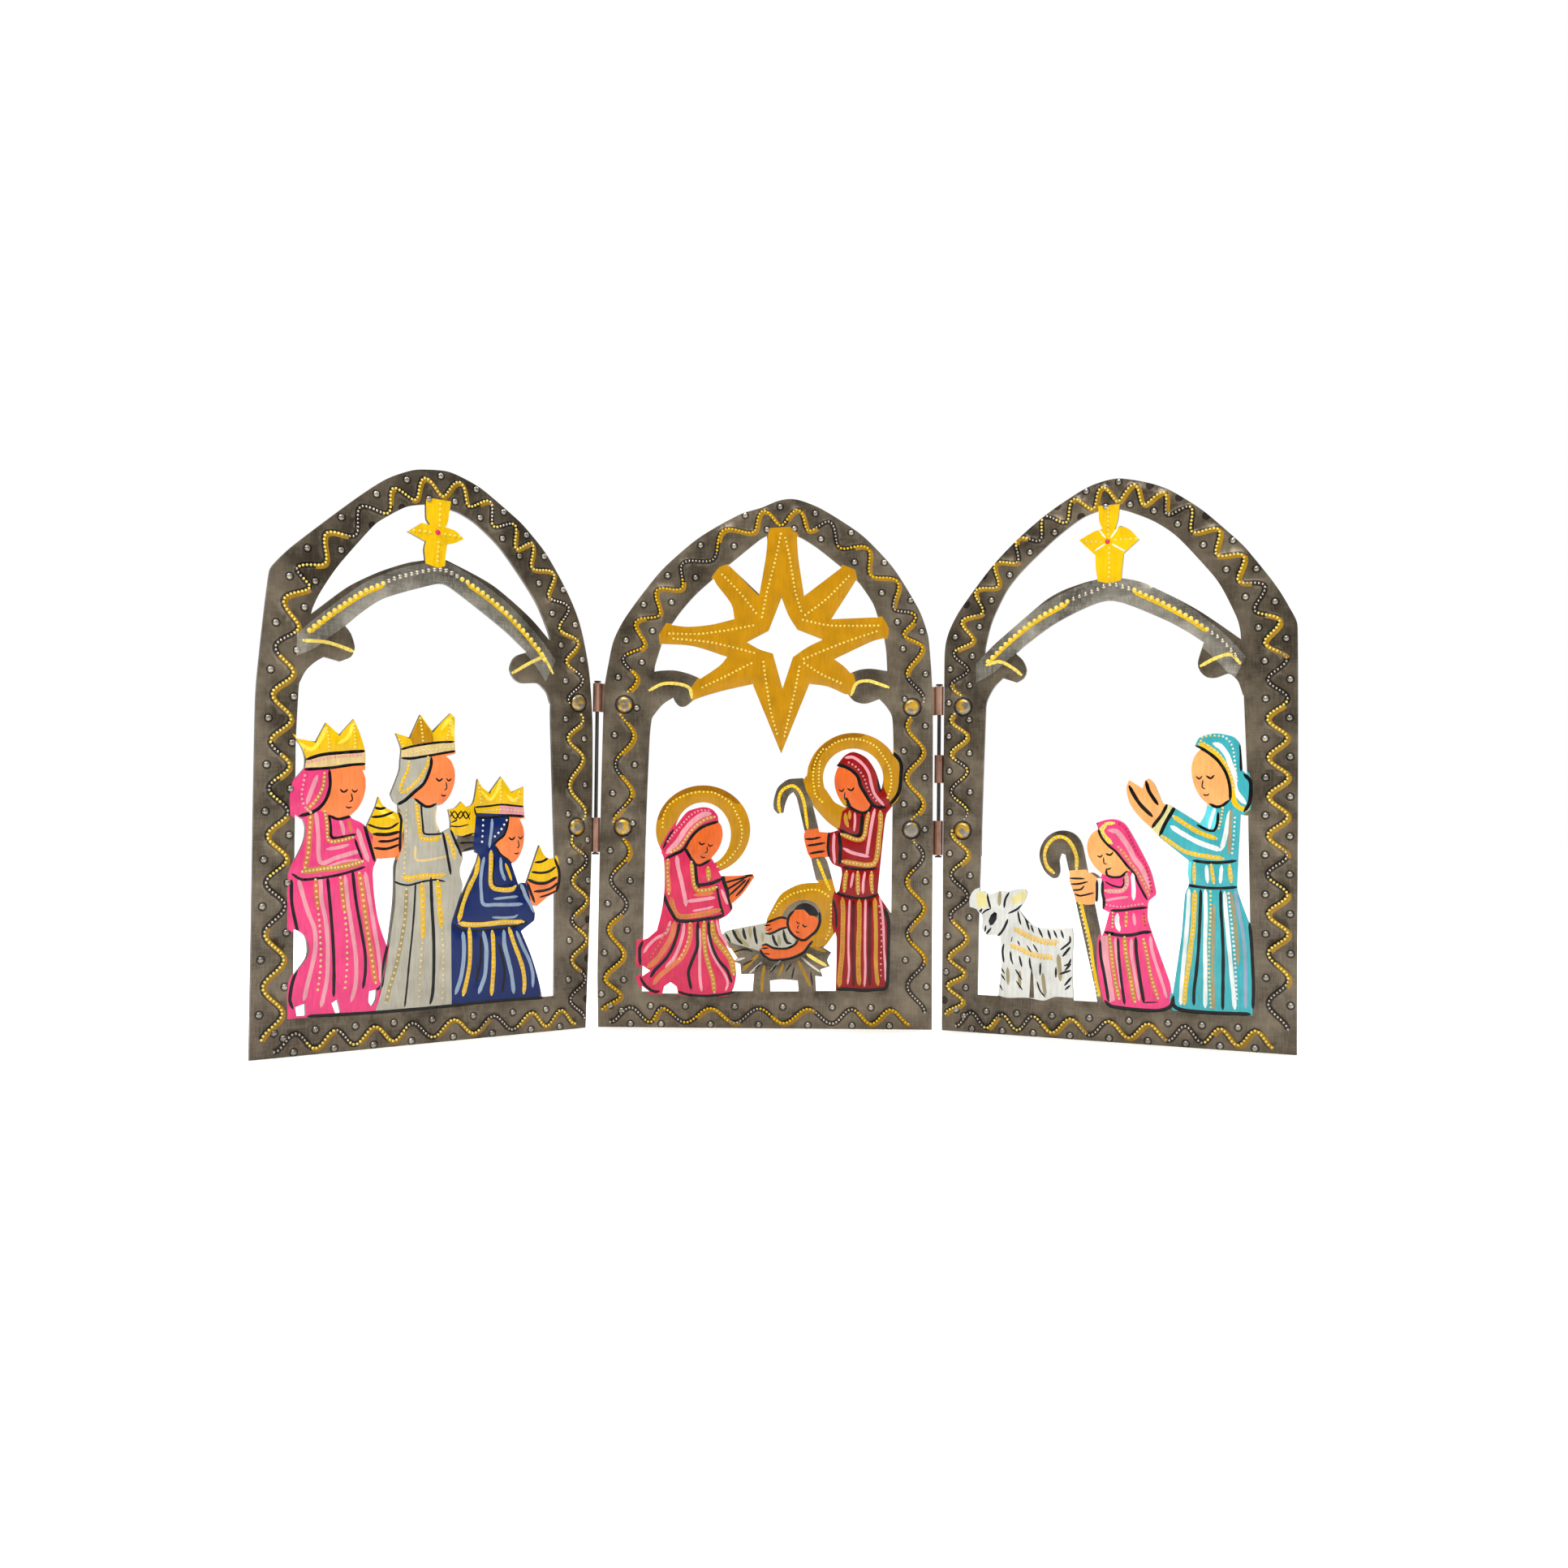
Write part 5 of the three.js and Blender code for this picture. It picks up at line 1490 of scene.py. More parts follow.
@dataclass
class Studio:
    """Pale floor, soft white light and the camera at the photograph's angle."""

    eye: tuple[float, float, float] = (0.00366, -0.52968, 0.07738)
    pitch: float = 1.539
    yaw: float = -0.272
    roll: float = 0.533
    lens: float = 32.29
    floor_reach: float = 6.0
    aim: tuple[float, float, float] = (0.0, 0.0, 0.1)

    def build(self) -> None:
        """Makes the floor, the lights, the sky and the camera."""
        bpy.context.scene.view_settings.view_transform = "Standard"
        self.floor()
        self.lights()
        self.camera()

    def floor(self) -> None:
        """Lays a plain pale floor."""
        mesh = bpy.data.meshes.new("floor")
        reach = self.floor_reach
        mesh.from_pydata(
            [(-reach, -reach, 0), (reach, -reach, 0), (reach, reach, 0), (-reach, reach, 0)],
            [],
            [[0, 1, 2, 3]],
        )
        floor = linked_object("floor", mesh)
        pale = bpy.data.materials.new("matt_white_floor")
        pale.use_nodes = True
        shader = pale.node_tree.nodes["Principled BSDF"]
        shader.inputs["Base Color"].default_value = linear("#fafaf8")
        shader.inputs["Roughness"].default_value = 0.9
        mesh.materials.append(pale)
        floor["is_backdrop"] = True

    def lights(self) -> None:
        """Hangs soft lamps in a room that is white behind the piece and grey in front."""
        room = bpy.data.worlds.new("white_backdrop_room")
        room.use_nodes = True
        room.node_tree.nodes.clear()
        add = partial(add_node, room.node_tree)
        way = add("ShaderNodeTexCoord").outputs["Generated"]
        parts = add("ShaderNodeSeparateXYZ", {0: way})
        pale = [
            add(
                "ShaderNodeMapRange",
                {0: parts.outputs[axis], 1: start, 2: end, 3: 0.0, 4: 1.0},
                interpolation_type="SMOOTHSTEP",
            )
            for axis, start, end in ((1, -0.1, 0.75), (2, 0.35, 0.85))
        ]
        most = add("ShaderNodeMath", {0: pale[0], 1: pale[1]}, operation="MAXIMUM")
        tone = add(
            "ShaderNodeMix",
            {0: most, 6: linear("#8c8c8c"), 7: linear("#ffffff")},
            data_type="RGBA",
        ).outputs[2]
        sky = add("ShaderNodeBackground", {0: tone, 1: 1.0})
        add("ShaderNodeOutputWorld", {0: sky})
        bpy.context.scene.world = room
        for name, place, size, power in (
            ("key", (-0.3, -0.75, 1.1), 0.3, 10.0),
            ("fill", (0.6, -1.2, 0.45), 0.7, 2.0),
            ("rim", (0.3, 0.5, 0.9), 0.6, 5.0),
        ):
            lamp = bpy.data.lights.new(name, "AREA")
            lamp.size, lamp.energy = size, power
            made = linked_object(name, lamp)
            made.location = place
            aim = Vector(self.aim) - Vector(place)
            made.rotation_euler = aim.to_track_quat("-Z", "Y").to_euler()
        sun = bpy.data.lights.new("overhead", "SUN")
        sun.energy, sun.angle = 1.3, math.radians(50)
        above = linked_object("overhead", sun)
        above.rotation_euler = (math.radians(-12), 0.0, 0.0)

    def camera(self) -> None:
        """Sets the camera."""
        view = bpy.data.cameras.new("camera")
        view.lens, view.sensor_width = self.lens, SENSOR_WIDTH
        made = linked_object("camera", view)
        made.location = self.eye
        turned = (
            Matrix.Rotation(math.radians(self.yaw), 3, "Z")
            @ Matrix.Rotation(math.radians(90 + self.pitch), 3, "X")
            @ Matrix.Rotation(math.radians(self.roll), 3, "Z")
        )
        made.rotation_euler = turned.to_euler()
        bpy.context.scene.camera = made


# `N` patches are the roof bands, in the lighter steel that paints in their sheen.
LEFT_TEXT = """
S a 1.3 -46 137.8 -38 144.8 -28 152.3 -21 156 / 10 160.1 20 154.6 30 147.2 39.5 138.1 41.5 135.2
D l .92 2.25 -46 138.6 -38 145.6 -28 153.1 -21 156.8
D s .92 2.25 -19 157.9 -16 159.4 -4 163.4 1.5 164 6 162.4
D l .92 2.25 8 161.6 10 160.9 20 155.4 30 148 39.5 138.9 41.5 136
B l 1.2 l .55 2.2 -47.8 135.1 -39.7 135.1 -30.7 132.9 / 41.1 137.2 34.9 134 28.6 130.2
B l 1.1 l .5 2.2 41.1 137.2 44.8 131.3
F N -50 137 -46 141 -38 148 -28 156 -20 160.5 -10 164.5 1.5 167 10 164 20 159 30 152 40 143 46 136
 42 128 38 133 30 141 20 148.5 10 154 1.5 157 -8 155 -18 151.5 -28 145.5 -38 138 -44 133 -50 130
F a -5.9 188.5 -5.5 181 -4.2 179.2 -7.2 179.5 -13 175.9 -8.7 173.8 -5.6 173.2 -6.3 170.6 -5.7 165.6
 -1.2 164.6 1.6 165.6 2.1 170.6 2.3 173.2 5.6 173.8 9.3 176 5.5 178.9 1.6 179.2 2.6 181.2 3.4 188.5
D l .5 1.7 -.6 187 -.8 179.4 / -1 173.5 -1.3 166.9 / -10 176.6 -4.2 176.7 / 1.4 176.7 7 176.7
D u .95 9 -1.4 176.9
F a -50.8 104.5 -43 101.8 -39.6 110 -35.1 104.4 -30.2 112 -25.8 105 -25.2 99.8 -34 99 -41 98 -46
 96.3 -47.6 100
F c -46 96.3 -41 98 -34 99 -25.4 99.9 -25.4 95.2 -31 94.9 -38 93.8 -46.7 92.8
F q -46.8 93.6 -50 90 -51.4 84.5 -51 78 -47.5 75.5 -43.5 77.5 -38.5 77.2 -38 80.5 -39 84 -38 88
 -38.2 93.8
F g -38.2 93.8 -31 94.9 -24 95.6 -21 90 -22 79 -30 77.7 -35 76.9 -41 79.5 -40.5 82 -39 84 -38 88
F q -47.6 77.9 -46 74 -47.2 69 -49.5 64 -51.4 59 -51.4 41 -48 39.5 -45 38 -44 34 -45 31 -48 28.5
 -50.8 23.5 -50.8 12.2 -19.4 12.2 -18 19 -17.8 26 -16.4 33.1 -17.6 36.7 -19.3 42 -20.7 48 -21.1 57
 -21.3 61 -19 64 -21 70 -23.3 74 -26 76 -30.5 78 -35 76.9 -40 79
F a -21 86 -18.4 82 -13.6 79.7 -12 77 -12.4 72.2 -22.8 71.6 -26 74.3 -24.6 78 -23 81
F g -23.2 72 -12.6 72.8 -12.2 66 -13.6 63.2 -21.4 62.8 -22.9 66.5
B O 2 c .5 1.2 -46.8 59.7 -40 60.5 -33 61.2 -26.5 62.8
S p 1.4 -47.8 57 -46.5 52 -44.5 46 -42.5 41 -42 35 -43 29 -44.5 23 -45.5 18 / -40.8 58 -40.2 50
 -38.8 44 -38 37 -37.8 30 -38 24 -39 19 -39.8 15.5 / -32.4 58 -31.5 50 -30.3 43 -29 36 -28.2 30
 -28.2 22 -29.6 16.5 / -25.5 59 -24 51 -22.3 42 -20.8 34 -19.5 26 -19.2 22
S o 1.6 -42.3 57 -42 52 -41.4 47.5
D c .5 1.9 -42.3 57 -42 52 -41.2 46 -40.6 40 -40.2 33 -40.3 27 -41 21
S o 1.6 -34 57.5 -33 50.5 -32.4 46
D c .5 1.9 -34 57.5 -33 50 -32 43 -31.4 36 -31.3 28 -31.8 21
B o 1.9 c .5 1.9 -27.5 59 -26 50 -24.8 42 -23.5 35 -22.3 28 -21.2 22
S k .9 -50 59 -47 57.2 -42 57.4 -36 58.2 -30 59.6 -25.6 61
S k 1.1 -38.3 57.5 -37.2 48 -36.2 38 -35.6 28 -35.5 18.5 / -29.8 59.5 -28.5 50 -26.5 40 -25 32
 -24.8 26 -25.5 20.5 / -17 35 -18.4 28 -18.9 21 -21 19.5 / -50.2 57 -50 50 -48.8 44 -47.8 40 /
 -47.8 28.5 -49.5 23 -50 18 -49 15.5
S p 1.4 -42.6 79 -41.8 72 -41 62.8 -36 64 -30 65.7 -27.5 66.2
S p 1.1 -38.8 67 -35 67.5 -31.5 68.4
S p .8 -38 61.4 -33 62.9 -28 63.4
S p 1.2 -34.5 77.2 -33.5 74 -33 71.8
S o 1.2 -31.5 76.5 -30.5 72.5
S k 1 -38.2 78 -37.5 74 -37 70.8 -33 71 -29 71.9
B o 1.5 c .48 1.2 -39.6 79.5 -38.8 75 -38.2 69.8 -34 69.8 -30 70.9
B o 1.8 c .5 1.7 -44.3 79 -44.6 72 -45 66 -46 61
S p 1.6 -28.3 73.5 -26.5 68 -24.5 63
S k 1.2 -26 75.5 -24.8 71 -23.5 67 -22.2 63
S k .9 -29.2 70.3 -28 67 -26.5 63.5
S p 1.4 -42.5 91 -44 87 -45.8 82
D p .5 1.5 -46.5 91 -47.2 87 -47.5 84 -46.5 81 -45 79.5
B o 1.4 c .48 1.4 -40 92 -40.3 88 -41.5 85 -43.5 82 -45.5 80
S k 1.1 -38.3 93 -38 88 -39 84 -41 81 -44 79 -48 77.8
S k 1 -38 78 -35 76.9 -30.5 78
D p .5 1.3 -45.5 95.4 -41 96.7 -34 97.8 -26.5 98.6
S k 1 -46.5 93 -38 93.8 -31 95 -26 95.5
S k 1.1 -46 96.3 -41 98 -34 99 -26.2 99.8
S y 1.2 -48.6 101.6 -44.5 99.6 -41.5 103 -39.7 107 / -35.5 102 -32.5 104 -30.6 108.6
D l .42 1.3 -49 102.2 -46 98.8 / -39.6 108 -38.4 99.6 / -30.3 109.8 -29.6 101
S y 1.4 -23 83 -19.5 79.5 -15.5 77.5
S k .9 -22.8 81 -20.5 80.5 -18.5 81 / -23.5 77.7 -20 78 -16 79.4
S k .8 -24.8 75.2 -21 74 -17 74 -14 75.8
S k 1.2 -22.8 72 -18 71.8 -13.5 72.8
S k .9 -21 69.5 -17 69.6 -13.3 70.8 / -22.5 67.3 -18 67 -13.6 68.4
S k 1 -14 79.5 -13 77 -13.2 72 -13.3 66
F a -16.2 108 -10.3 104.6 -6.5 114.5 -2 107 5.6 116 7.4 113 7.2 104.8 .8 103.9 -4.3 103.1 -9.7 102
 -13.6 100.9
F e -10.3 104.8 -6.6 112.6 -2.2 107 -1.6 103.5 -9 102.3
F c -13.8 100.9 -9.7 102 -4.3 103.1 .8 103.9 7 104.7 7.4 101.2 2 100.2 -2.2 99.3 -9.7 97.9 -13.9
 97.6
F i -13.9 98.2 -14.6 93.5 -16.6 89 -18 85.5 -16.4 82 -13.5 80.5 -8 82.6 -3.8 88.8 -1.8 95 -2.2 99.3
F g -2.3 99.2 2 100.2 7.2 101.3 9.6 95 8.4 84 2 80.6 -2.2 81.6 -5.9 82.5 -9 84.4 -11.8 83.5 -8 86.8
 -5 89.3 -3.4 92.7 -2.4 96
F i -14.7 83.5 -12.6 77.5 -12 72.4 -12.4 67 -14.6 61.3 -14.6 49.4 -15.6 41 -16.6 33.1 -17.4 26.8
 -19 19.1 -21 12.6 7.3 12.6 6.6 30 7.3 41 9 46 11 54.3 9.9 57.3 9.9 60.3 11.2 63.7 10 67.4 7.8 71.2
 5.8 75.5 1.4 73.6 1 76.5 .8 82.6 -2.2 81.6 -6 82.5 -9 84.5
F a 3.4 81 6.4 82.6 9.2 85.6 11 83 13.2 83.8 15.6 87 15.6 71.2 8.4 71.4 5.4 73 4.4 76.5
F S 8.4 71.4 15.4 71.6 15.6 66 9.4 64.8 6.6 69
S a 1.8 -12.2 57.4 -10 56.7 -7.2 57.2 -3.8 57.6 0 57.5 3.2 58
D c .48 1.3 -12.2 57.4 -10 56.7 -7.2 57.2 -3.8 57.6 0 57.5 3.2 58
S x 1.4 -10.7 53.2 -11.1 44 -12 37.4 -13.2 31.2 -14.5 25.7 -16.3 19.9 -17.4 15
D c .5 2 -10.7 53.2 -11.1 44 -12 37.4 -13.2 31.2 -14.5 25.7 -16.3 19.9 -17.4 15
S a 1.7 -5.1 54.9 -4.7 45.3 -4.5 38.7 -4.6 36
D c .5 2 -5.1 54.9 -4.7 45.3 -4.5 38.7 -4.9 31.2 -5.3 24.5 -5.5 16.2
S a 1.7 .75 55.75 1.4 48.3 2 43 2.2 40
D c .5 2 .75 55.75 1.4 48.3 2.2 42 2.8 35.3 3.25 28.7 3.3 20.3 3 15
S k .7 -15.4 56 -13 55 -10 54.5 -7.5 55 -4 55.8 -2 56 0 56.2 3.5 55.5 / -7.4 55.1 -7.8 45.3 -8.4 37
 -9.3 27.8 -9.9 20.3 -10.6 13.2
S k 1.2 -1.8 56.8 -1.3 47.4 -.7 40.3 -.3 32.8 -.2 24.5 -.5 17 -1.3 13.5
D c .46 1.8 -11.3 80.2 -11.1 74.3 -11.3 68.9 -11.7 58.5
B a 1.6 c .46 1.2 -7.8 82.7 -7 78.5 -6.1 72.7 -5.5 70.6 -2.2 70 1.6 71
S k .7 -5.9 82.7 -5.5 78.5 -5 74.3 -4.6 72.2 -1.3 71.9 2.2 72.2
S k 1 -8.2 84.1 -5.9 82.5 -4.2 81.5 -2.2 81.6 -.3 82.5
B c 1.2 j .4 1.4 -.5 80.5 .3 73.5
S c .8 -7.8 68 -7 63 5 64.4
S k 1 2.4 72.5 3.3 68.9 4.1 65.2 5.1 60.6 5.6 58
B a 1.5 c .46 1.5 3.7 72.2 4.9 69.8 6.2 66.8 7 63.5
S k .9 5.3 73.5 7 69.8 8.7 66.4 9.5 64.3
D j .42 1.5 -9.6 100 -4.3 101 .8 101.8 5.5 102.6
S k .8 -13.6 100.8 -9.7 102 -4.3 103.1 .8 103.9 6 104.3
S k .9 -13.2 97.9 -9.7 97.9 -5.5 98.7 -2.2 99.3 2 100.2 6.8 101.1
B a 1.3 c .44 1.4 -3.6 98.6 -3.8 96 -5.1 93.5 -6.8 91 -8.8 88.9 -10.5 87.3 -13.4 86
B a 1.1 c .44 1.6 -10.5 96.8 -11.1 93.5 -12.2 91.4 -13.2 88.9 -13.8 86.8
S k 1.2 -2.4 98.5 -2.4 96 -3.4 92.7 -5.1 89.3 -8 86.8 -11.8 83.5 -14.5 82
D l .42 1.3 -14.8 105.2 -12.6 102.2 / -6.6 111.8 -5.6 104.2 / 4.9 113 3.4 105.2
S y 1.3 1.2 108.5 4.4 112 5.6 106.4
S k .6 5.5 76 7.5 77 8.5 78 10 77.2 9.5 75.5 8 76 8.2 78 10.5 78.2 12 76.8 11 75.2 10 74 11.5 73 13
 74.5 12.2 76.5 14 77
S k .7 9.8 71 14.4 72.3 / 8.6 68.9 14.4 69.1 / 10.3 66.2 14 67.3 / 14.2 81.4 15 78.5
S k .55 4.6 77.4 6.6 80 8.6 77.4 10.6 80 12.4 77.2 / 5 80 7 77.4 9 80 11 77.4 12.6 79.6
S k .5 4.2 75 8 74.6 12 75.4
F a 14 94 20.2 86.2 24.6 96 28.8 86.8 34.8 91 34.9 82 29.8 82.3 24.8 82.6 13.6 81.4 13.4 86 / 13.6
 81.4 24 82.5 24 78.5 20.7 78.1 13 76
F p 24 82.5 29.8 82.3 35.2 82 35 78.3 26.9 78.7 24 78.5
F n 14.9 79.5 14.2 71 13.6 65 17.5 62.8 22 67.2 26.5 71.7 28.1 79.2
F g 27.8 79 35 78.8 37.8 72 33.6 61 29.2 60.8 25 64.3 22.6 67.8 24 70.2 26.1 71.8 27.3 75.2
F n 16.6 68 15 62.5 11.7 56.3 9.2 50.4 6.8 43.4 6 40.6 6.2 28 6.6 12.6 41.6 12.6 41.7 19.8 38.7
 28.4 34.8 36.6 40 40.7 40.2 43.4 38.8 46.6 38.6 49 37 54 35.9 56 33 55.6 32 54.2 31 56.8 29.3 61.2
 27.8 62.4 24.8 64.8 22.8 67.9 20 66.5
F a 40.6 71 42.7 66.2 45 64.2 47.9 64.2 48.7 61 48.8 57 43.6 54.3 39.4 54.3 34.4 55.4 36 59.2 37.2
 63.6
F g 34.8 55.2 39.4 54.3 43.6 54.3 48.8 57 48.6 53 47.6 50.6 44 48 39.5 44.4 37.6 46.2 36.4 51
S y 1.2 17 87 20.4 84.4 23.4 88.4 24.6 92.6 / 27 86 29.4 84.2 32.2 85.6
D l .42 1.3 15.6 91 16.8 83.2 / 24.6 92.4 24.4 84.4 / 32.4 88.4 30.6 83.6
D c .46 1.5 18.6 80.3 24 80.8 33.2 80.4
S k .7 14.4 81.5 19.8 82 24.8 82.6 29.8 82.3 33.8 82
S k 1 15.3 77.9 20.7 78.1 26.9 78.7 33.8 78.5
S b 1.1 21.2 77.3 20.9 73.5 20.5 70.2 20.3 67.3
D w .45 2 17.7 77 17.5 73.5 17.3 69.3 / 27 77 24.6 73.4 22.3 71.2
S k 1 27.7 78.9 27.3 75.2 26.1 71.8 24 70.2 21.5 68.1
S k .8 22.8 67.7 24.8 64.8 27.3 63.1 29.2 61.6
B a 1.7 c .46 1.35 20.9 66 20.9 60.6 20.9 54.3 22.3 52.7 26.5 52 29.8 52.3 30.9 53.3
S k .6 22.3 64 22.3 54.2 30 53.9
S b 1.2 24.8 63.5 25 59.3 26.5 55.6
S a 1.1 26.7 61.4 28 58.5 29.2 55.6
B a 1.6 c .46 1.5 16.1 63.9 15.3 58.5 13.2 54.3 11.7 51 10.3 47.7 9.4 43.8 8.8 41.7
S k .9 15.3 64.3 12.3 57.3 10.9 52.3 9 46.8 8 43.3
S b 1.2 18.2 63.7 17.3 59.3 17 55.2 17.3 51 18.2 47.2 22.8 46.9 29 46.7 33.6 46.8
S b .9 22.3 49 27.3 49.3 31.7 49.6 / 21.9 42.4 26.5 42.1 30.7 42.3 31.7 42.9
S b 1.4 33.2 53.9 35.3 49.2 37.3 46.3 38.4 43.8
S k 1.1 35.7 54.3 37.3 50.6 38.8 47.3
S k .8 32.3 53.1 34 49.8
B a 1.7 c .46 1.2 9 40.8 12.3 40.2 16.5 40 21.5 40.2 25.7 40.5 30.7 40.4 34.4 40.3
S k .8 7 40.8 9 39 15 38 22 38.1 30 38.7 36 40.2
S k 1 17.5 36 17.6 28 16 20 / 24.5 33 27 24 26.3 15.5
S b 1.5 10.5 37.5 10.9 32 10.7 26.7 9.8 21.3 8 16.3 / 18.4 37.5 19.6 32 19.6 26.7 19 21.3 16.9 16 /
 26.5 37.5 26.7 32.5 28.4 26.7 29.8 21.3 30.7 15
S b 1.3 31.5 37 34 31.7 36.9 26.3 38.4 21.3 38.4 16.7
B a 1.6 c .48 1.6 13 38.8 13.2 34.2 13.3 29.2 13 25 12.1 20 10.9 15.6 / 21.9 37.5 22.3 32.5 22.5
 26.7 22.3 20.8 21.9 15 / 28.6 38.3 30.3 33.3 32.8 27.5 34.4 22.9 35 18.3 34.8 14.6
S y 1.3 38.5 66 36.8 60 36 57
S k .9 38.8 61.8 41.5 62 44.2 63.3 / 37.5 58.3 41.5 57.9 44.8 58.5 47.3 60
S k 1.2 35.9 55.6 39.4 54.3 43.6 54.3 47.8 56.2
S k 1 38.6 51.2 42.3 51.4 45.7 52.3 48.6 54.3
S k .7 40.9 49.1 44 49.8 48.2 51.4
S k 1.2 46.9 63 48.8 58.5 48.8 54.3 47.8 51
S k 1.1 -44 12.6 -30 12.2 -14 12 6 12.2 24 12.6 43 12.4
"""

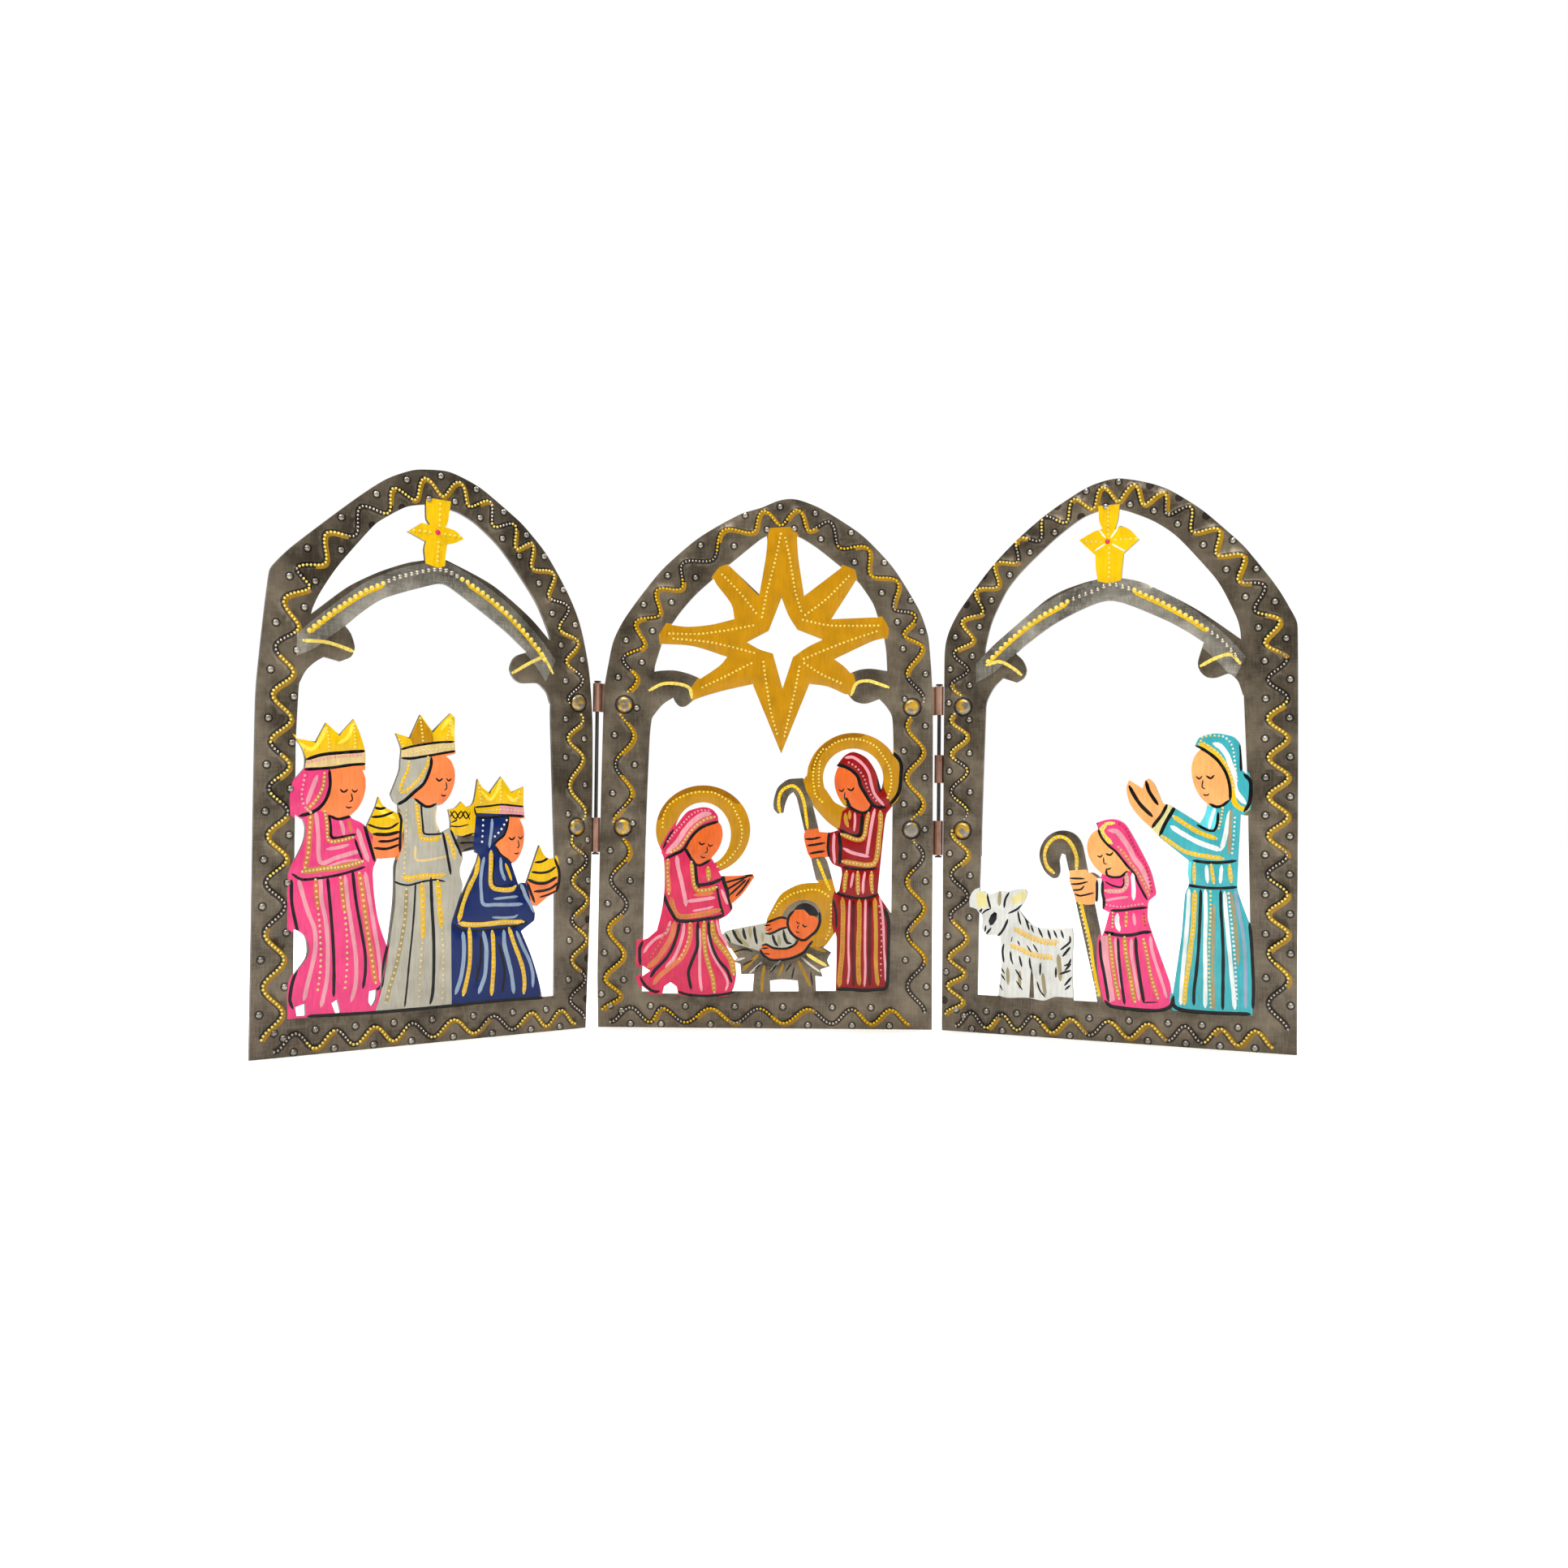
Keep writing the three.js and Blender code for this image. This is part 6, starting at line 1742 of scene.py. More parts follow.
CENTRE_TEXT = """
B l 1.2 l .5 2 -44.8 126.4 -39.8 128.9 -33.8 128.9 -29.8 127.4 -28.9 123.9 / 31.2 125.4 33.2 129.8
 37.3 130.8 41.2 129.8 45.2 128.4
F e -.5 188.3 -1 183 -1.9 174 -4 162.6 -10 168.6 -15.3 174.6 -19 173.3 -22 169.3 -19 164.5 -14.9
 159.3 -13.8 154.2 -21.8 152.2 -30.5 151.3 -38.8 151.9 -41.6 147.3 -41.2 143.7 -35.1 143.4 -26.4
 142.2 -16.6 139.2 -19.4 135.9 -26.2 131.6 -29.6 126.9 -28.9 122.2 -17.8 125.7 -6.6 128.4 -3.1
 120.4 2.4 107 5 101.5 8.2 109.2 11.7 118.4 15.8 128.7 22.2 127.8 30.9 124.8 32.7 130.3 31.5 134.2
 29 136.9 25.8 139 30.2 141 38.9 145.2 44.7 146.8 45.3 150.7 42.7 155.2 34.7 155.2 24.4 154.6 27.8
 160.2 33.3 168.8 32.2 172.9 27.5 174.7 20 168.8 13.6 163.4 12.7 169.2 11.5 177.1 10.8 186 7.6
 188.9
D l .5 1.6 4.1 186.1 2.2 176.6 -.8 164.5 -2.7 154.5 / 5.8 184.6 7.8 175.7 9.7 164.5 12 157 / -17.9
 170.5 -11.1 163.6 -5 156 / -37.6 147.9 -26.3 147.9 -16.7 149.2 -6 151.3 / -36 146 -23.7 145 -15.1
 143.3 -5.6 140.9 / -24.9 127.7 -17 131.6 -6.6 137 / -2.1 137.5 -.9 129.8 1 118.6 3.4 110.5 / 11.6
 135.8 9.9 126.4 7.4 115.1 6.2 109.6 / 13.4 137.2 19.5 133.3 27.2 129.8 / 12.8 153.6 21.7 151.7
 30.4 151.5 41.2 151.7 / 13.2 138.8 21.5 142.4 30.3 145.9 40.6 149.5 / 30 170.3 21.9 161.9 13.6
 155.4
F e -24.1 91.6 -33 88.8 -40 82.5 -42.8 75 -41.4 66.5 -38.5 62 -31 66 -18 56 -10 60.5 -5.6 68 -5.4
 76 -9 84 -15.5 89.6
S U 2.4 -41 78 -38.6 83.5 -33.5 87.6 -27 89.8 -20 89.6 -14 87 -11 84.4
D y .46 1.5 -39.3 75 -39 79 -37.5 82.5 -35 85 -31 87 -26 88.3 -21 88.2
D l .46 1.5 -19.6 87.8 -17.2 86.6 -13.8 84.1 -11.7 80.5 -10 76.8 -9.4 72.4 -10.4 68.3 -12.7 65
 -15.6 62 -18.5 60.3
F u -39.6 66 -38 56 -38.6 50 -40.2 42 -41.5 37 -44.5 34 -48.6 32.6 -48.8 23 -44 21.2 -48.8 19 -47.5
 15 -42.5 12.3 -36 12.8 -30 11.8 -22 11.6 -14 12 -11.5 14 -10.6 20 -11.5 26 -14.5 32 -17 38 -17.3
 41 -14 41.6 -12 44.6 -12.8 48 -15 53 -16.6 57.4 -19 61.5 -21.5 65 -31 68 -36 66
F S -14 12 -9.4 20 -11.4 24 -10.6 26.1 -14 30.5 -15.8 36 -12 37.2 -5 38.6 .2 40 8 42 20 36 24.5 31
 25 28.6 23.4 25.7 24.6 23.4 20.8 22 19 19.6 19.4 12
F e -1 37.6 0 42 2.2 46.6 5.8 51.4 12.2 54.6 19 55.6 24.6 56 28 49 28 37.6 25.8 34 23 31.4 17.5
 30.2 12 33 8 38 5 41.5 .5 40
F S 6 42.2 7.6 45 10.5 47.3 14 48.2 18 47.2 20.4 43.8 20.8 40 19 35.5 14 33 9 35
F i -18 35 -16 37.4 -10 38 -5 39 .2 40.4 -.4 36.8 1.4 35.4 3.2 36 5.1 37 8 37.7 9 36 11 34.1 10.6
 31.2 7.8 29.9 2.8 30 -1.5 31 -2.4 28.8 -7 30.2 -12 31.5 -16 33
S x 1.5 -11.5 36.7 -9.5 33 -6.5 30.6
S x 1.3 -6.3 37.6 -5.9 34 / -1.4 35.6 -1.3 32.6 / 4.6 34.6 5.2 31.4
S k 1.1 -12.6 36.8 -11 33.6 -9 31.5
S k .9 -15.2 35.2 -13.4 32
S k 1.1 -8.6 37.2 -8.3 35 -7.6 33.2 / -4.5 37.9 -4.2 35 -3.4 31.6 / 2.4 34.9 3.3 32.2 4.4 30.8 /
 6.5 36.6 7 34 8 32 9.4 31.7
F k 10.2 44.2 12 46.3 15 47 18.2 45.4 19.6 43 18.6 41.4 16.2 42 15.4 43.4 14 44.6
F f 8.2 42.3 8 39.3 8.9 36.4 11.1 34.2 14 33.2 16.8 34.7 19 37.2 19.8 40.2 18.5 42 16.2 42.4 14.2
 44.2 10.5 44.3 / .4 39.4 2.4 40.4 5.7 41.5 8.3 40.9 8 37.7 5.1 37 3.2 36 1.4 35.4 -.4 36.8 / -2.2
 29.4 -1.5 31 0 31.4 2.8 30 7.8 29.9 10.8 31.3 12 33 14.5 33.2 17 33 16 31 14 28.5 10 26.5 5.3 25.7
 1.6 25.8 -1.3 27.7
S k 1 -2.2 29.4 -1.3 27.7 1.6 25.7 5.3 25.6 9.9 26.4 14.1 28.5 16 31 17.4 32.7
S k .9 -1.5 31 0 31.4 2.8 30 7.8 29.9 10.8 31.4 12 33 / .3 39.5 2.4 40.4 5.7 41.5 8.3 40.8 / -.2
 35.4 1.4 35.3 3.2 36 5.1 37 7.8 37.8
S k .6 -.6 38.4 1.6 38.6 / .5 36.5 2 37.4 / -1.6 29.8 .8 30 / -.8 28 1.5 27.7
S k 1 10.3 44 8.7 42.2 8 39.3 8.9 36.4 11.1 34.1 14.1 33 16.7 34.7 19.1 37.2 20.1 40.2 19.9 43.5
D y .46 1.4 2.6 43.2 4.5 46.4 6.6 48.3 9.5 50.2 12.8 51.3 17 52 20.3 51.5 23.2 49.6
D l .46 1.4 24.2 46.4 24.3 42 23.7 36.4 22.6 33.6
S L 1.2 -3 27.4 -6 24.4 -8.6 21.6 / -.6 23.2 -1.3 18 -1.4 13.6
S L 1.0 6.6 24 4.8 19.6
S L 1.2 12.2 25.2 14.7 20.2 16.6 16
S l 1.3 15.4 27.8 19 25.6 22.6 23.6
S L 1.1 17.6 30.6 22.4 28.8
S L 1.0 -13 29.6 -10.6 27.6
S s .8 -11.5 25.3 -8 26.2 / -6 20.6 -1.6 24.6 / 2 22 5.4 25.2 / 13.2 26.8 17 23.6 20.4 21.2
S k .6 -12.5 28.2 -8 29.5 -5 28.6 / 1.8 20.9 4 23.7 / 7.5 21.3 9.5 24.2 / -8.7 23.5 -5 25.5 / -4 22
 -2 24 / 9.8 18.6 10.6 23 / 17.6 16.2 16.8 21
S p 1.1 -36 39.6 -37.5 35.4 -41.2 33.3 -44.2 30.4 -45.8 27.9
S p 1.2 -30.8 38.8 -31.2 35 -32.5 30.4 -34.6 25.8 -37.5 22.5
S p 1.1 -24.8 37 -24.8 30 -24.8 24.2 -24.6 18.3 -24 13.8
S p .9 -21.9 34.6 -21 30 -18.5 24.6 -15.4 20 -14.2 16.7 -15 14
S p 1 -18.6 40 -17.5 35.8 -15 31.7 -12.5 26.7
S o 1.9 -34.4 39.2 -35.4 34.2 -37.9 29.6 -41.2 25 -44.2 22.5
D o .5 1.7 -36.6 37.5 -38.5 34 -41 29.5 -43.1 26.2
S o 1.8 -28.5 39.6 -28.5 34 -29.6 30 -31.7 26.2 -35.8 22.5 -40 19 -41.9 16.2
D c .46 1.7 -28.6 39 -28.9 34 -30.4 29.6 -32.4 25.6
B O 1.6 c .46 1.6 -23.3 39.6 -23.3 34.2 -22.7 28.3 -21.2 22.9 -19.8 18.3 -19.2 13.3
B O 2.1 c .46 1.6 -20.4 39.6 -19.8 35.4 -17.9 31.7 -15 28.3 -12.9 25 -11.9 20
S k 1.2 -32.5 39.2 -33.3 35 -35 30 -37.1 26.2 -39.2 23.8 -41.7 21.2 -43.1 18.8 / -25.6 39.8 -25.8
 35 -25.8 30 -27.5 25.4 -29 20.8 -28.5 17.1 -27.9 14.4
S k 1.1 -21.7 39.8 -21.2 34.2 -19.6 28.8 -17.5 25 -14.6 21.7 -13.1 17.9 -12.8 17 / -47 18.7 -45.8
 16.5 -43.8 14.4 -41.5 13.3 -39.8 13.5
S k 1.2 -46.2 32.1 -47.3 29.6 -47.3 26 -47.1 23.3
S k 1 -33 13.4 -29 12.3 -22 11.9 -16 12.5 -12 13.3
B o 1.9 O .45 1.3 -35.8 48.3 -35 45 -33.5 42.1 -31 41.4 -25 42.3 -19.2 43.7 -17.4 44.2
S p 1.5 -33.8 64 -33.3 60 -32 55 -31 50.3 -30.4 47.5 -30.2 45.6
S p 1.3 -29.5 47.2 -23.3 48.1 -19.5 48.7
S p .8 -27.5 43.6 -22 44.7 -20 45.3
S o 1.5 -27 49.6 -20.2 50.4
B o 1.8 c .46 1.6 -37.2 62.8 -37.3 57.8 -36.9 54 -36.7 50
B O 1.6 c .46 1.4 -28.3 62 -27.8 58 -27.2 54 -26 51.4 -21.7 51.6 -18.8 52.6
B O 2 c .46 1.5 -22.1 60 -21.7 55.4
S p 1.2 -16.9 51.6 -14.6 46.4
S k 1.3 -38.8 50 -37.1 45.8 -34.8 41.7 -33.3 40 -29.2 39.8 -24.2 40.4 -19.2 41.2 -16 42.2
S k 1 -18.7 53.4 -18.2 50 -17 45 -16.1 42.4
S k .9 -15 50 -13.7 46.5 -13.2 44
S k 1.3 -26 53.2 -22 53.8 -19.2 54.6 -17 55.8
F f -30.8 67.4 -28.6 63.4 -27.1 61.1 -25.4 60.7 -23.3 61.6 -21.2 62.6 -18 65.5 -15.8 72 -17.6 78
 -20.8 76.7 -24.2 75.4 -26.9 73.3 -29.2 70.3
F u -17.6 77.6 -19.5 83 -24.3 84 -30.5 82 -34.4 77 -37 73.4 -41 66 -39.5 62.2 -35 64.7 -31.8 66.3
 -30.8 67.6 -29.2 70.3 -26.9 73.3 -24.2 75.4 -20.8 76.7
S p 1.9 -21.4 80.2 -24.2 79.8 -28.2 77 -31 73.7 -33.1 70.3 -35.4 67.4 -37.6 65.3
D p .46 1.4 -22 81.4 -25.4 81.3 -28.4 79.8 -31 77.2 -33.3 74.5 -35.4 72.2 -37.3 69.6
B o 1.5 c .46 1.4 -19.8 79 -22.9 78.2 -26.7 75.6 -29.2 72.8 -31.4 69.4 -33.3 67.2 -36 65.6
S k 1.2 -18.5 77.2 -20.8 76.6 -24.2 75.3 -26.9 73.2 -29.2 70.3 -30.8 67.4 -32 66.2 -35 64.7 -37.9
 63.2 / -30.8 67.2 -28.5 63.2 -27 61.2 -26.5 57 -26 53.7 -25.2 52.4
S k 1 -27 61.3 -25.4 60.7 -23.3 61.6 -21.3 62.8
S k .8 -35.2 74.1 -37.1 71.2 -39 67
F f -16.8 57.6 -4 58.6 -5.6 54 -8.8 49.6 -13.4 46 -14.6 49 -16 53.6
S k 1.4 -16.7 57.4 -16 54.5 -14.8 51.2 -14.2 48.4
S k .8 -15.8 54.3 -12.1 55.3 -7.1 56.7 / -15.2 51.6 -11.7 53.7 -8.5 55.8 / -13.8 49.7 -10.8 52.5
 -7.8 55.4 / -11.5 49.3 -9 52 -6.3 56
S k 1 -8 57.2 -5.4 57
F e 13.4 94 14.8 100 18.6 107 25 111.6 33 112.6 42 110.6 47.5 105 50.6 99 50.6 92 49 86 45.5 83 40
 83 36 81 30 84 27.4 73.4 24 76 20 80.6 16.3 85 14.2 89.6
F S 13.6 92.6 9 88.6 10.5 86 14 74 17.6 74 21 74 16.6 85.4 14.6 89
S U 2 16.6 97 19.4 103.4 24 107.6 30 110.2 36 110.4
D y .46 1.4 20.8 104.8 18.7 102 17.4 98 17.1 94 17.4 91 18.2 87.4 20.6 85
D l .46 1.4 19.6 100.2 19.3 96 19.3 91 / 22 104.8 25 107.1 28.8 108.5 32.9 108.7 37 107.9 40.8
 105.8 43.8 101.8 45.8 98.2 46.6 93.8 46.2 90 45.2 86.8
S k 1.4 47 104 50 100.3 50.2 95 49.3 88.7 46.2 84.3
F r 24.6 98.9 27.6 103.4 32.3 105 37.8 102.6 41.6 98 43 92.6 45.6 86.4 47 83.6 44.4 82 38.4 82 36
 81.3 38.3 85.8 36.6 88.7 35.1 91.3 34 94.6 32.1 96.7 29.2 98.4
F f 24.2 99.2 29.2 98.4 32.1 96.7 34 94.6 35.1 91.3 36.6 88.7 38.4 85.8 38.2 82.4 36 81 32.9 82 31
 83.3 29 85.8 24.6 88 23.6 93
F r 28.2 81.6 31 83.4 36 81 38.3 82 44.5 84.4 46.2 83.6 44.9 77.6 44 69.6 42.9 59.5 42.4 51.3 44.3
 48 45.2 45 45.7 41.8 45.7 14.8 25.6 14.4 25.7 33.5 24.6 40 24.8 49 25.8 52 26.7 52 27.7 58 27.4 60
 24.2 61.4 22.5 64.6 22.1 69.6 23.2 74.2 27.2 75.4
F k 41.4 94 43.4 94 43.6 91.4 42.4 88.6 41.4 90
S p 1.1 29.2 101.7 32 101.9 35.4 99.7 37.9 96.2 39 92 40 88.7 41.7 86.2 43.8 84
D p .42 1.5 30.5 99.9 33.5 98 36.4 94 37.3 91 38.6 88.2 40.9 85.6
S k 1.3 25.8 99.1 29.2 98.3 32.1 96.6 34 94.5 35 91.2 36.5 88.7 38.3 85.8 40.2 83.7 42 83.2 44.4
 83.2
S k 1.2 29.7 86.6 30.2 85.2 31 83.3 32.9 82 36 81 38.3 82 39.2 84
S O 1.5 29.4 80.6 29.6 78 30.4 75.8
S O 1.2 30.9 81.6 31 78.6
S p .9 32.9 81 33 78 32.7 74.2
S k 1.4 35.8 80.5 35.5 76 34.7 72.6 31 72.6 27.5 74.5
B O 1.6 c .44 1.2 38.1 81 37.3 77 36.7 72.8 35.4 71 33 71 30.4 72 27.9 72.9
S p 1.2 40.4 82.4 39.6 78.7 38.7 73.2 37.8 66.8 37.6 65 / 28.8 67.6 32 66 38.2 64.6
B O 1.8 c .44 1.4 42.5 81.6 42.6 77 42.1 72 41.7 67 41 63.2 40.2 61.8 37.5 61.4 32.2 62.1 28.4 62.7
S k 1 28.6 60.6 35 59.8 41.3 60.2 / 23.3 73.5 22.9 67.8 23.6 63.8
S p 1.1 25.2 73.2 25 68 25.5 62
S k 1.3 27 73.4 27.6 68 27.3 61.8
F f 13 72.4 14 66 15.6 63.4 20.5 64.4 23.2 64 22.7 69.6 23.2 74.6 19 75 13.6 74.2
S k .9 14.4 71 17 71 20 71.7 / 15.2 68.5 18 68.9 21.7 69.6 / 16 65.5 18.5 66 21.7 66.5
B a 1.2 y .44 1.4 4.8 81 4.2 84 4.7 87.8 6.7 90.1 9.6 90.9 12 89 13.7 85 14.5 80 15.2 75 / 19 63.2
 20.4 60 22 56 23.8 52
B O 1.6 c .42 1.3 30 59 29.4 55 29.2 51.5 / 34.2 58.8 34.2 55 34.4 50.6
B O 1.5 c .42 1.4 39.4 58.8 39.3 55 39.8 51
S p 1 32.5 58.4 31.6 53 / 36.9 58.7 36.3 55 36.2 50.8
S k 1.1 25.8 51 29.4 49.9 33.9 49 38 49.2 41.6 50.4
S d 1.4 32.7 48 32.5 38 32.6 28 32.9 20 33 16 / 38.9 48.2 38.8 36 38.8 26 39 16.4
S d 1.2 45.3 44 45.8 38 45.9 30 45.9 20
B O 1.7 O .44 1.4 28.5 48.8 28.8 44 28.7 36 28.5 28 27.8 20.4 27.6 16 / 34.8 48.2 34.9 40 34.7 30
 34.7 22 35.1 16.6
S O 1.5 40.7 48.8 40.9 44 41.2 36 41.2 26 41.6 20 42.1 16.6
S p .8 31.2 48.2 31 40 30.9 30 31.2 22.2 30.7 16.8
S p .9 37.2 48.4 37.1 40 37.1 30 37.3 22 37 16 / 42.5 49.4 43.5 44 44 38 44.3 30 44.9 22 45 18
D p .4 2.2 42.3 46 43 41 43.3 34 43.1 27 43.2 20
S k .9 25 48.3 25.6 46 26.2 43 26.3 38
S k 1.3 26.8 14.7 30.3 14.9 37 14.5 42 14.9 45 15.4 45.7 18.5 45.9 30 45.9 40.4 45.2 43 44.4 45
"""
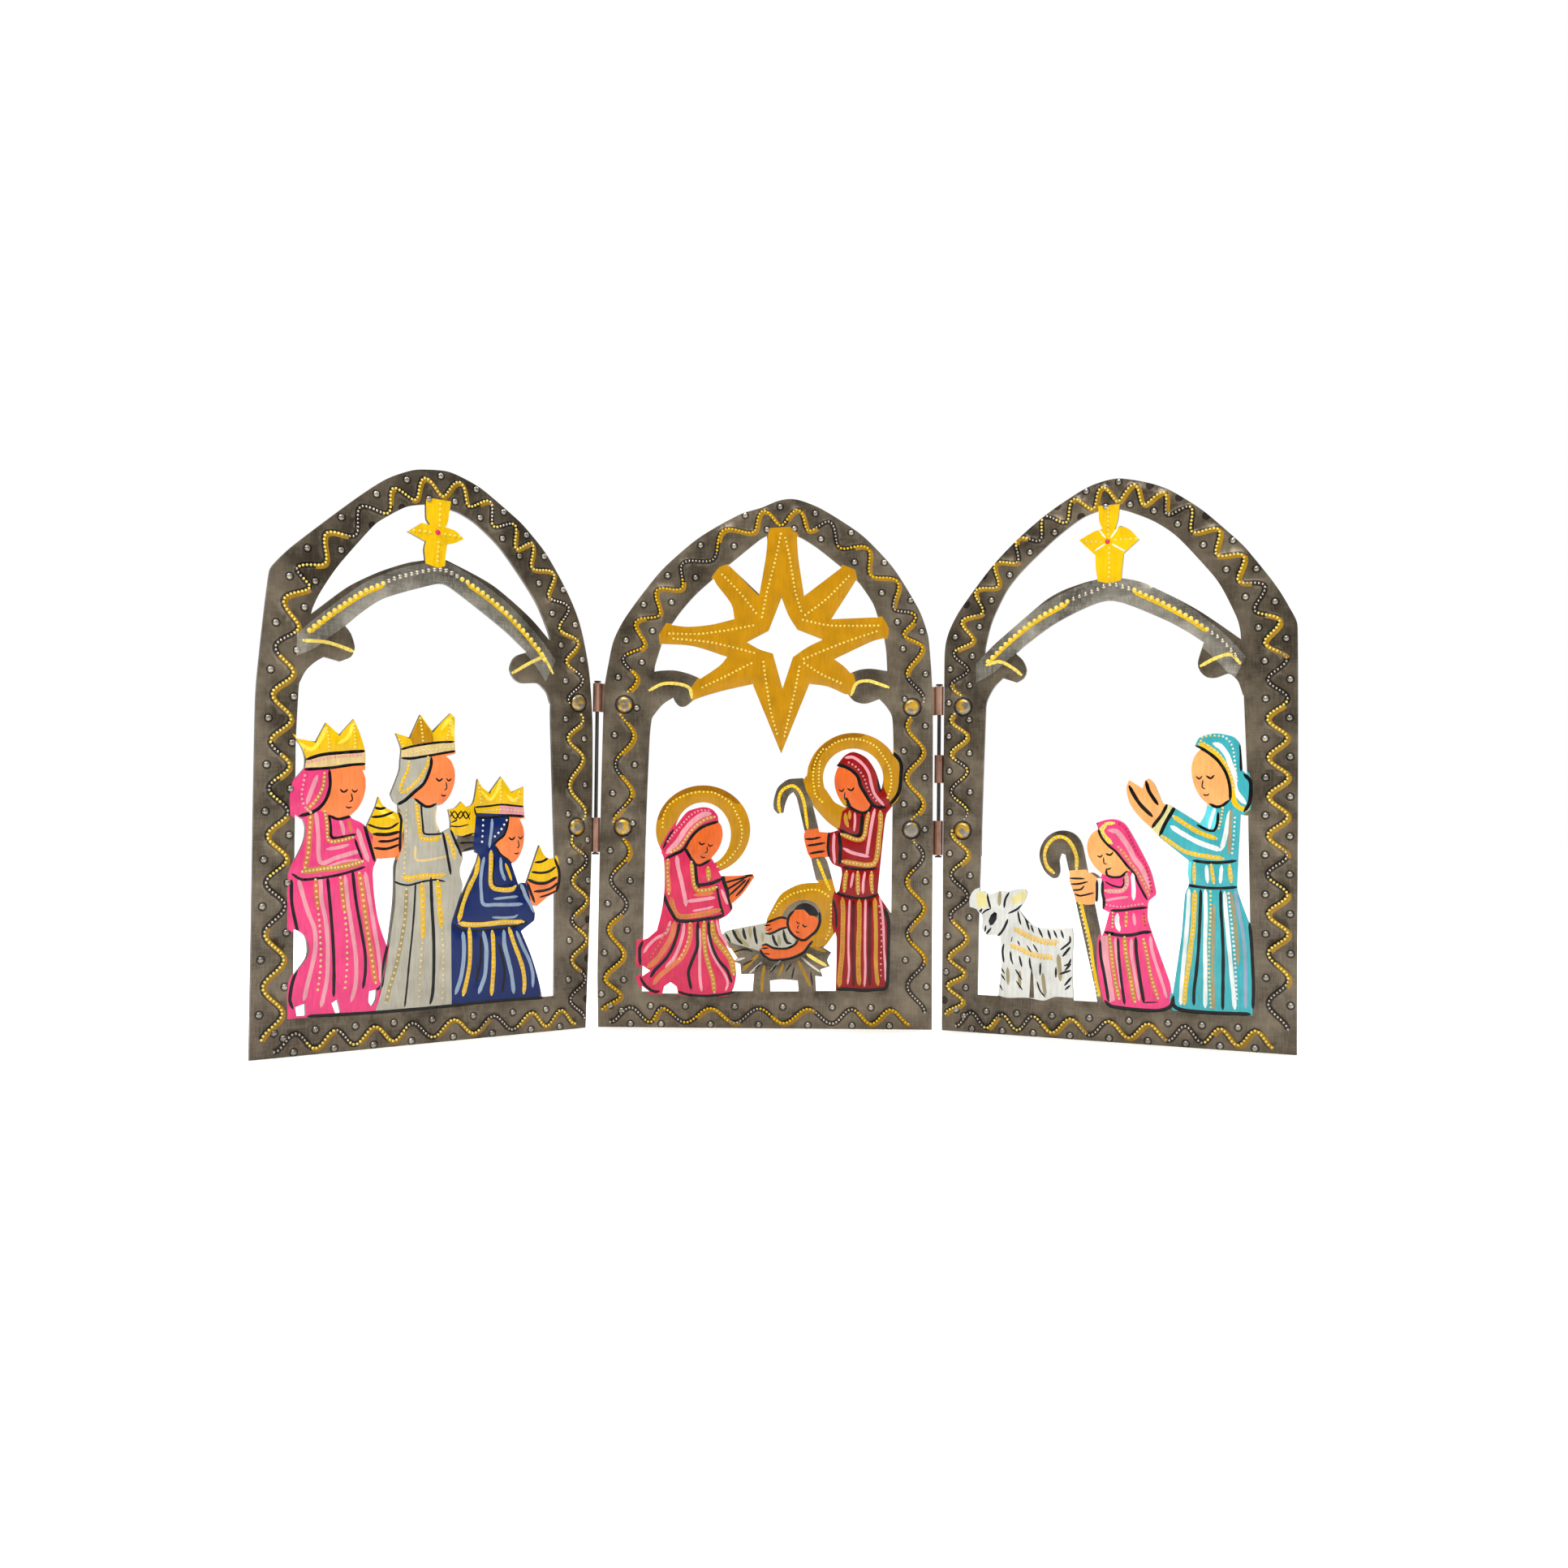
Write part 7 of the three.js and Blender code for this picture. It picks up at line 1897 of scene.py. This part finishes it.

# `N` patches are the roof bands, in the lighter steel that paints in their sheen.
RIGHT_TEXT = """
S a 1.3 -45.5 136.8 -38 143.8 -28 151.3 -16 157.6 / 8 160.4 18 155.2 28 149 33 145.2
D l .92 2.25 -45.5 137.6 -38 144.6 -28 152.1 -16 158.4
D s .92 2.25 -13.8 159.2 -5 162.2 -.5 163.8 6 161.9
D l .92 2.25 8 161.2 18 156 28 149.8 33 146
D s .92 2.25 34.8 144.6 38 142 42.5 136.6
B l 1.2 l .55 2.2 -46 136.3 -41 137.4 -36 134.8 -33 132.3 / 31 133.3 36 135.8 41 136.9 44 133.8
F N -50 137 -46 141 -38 148 -28 156 -20 160.5 -10 164.5 1.5 167 10 164 20 159 30 152 40 143 46 136
 42 128 38 133 30 141 20 148.5 10 154 1.5 157 -8 155 -18 151.5 -28 145.5 -38 138 -44 133 -50 130
F a -5 192.5 -4.7 186.8 -3.6 184.3 -6.6 184 -12.8 180.8 -9.6 177.3 -6.1 174.4 -5.9 169.7 -5.1 165.2
 -.8 164.2 3.3 165.2 3.9 169.7 4.2 174.4 7.4 176.3 10.4 179.6 6.4 183.7 2.6 184.4 2.1 186.8 2.7
 192.5
S w .6 -4.8 184 -2.4 180.8 / 2 184 -.4 180.6 / -6 176.4 -2.6 178.4 / 4.4 175.6 .2 178.2
D l .5 1.7 -1.4 191.4 -1.4 181.9 / -11 180.2 -4 179.3 / 1.2 179.7 8.4 179.7 / -1 176.8 -1 166.4
D u .95 9 -1.5 179.3
F z -52 50 -50 53 -46 54 -40 55 -30 55.6 -28.6 52.4 -31 47.6 -33.2 45.6 -30.4 41.4 -27.5 41 -20
 40.6 -12.8 40.6 -12.6 30 -12.7 14.9 -20 14.9 -24 13.3 -30 14 -38 13.6 -42.4 14.6 -41.6 18 -40.9 25
 -41.4 35 -46.4 34.8 -48.6 38 -48.4 43 -49.4 45.6 -52 46.4
F S -29.4 14 -27.6 14 -28 22 -28.8 25
F j -49.6 51.6 -47 52.2 -45.4 50 -45.6 46.6 -49 46 / -36.6 50 -31.4 53.2 -30.6 50 -35.6 47.6
S x 1.3 -40.6 52.4 -40.8 47.4 / -37.5 24.4 -37.3 18.6
S x 1.2 -33 23.4 -33 17.4
S x 1.4 -24.5 23 -23.5 15.4
S x 1.6 -18.8 30 -18 21
S c 1.6 -35 39.2 -32 37.7 -28 36 -24 35 -19 34.7
D a .46 1.3 -34.6 38.2 -31.8 36.7 -28 35 -24 34 -20 33.8
S c 1.6 -36.5 33 -34 32.3 -30 30.8 -26 29.7 -21 29.5
D a .46 1.3 -36 32.2 -33.6 31.4 -30 29.8 -26 28.8 -21.4 28.6
S k .85 -45.4 51.2 -44.9 48.8 -44.1 46 / -37.2 52.1 -38.6 49.5 -39 46.6
S k .8 -32.2 47.8 -34.3 46 -37.3 44.5
S k .65 -47.3 44 -45.8 45.3 -44.2 45.9
F k -44.3 39.7 -44.8 41.5 -44 43.6 -42.5 44.9 -41.6 44.3 -41.7 42.2 -43 40.2
S k .9 -37.6 42.2 -38.4 40.2 -39.9 37.5 -41.5 35.9
S k .85 -45.9 39.6 -46.2 37.5
S k .8 -43.9 38.8 -45.8 36.4 / -33.8 45.3 -33.3 42.5 -32.7 40.6 / -31.3 43.9 -30.3 41 -29.6 38.8 /
 -28.9 40.4 -28 38 / -26.2 39.5 -24.6 36.2 / -22.7 38.9 -21.7 35.7 / -20.5 38.8 -19.4 36.3 / -17.9
 39 -17 36.3 / -14.7 37 -14.6 35 -16.4 33.3 -18 32
S k 1 -14.6 33 -17.2 29.7
S k .8 -14.3 28.8 -15 27 -16.6 26.3 / -14.3 27 -16.4 24.6 / -14.4 24.7 -18.3 23.2 / -14 22.3 -16.5
 19.2 / -14.5 19.3 -16.3 17.7 / -39 33.2 -39.5 30.5 -39 26.5 / -36.6 30.5 -36.2 27.5 -35.6 26 /
 -33.2 29 -32.3 25.2 / -29.4 28.5 -29.2 26 -28.6 24 / -25.4 26.8 -25.5 22.5
S k .85 -19.7 25.5 -19.7 22
S k .65 -40 24.4 -38.7 22.4 / -40 22 -38.5 20 / -40.8 18.5 -39.4 16.2 / -34.5 24 -32.2 20.5 / -34.2
 19.8 -32 16.8 / -26.5 20 -25.5 17 -23.5 14.6 / -35.8 35.8 -36.2 34.2 / -33.8 34.5 -33 33 / -28
 33.5 -26.3 30.8 / -30.3 33 -28.8 30.7
S k 1 -47.4 45.8 -48.4 44 -48.2 41
B a 1.3 j .5 1.5 -20.5 59.7 -23 62 -24 66 -23 69.7 -20.5 72.3 -18 72.9 -15.5 71.8 -13.5 69 -12.3
 65.5 -12.3 61
S a 1.2 -10.7 49.3 -9.5 44 -8.2 39 -7.1 33.8 -6.5 29 -5.3 22 -3.9 16
D j .5 1.5 -11.3 49 -10.2 44 -8.9 39 -7.8 33.8 -7.1 29 -5.9 22 -4.5 16.4
F q -5.4 57.6 -2.4 60.4 .5 58.9 3.5 59 5.6 60.8 8.4 60.6 13 50.6 13.8 48 13.9 43.4 15.3 39.6 16.9
 35.7 19.5 28.2 22 20 22.6 16.6 21.4 13.6 18 12.2 10 11.8 0 12.4 -2.6 14.4 -4.6 25 -4.8 36 -3.2
 39.8 -2 42.6 -1.4 46.6 -4.8 47.4 -6 50
F w -5.8 58.2 -3.3 58.2 -2.9 47.2 -5 47
F p -3.6 37.6 -1 37.8 -.6 30 .8 20 1.6 15 -.2 14 -2.4 24 -3.2 30
F h -4.7 76.4 -9.4 76 -9.6 67 -6.6 61.4 -2 59.4 .5 58.8 3.5 59.1 5.6 60.9 7.4 61 6 62.5 4 65 1.5 68
 -1 70 -3.5 73
F q -5 76.6 -4 79.4 1.8 80.4 6.2 78 9 73 11.6 68 14.4 62.6 16.1 57 16.6 52 13.4 49.8 11 54 8.1 60.2
 6 62.5 4 65 1.5 68 -1 70 -3.5 73
F h -16 60.6 -9 61.2 -5 58.4 -4.8 49 -9 48.6 -12.6 49.6 -15 55
S p 1.8 -.7 75.4 2 75 4.5 72 6.5 69 8.1 65.6 10.5 62.5 12.5 58.5 13.8 55
B o 1.4 p .48 1.4 2.5 69.5 5 66.5 7.5 63 10 59.5 12 56 13.3 52.6
B y 1.7 j .5 1.4 -1.6 77.6 -3.4 75.6 -2.3 73 .2 70.8
B y 1.3 j .48 1.4 -2 77.8 1 78
D u .5 1.4 3 77.8 4.4 76.8 6 74.5 7.5 71 9 68 10.9 65.2 12.5 62 13.5 58 14.3 54
S k .9 -4.7 76 -3.5 73 -1 70 1.5 68 4 65 6 62.5 8.1 60.2 9.5 57 11 54 12.7 51 / -1.6 61.5 -1.5 59.5
 .5 58.7 3.5 59 5.6 60.9
S k .7 -2 57 .5 55.7 3.8 55.2 4.6 56.5 4.4 58.3
B p 1.5 c .48 1.3 5.5 60 5.5 56 4 54 0 53.7 -2 53.8
S w 1.4 7.6 60 8 55 8 51
S p .9 -2 50.2 1 51 6 51.8
D p .46 1.3 -1.5 48.8 3 48.2 8 48.9 11 49.5
S k 1 0 46.8 4 47 8 47.7 12.6 48.3
S w 1.6 2.3 45.5 2.2 42.5 3 39.8
S p 1.1 8 46 8.5 42
D c .46 1.4 .6 46 .6 41
B o 1.3 c .46 1.4 5.5 46.2 5.3 41.5
B o 1.2 u .46 1.4 11.5 46 12 42
S k 1.2 -2.2 39 0 38.6 3.5 38.1 8 38.5 11 39.4 14 39.7
S k 1.1 -3.9 36 -3.5 30 -2.3 23.8 -1.3 18 -.8 14.5
S p 1.1 1.6 37 2 31 2.9 25 3.8 19
B O 1.4 c .48 1.4 -.5 38 .1 32.9 .8 27 1.8 21 3 15.5
B O 1.6 c .48 1.4 4.8 37.5 5.3 32 6.1 27 7.2 22 8 17 8.6 14.8
S p 1.1 7.2 37 7.3 32 8.2 26 9.3 20 10 15.5
B o 1.4 c .48 1.4 11.5 37 12.7 31.5 13.5 27 14.7 22 16.5 16.5
S p 1.1 13.8 38 14.5 33 16 28 18 22 19.5 17
S k 1 2.5 37 2.8 31 3.5 24 4.3 18 4.9 13.8
S k 1.2 8.7 37.6 9 32 9.8 26 10.7 20 11.6 14.8
S k 1.3 -2 14.5 0 12.8 6 12.2 13 12 18 12.5 21 14.2 21.8 17.5
S k .5 11.6 14.7 16.5 15.2
S k .7 -14.8 57.9 -9.5 57.9 / -14.3 55.8 -11.5 56 -8.4 56.8 / -9.6 55.3 -10.8 54 -14 53.6 / -13
 52.3 -11 51.7 -6.2 52.9
S k .9 -5 57.4 -5 52 -5.2 49.3
S k 1 -3 57.2 -3 53 -2.4 50 -2.7 47.4
F t 33.2 86.6 36 84.1 38 84.4 40.5 86.4 45 85 45 79.8 44.6 65.6 44 56.9 45 51.5 46.8 44.8 47.9 41
 48.2 12.5 21.6 12.5 20.6 17 22.8 28 24 38.5 25 53.4 26 57 25.8 65 22 67.6 16.9 72 13.4 76.4 18.4
 85.6 20.8 85.6 26.8 81.6 30.6 78.9 31.6 81.4
F T 30.2 78.6 33.6 85.8 36 84 36.5 78 35.4 75.7 33 76 / 26.4 64.8 28 64.8 27.6 57 26.2 57
F t 28.2 105.6 29.6 109 33 110.4 37 110.6 42.2 109.2 45.2 105.4 45.6 99 45.6 97.2 47.2 95.4 47.9 89
 47.6 83 44 80.6 40.6 86.4 40.8 90 40.1 93.8 38.8 97 36.5 100.3 34 102.5 31.3 104.4
F h 28.4 105.3 26 98 26 90 28.5 86 33 84.4 36 84.1 38 84.4 40.6 86.5 40.8 90 40.1 93.8 38.8 97 36.5
 100.3 34 102.5 31.3 104.3 / 4 94.4 14 95.6 19.9 85.8 17.6 81 14.4 76 9 78 4 87
F j 19.4 86 22.6 84.8 20.8 81.5 18.8 78 16.8 73 14 76.3 15.8 78.4 17.8 81.4
B a 1.6 j .48 1.6 21.7 80.6 24.9 78.4 28.5 76.1 32.2 74.3 36.3 72.9
S w 1.7 21 77 24.5 74.7 30.4 71.5 37.6 69
S w 1.6 40.8 82.4 40 78 39 73 38 69.3
B a 1.5 j .48 1.6 17.6 73.6 21.3 71 25.4 68.4 29 67.4 33 66.7 38.5 66
S x 1.1 41.2 83 40.8 75 40.5 68
D w .42 1.5 42.4 80.2 42 74 41.5 68
D j .5 1.3 38.3 83.6 37.8 80 37 76.5
S k 1 36.8 82 36.5 78 35.4 75.7 33 76 29.8 77.6
S w 1.1 35.7 83.4 34.3 79 33.8 76.4
S k 1 34 85 36 84 38 84.3 40.5 86.3
S w 1.8 35.4 106 37.5 105 39.7 102 41 98.5 42.2 95.2 42.3 91 43.5 88 45.8 85.2
S a 1.8 30.4 106 33.6 104.6 36 102.6 38.4 99.6 40.2 96 41.4 92 41.7 88 42.6 85 45 83.2 46.8 83.4
D j .48 1.4 31 107 33.5 105.2 36.5 103 39 99.5 41 95 42 90 / 31.4 108.2 34 108.8 37 108.6
D w .46 1.4 38.4 108.4 40 107.4 41.5 105 42.2 101 42.6 97 43 93
S k 1.1 29 105.2 31.3 104.3 34 102.5 36.5 100.3 38.8 97 40.1 93.8 40.8 90 40.8 86.5
S k .9 44.2 106 44.4 100 44.4 96.4
S k 1.3 45.4 95.2 47.4 93 47.6 89 47 85 45.5 82.5
S k 1.2 19.5 84.7 17.6 81 15.4 78.1 14.4 76.6
S k 1.3 22.2 84 20.8 81.5 18.8 77.9 17 73.8 / 6.3 91.3 8.1 87.9 10.4 84.5 14.4 80.5 / 12.2 92.9
 13.3 89.3 16.3 84.7
B a 1.2 j .46 1.5 28.8 64.2 28.8 57.2 / 34.5 63.8 35.4 57.5
B a 1.3 j .46 1.5 40.6 63.8 41.2 58
S w 1.2 32.9 63.4 33.3 57.6 / 38 63.6 37.6 57.6
S k 1.1 28.5 65.2 32 64.7 36 64.6 39 64.8 42.8 65.4
S w 1.4 27 55 26.8 48 26.2 40 25.5 32 24.8 24 24.3 15 / 32.5 55 32.7 46 32.5 36 32.6 26 32.6 14.4 /
 39 54.5 39.4 48 40.3 38 41.2 28 42 20 42.4 14.4
S b 1.1 42.5 55 43.5 49 45 41 45.8 32 46 22 46 15
B a 1.6 j .5 1.5 29 54.5 28.8 48 28.5 42 27.8 36 27 29 26 22 25.5 15
S x 1.2 35.3 50 35.2 40 35 30 35.2 20 35.4 14
D j .5 1.5 34.3 54.5 34.3 46 34 38 33.8 30 34 22 34.5 14.4
S x 1.2 41 54.5 42.3 46 43 38 43.6 30
D w .48 1.5 40.3 54 41 47 41.7 40 42.3 33 42.7 26 43 18
S k 1 26.3 56.6 29 56.2 33 55.8 38 55.8 43 56.3
S k 1.1 31 55 30.9 50 30.6 42 30.2 34 29.5 26 28.8 20 28.7 15 / 37.7 55 37.8 48 38.2 42 38.5 34
 38.5 26 38.4 18 38.4 14 / 47.2 44 47.8 38 48.2 30 48.5 22 48.3 15
S k 1.3 21.5 17 22 14.2 24.5 13 30 12.6 38 12.6 47.4 12.9
"""

LEFT_WAVE = Wave(
    middle=points_of(
        "-56 4.7 -55.6 40.7 -55.2 76.7 -54.7 112.7 -54.3 125.2 -53.2 137.6 -50.7 149.9 -45.3 "
        "161.1 -37.2 170.5 -27.8 178.8 -17.7 186.2 -6.6 191.8 5.6 192.6 17 187.6 27.2 180.4 36.7 "
        "172.3 44.3 162.4 49.5 151 53 139.1 54.5 126.7 54.7 114.2 54.7 101.7 57 65.7 57.4 29.8 57 "
        "1.8"
    ),
    turns=points_of(
        "1 0.25 44 2.75 150 9.75 153 10.25 191 12.75 250 17.75 253 18.25 298 21.75 334 24.25 365 "
        "25.75 431 30.25"
    ),
    foot=points_of("-55 0.75 -8 4.25 38 7.25 56 8.75"),
)

CENTRE_WAVE = Wave(
    middle=points_of(
        "-58 5 -55.8 40.9 -54.5 76.9 -53.7 112.9 -53.2 125.3 -51.7 137.7 -48 149.6 -41.5 160.3 "
        "-33.2 169.6 -24 178.1 -14.1 185.7 -3 191.4 9.2 192.2 20.9 188 31.5 181.3 40.6 172.8 48.1 "
        "162.8 53.2 151.5 55 139.2 55.4 126.7 55.3 114.2 55.2 101.7 55.5 65.7 56.2 29.7 56.5 4"
    ),
    turns=points_of(
        "1 0.25 13 1.25 50 3.25 126 6.75 174 10.25 203 11.75 233 14.25 274 16.75 291 18.25 428 "
        "25.25"
    ),
    foot=points_of("-58 0.75 -43 1.75 -39 2.25 25 5.75 54 7.75"),
)

RIGHT_WAVE = Wave(
    middle=points_of(
        "-58 5.1 -56.2 41 -56 77 -56.6 113 -56.6 125.5 -55.9 138 -53.3 150.1 -48.3 161.6 -40.9 "
        "171.6 -32.3 180.6 -22.1 187.9 -10.9 193.4 1.1 196.6 13.2 194.2 24 188 33.4 179.8 41.6 "
        "170.4 48.6 160 53.5 148.5 56 136.3 56.5 123.8 56.2 111.3 56.5 98.8 56.3 62.8 56.6 26.8 "
        "56.5 6.1"
    ),
    turns=points_of(
        "1 0.25 22 2.25 92 6.75 124 9.25 206 16.25 247 20.25 303 24.75 410 32.75 436 34.25"
    ),
    foot=points_of("-57 0.75 -28 3.25 20 6.75 55 9.75"),
)

RIVET_HEIGHTS = (121.0, 74.8)
LEFT_STANCE = Stance(-64.5, 39.0)
CENTRE_STANCE = Stance()
RIGHT_STANCE = Stance(64.5, -24.0)


def main() -> None:
    """Builds the dressed triptych and its stage, and measures its bounds beside the frame's."""
    log.info("frame: %d nodes", len(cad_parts))
    left_spots = [(56.0, height) for height in RIVET_HEIGHTS]
    right_spots = [(-55.0, height) for height in RIVET_HEIGHTS]
    centre_spots = [(side * 54.2, height) for side in (-1, 1) for height in RIVET_HEIGHTS]
    panels = (
        PaintedPanel(
            name="left_wing_sheet",
            node="left_wing_panel",
            body="left_wing",
            stance=LEFT_STANCE,
            drawing=Drawing(LEFT_TEXT),
            wave=LEFT_WAVE,
            wave_paint=Paint.LEMON,
            heads=(
                Head((-32.6, 86.6), (6.6, 9.0), 0, 1),
                Head((1.4, 91.2), (6.4, 9.0), 0, 1),
                Head((29.8, 70.8), (6.2, 9.0), 4, 1),
            ),
            rivets=left_spots,
            hinges=(64.5,),
            plugs=((-40, 82), (-6, 84), (22, 67)),
        ),
        PaintedPanel(
            name="centre_sheet",
            node="centre_panel",
            body="centre",
            stance=CENTRE_STANCE,
            drawing=Drawing(CENTRE_TEXT),
            wave=CENTRE_WAVE,
            wave_paint=Paint.GOLD,
            heads=(
                Head((-23.8, 69.0), (5.8, 8.0), -12, 1),
                Head((30.6, 90.0), (6.2, 9.4), 8, -1),
                Head((13.8, 38.8), (4.6, 5.2), -25, -1),
            ),
            rivets=centre_spots,
            hinges=(-64.5, 64.5),
            plugs=((-30, 66), (19, 63)),
        ),
        PaintedPanel(
            name="right_wing_sheet",
            node="right_wing_panel",
            body="right_wing",
            stance=RIGHT_STANCE,
            drawing=Drawing(RIGHT_TEXT),
            wave=RIGHT_WAVE,
            wave_paint=Paint.LEMON,
            heads=(Head((-1.2, 67.0), (6.2, 8.2), 14, -1), Head((33.4, 94.6), (6.6, 10.0), 4, -1)),
            rivets=right_spots,
            hinges=(-64.5,),
            plugs=((40, 87),),
        ),
    )
    for panel in panels:
        panel.build()
    centre_rivets = ("centre_rivet_left", "centre_rivet_right")
    for body, edges, spots, stance in (
        ("centre", centre_rivets, centre_spots, CENTRE_STANCE),
        ("left_wing", ("left_wing_rivet",), left_spots, LEFT_STANCE),
        ("right_wing", ("right_wing_rivet",), right_spots, RIGHT_STANCE),
    ):
        nodes = [f"{edge}_{row}" for edge in edges for row in ("upper", "lower")]
        RivetSet(body, nodes, spots, stance).build()
    HingeMetal(
        leaves=[
            f"{side}_{leaf}"
            for leaf in ("hinge_centre_leaf", "wing_hinge_leaf")
            for side in ("left", "right")
        ],
        pins=("left_hinge_pin", "right_hinge_pin"),
    ).build()
    Studio().build()
    boxes = {"cad": CAD_BOX, "visual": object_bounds()}
    {name: [list(lo), list(hi)] for name, (lo, hi) in boxes.items()}


if __name__ == "__main__":
    main()
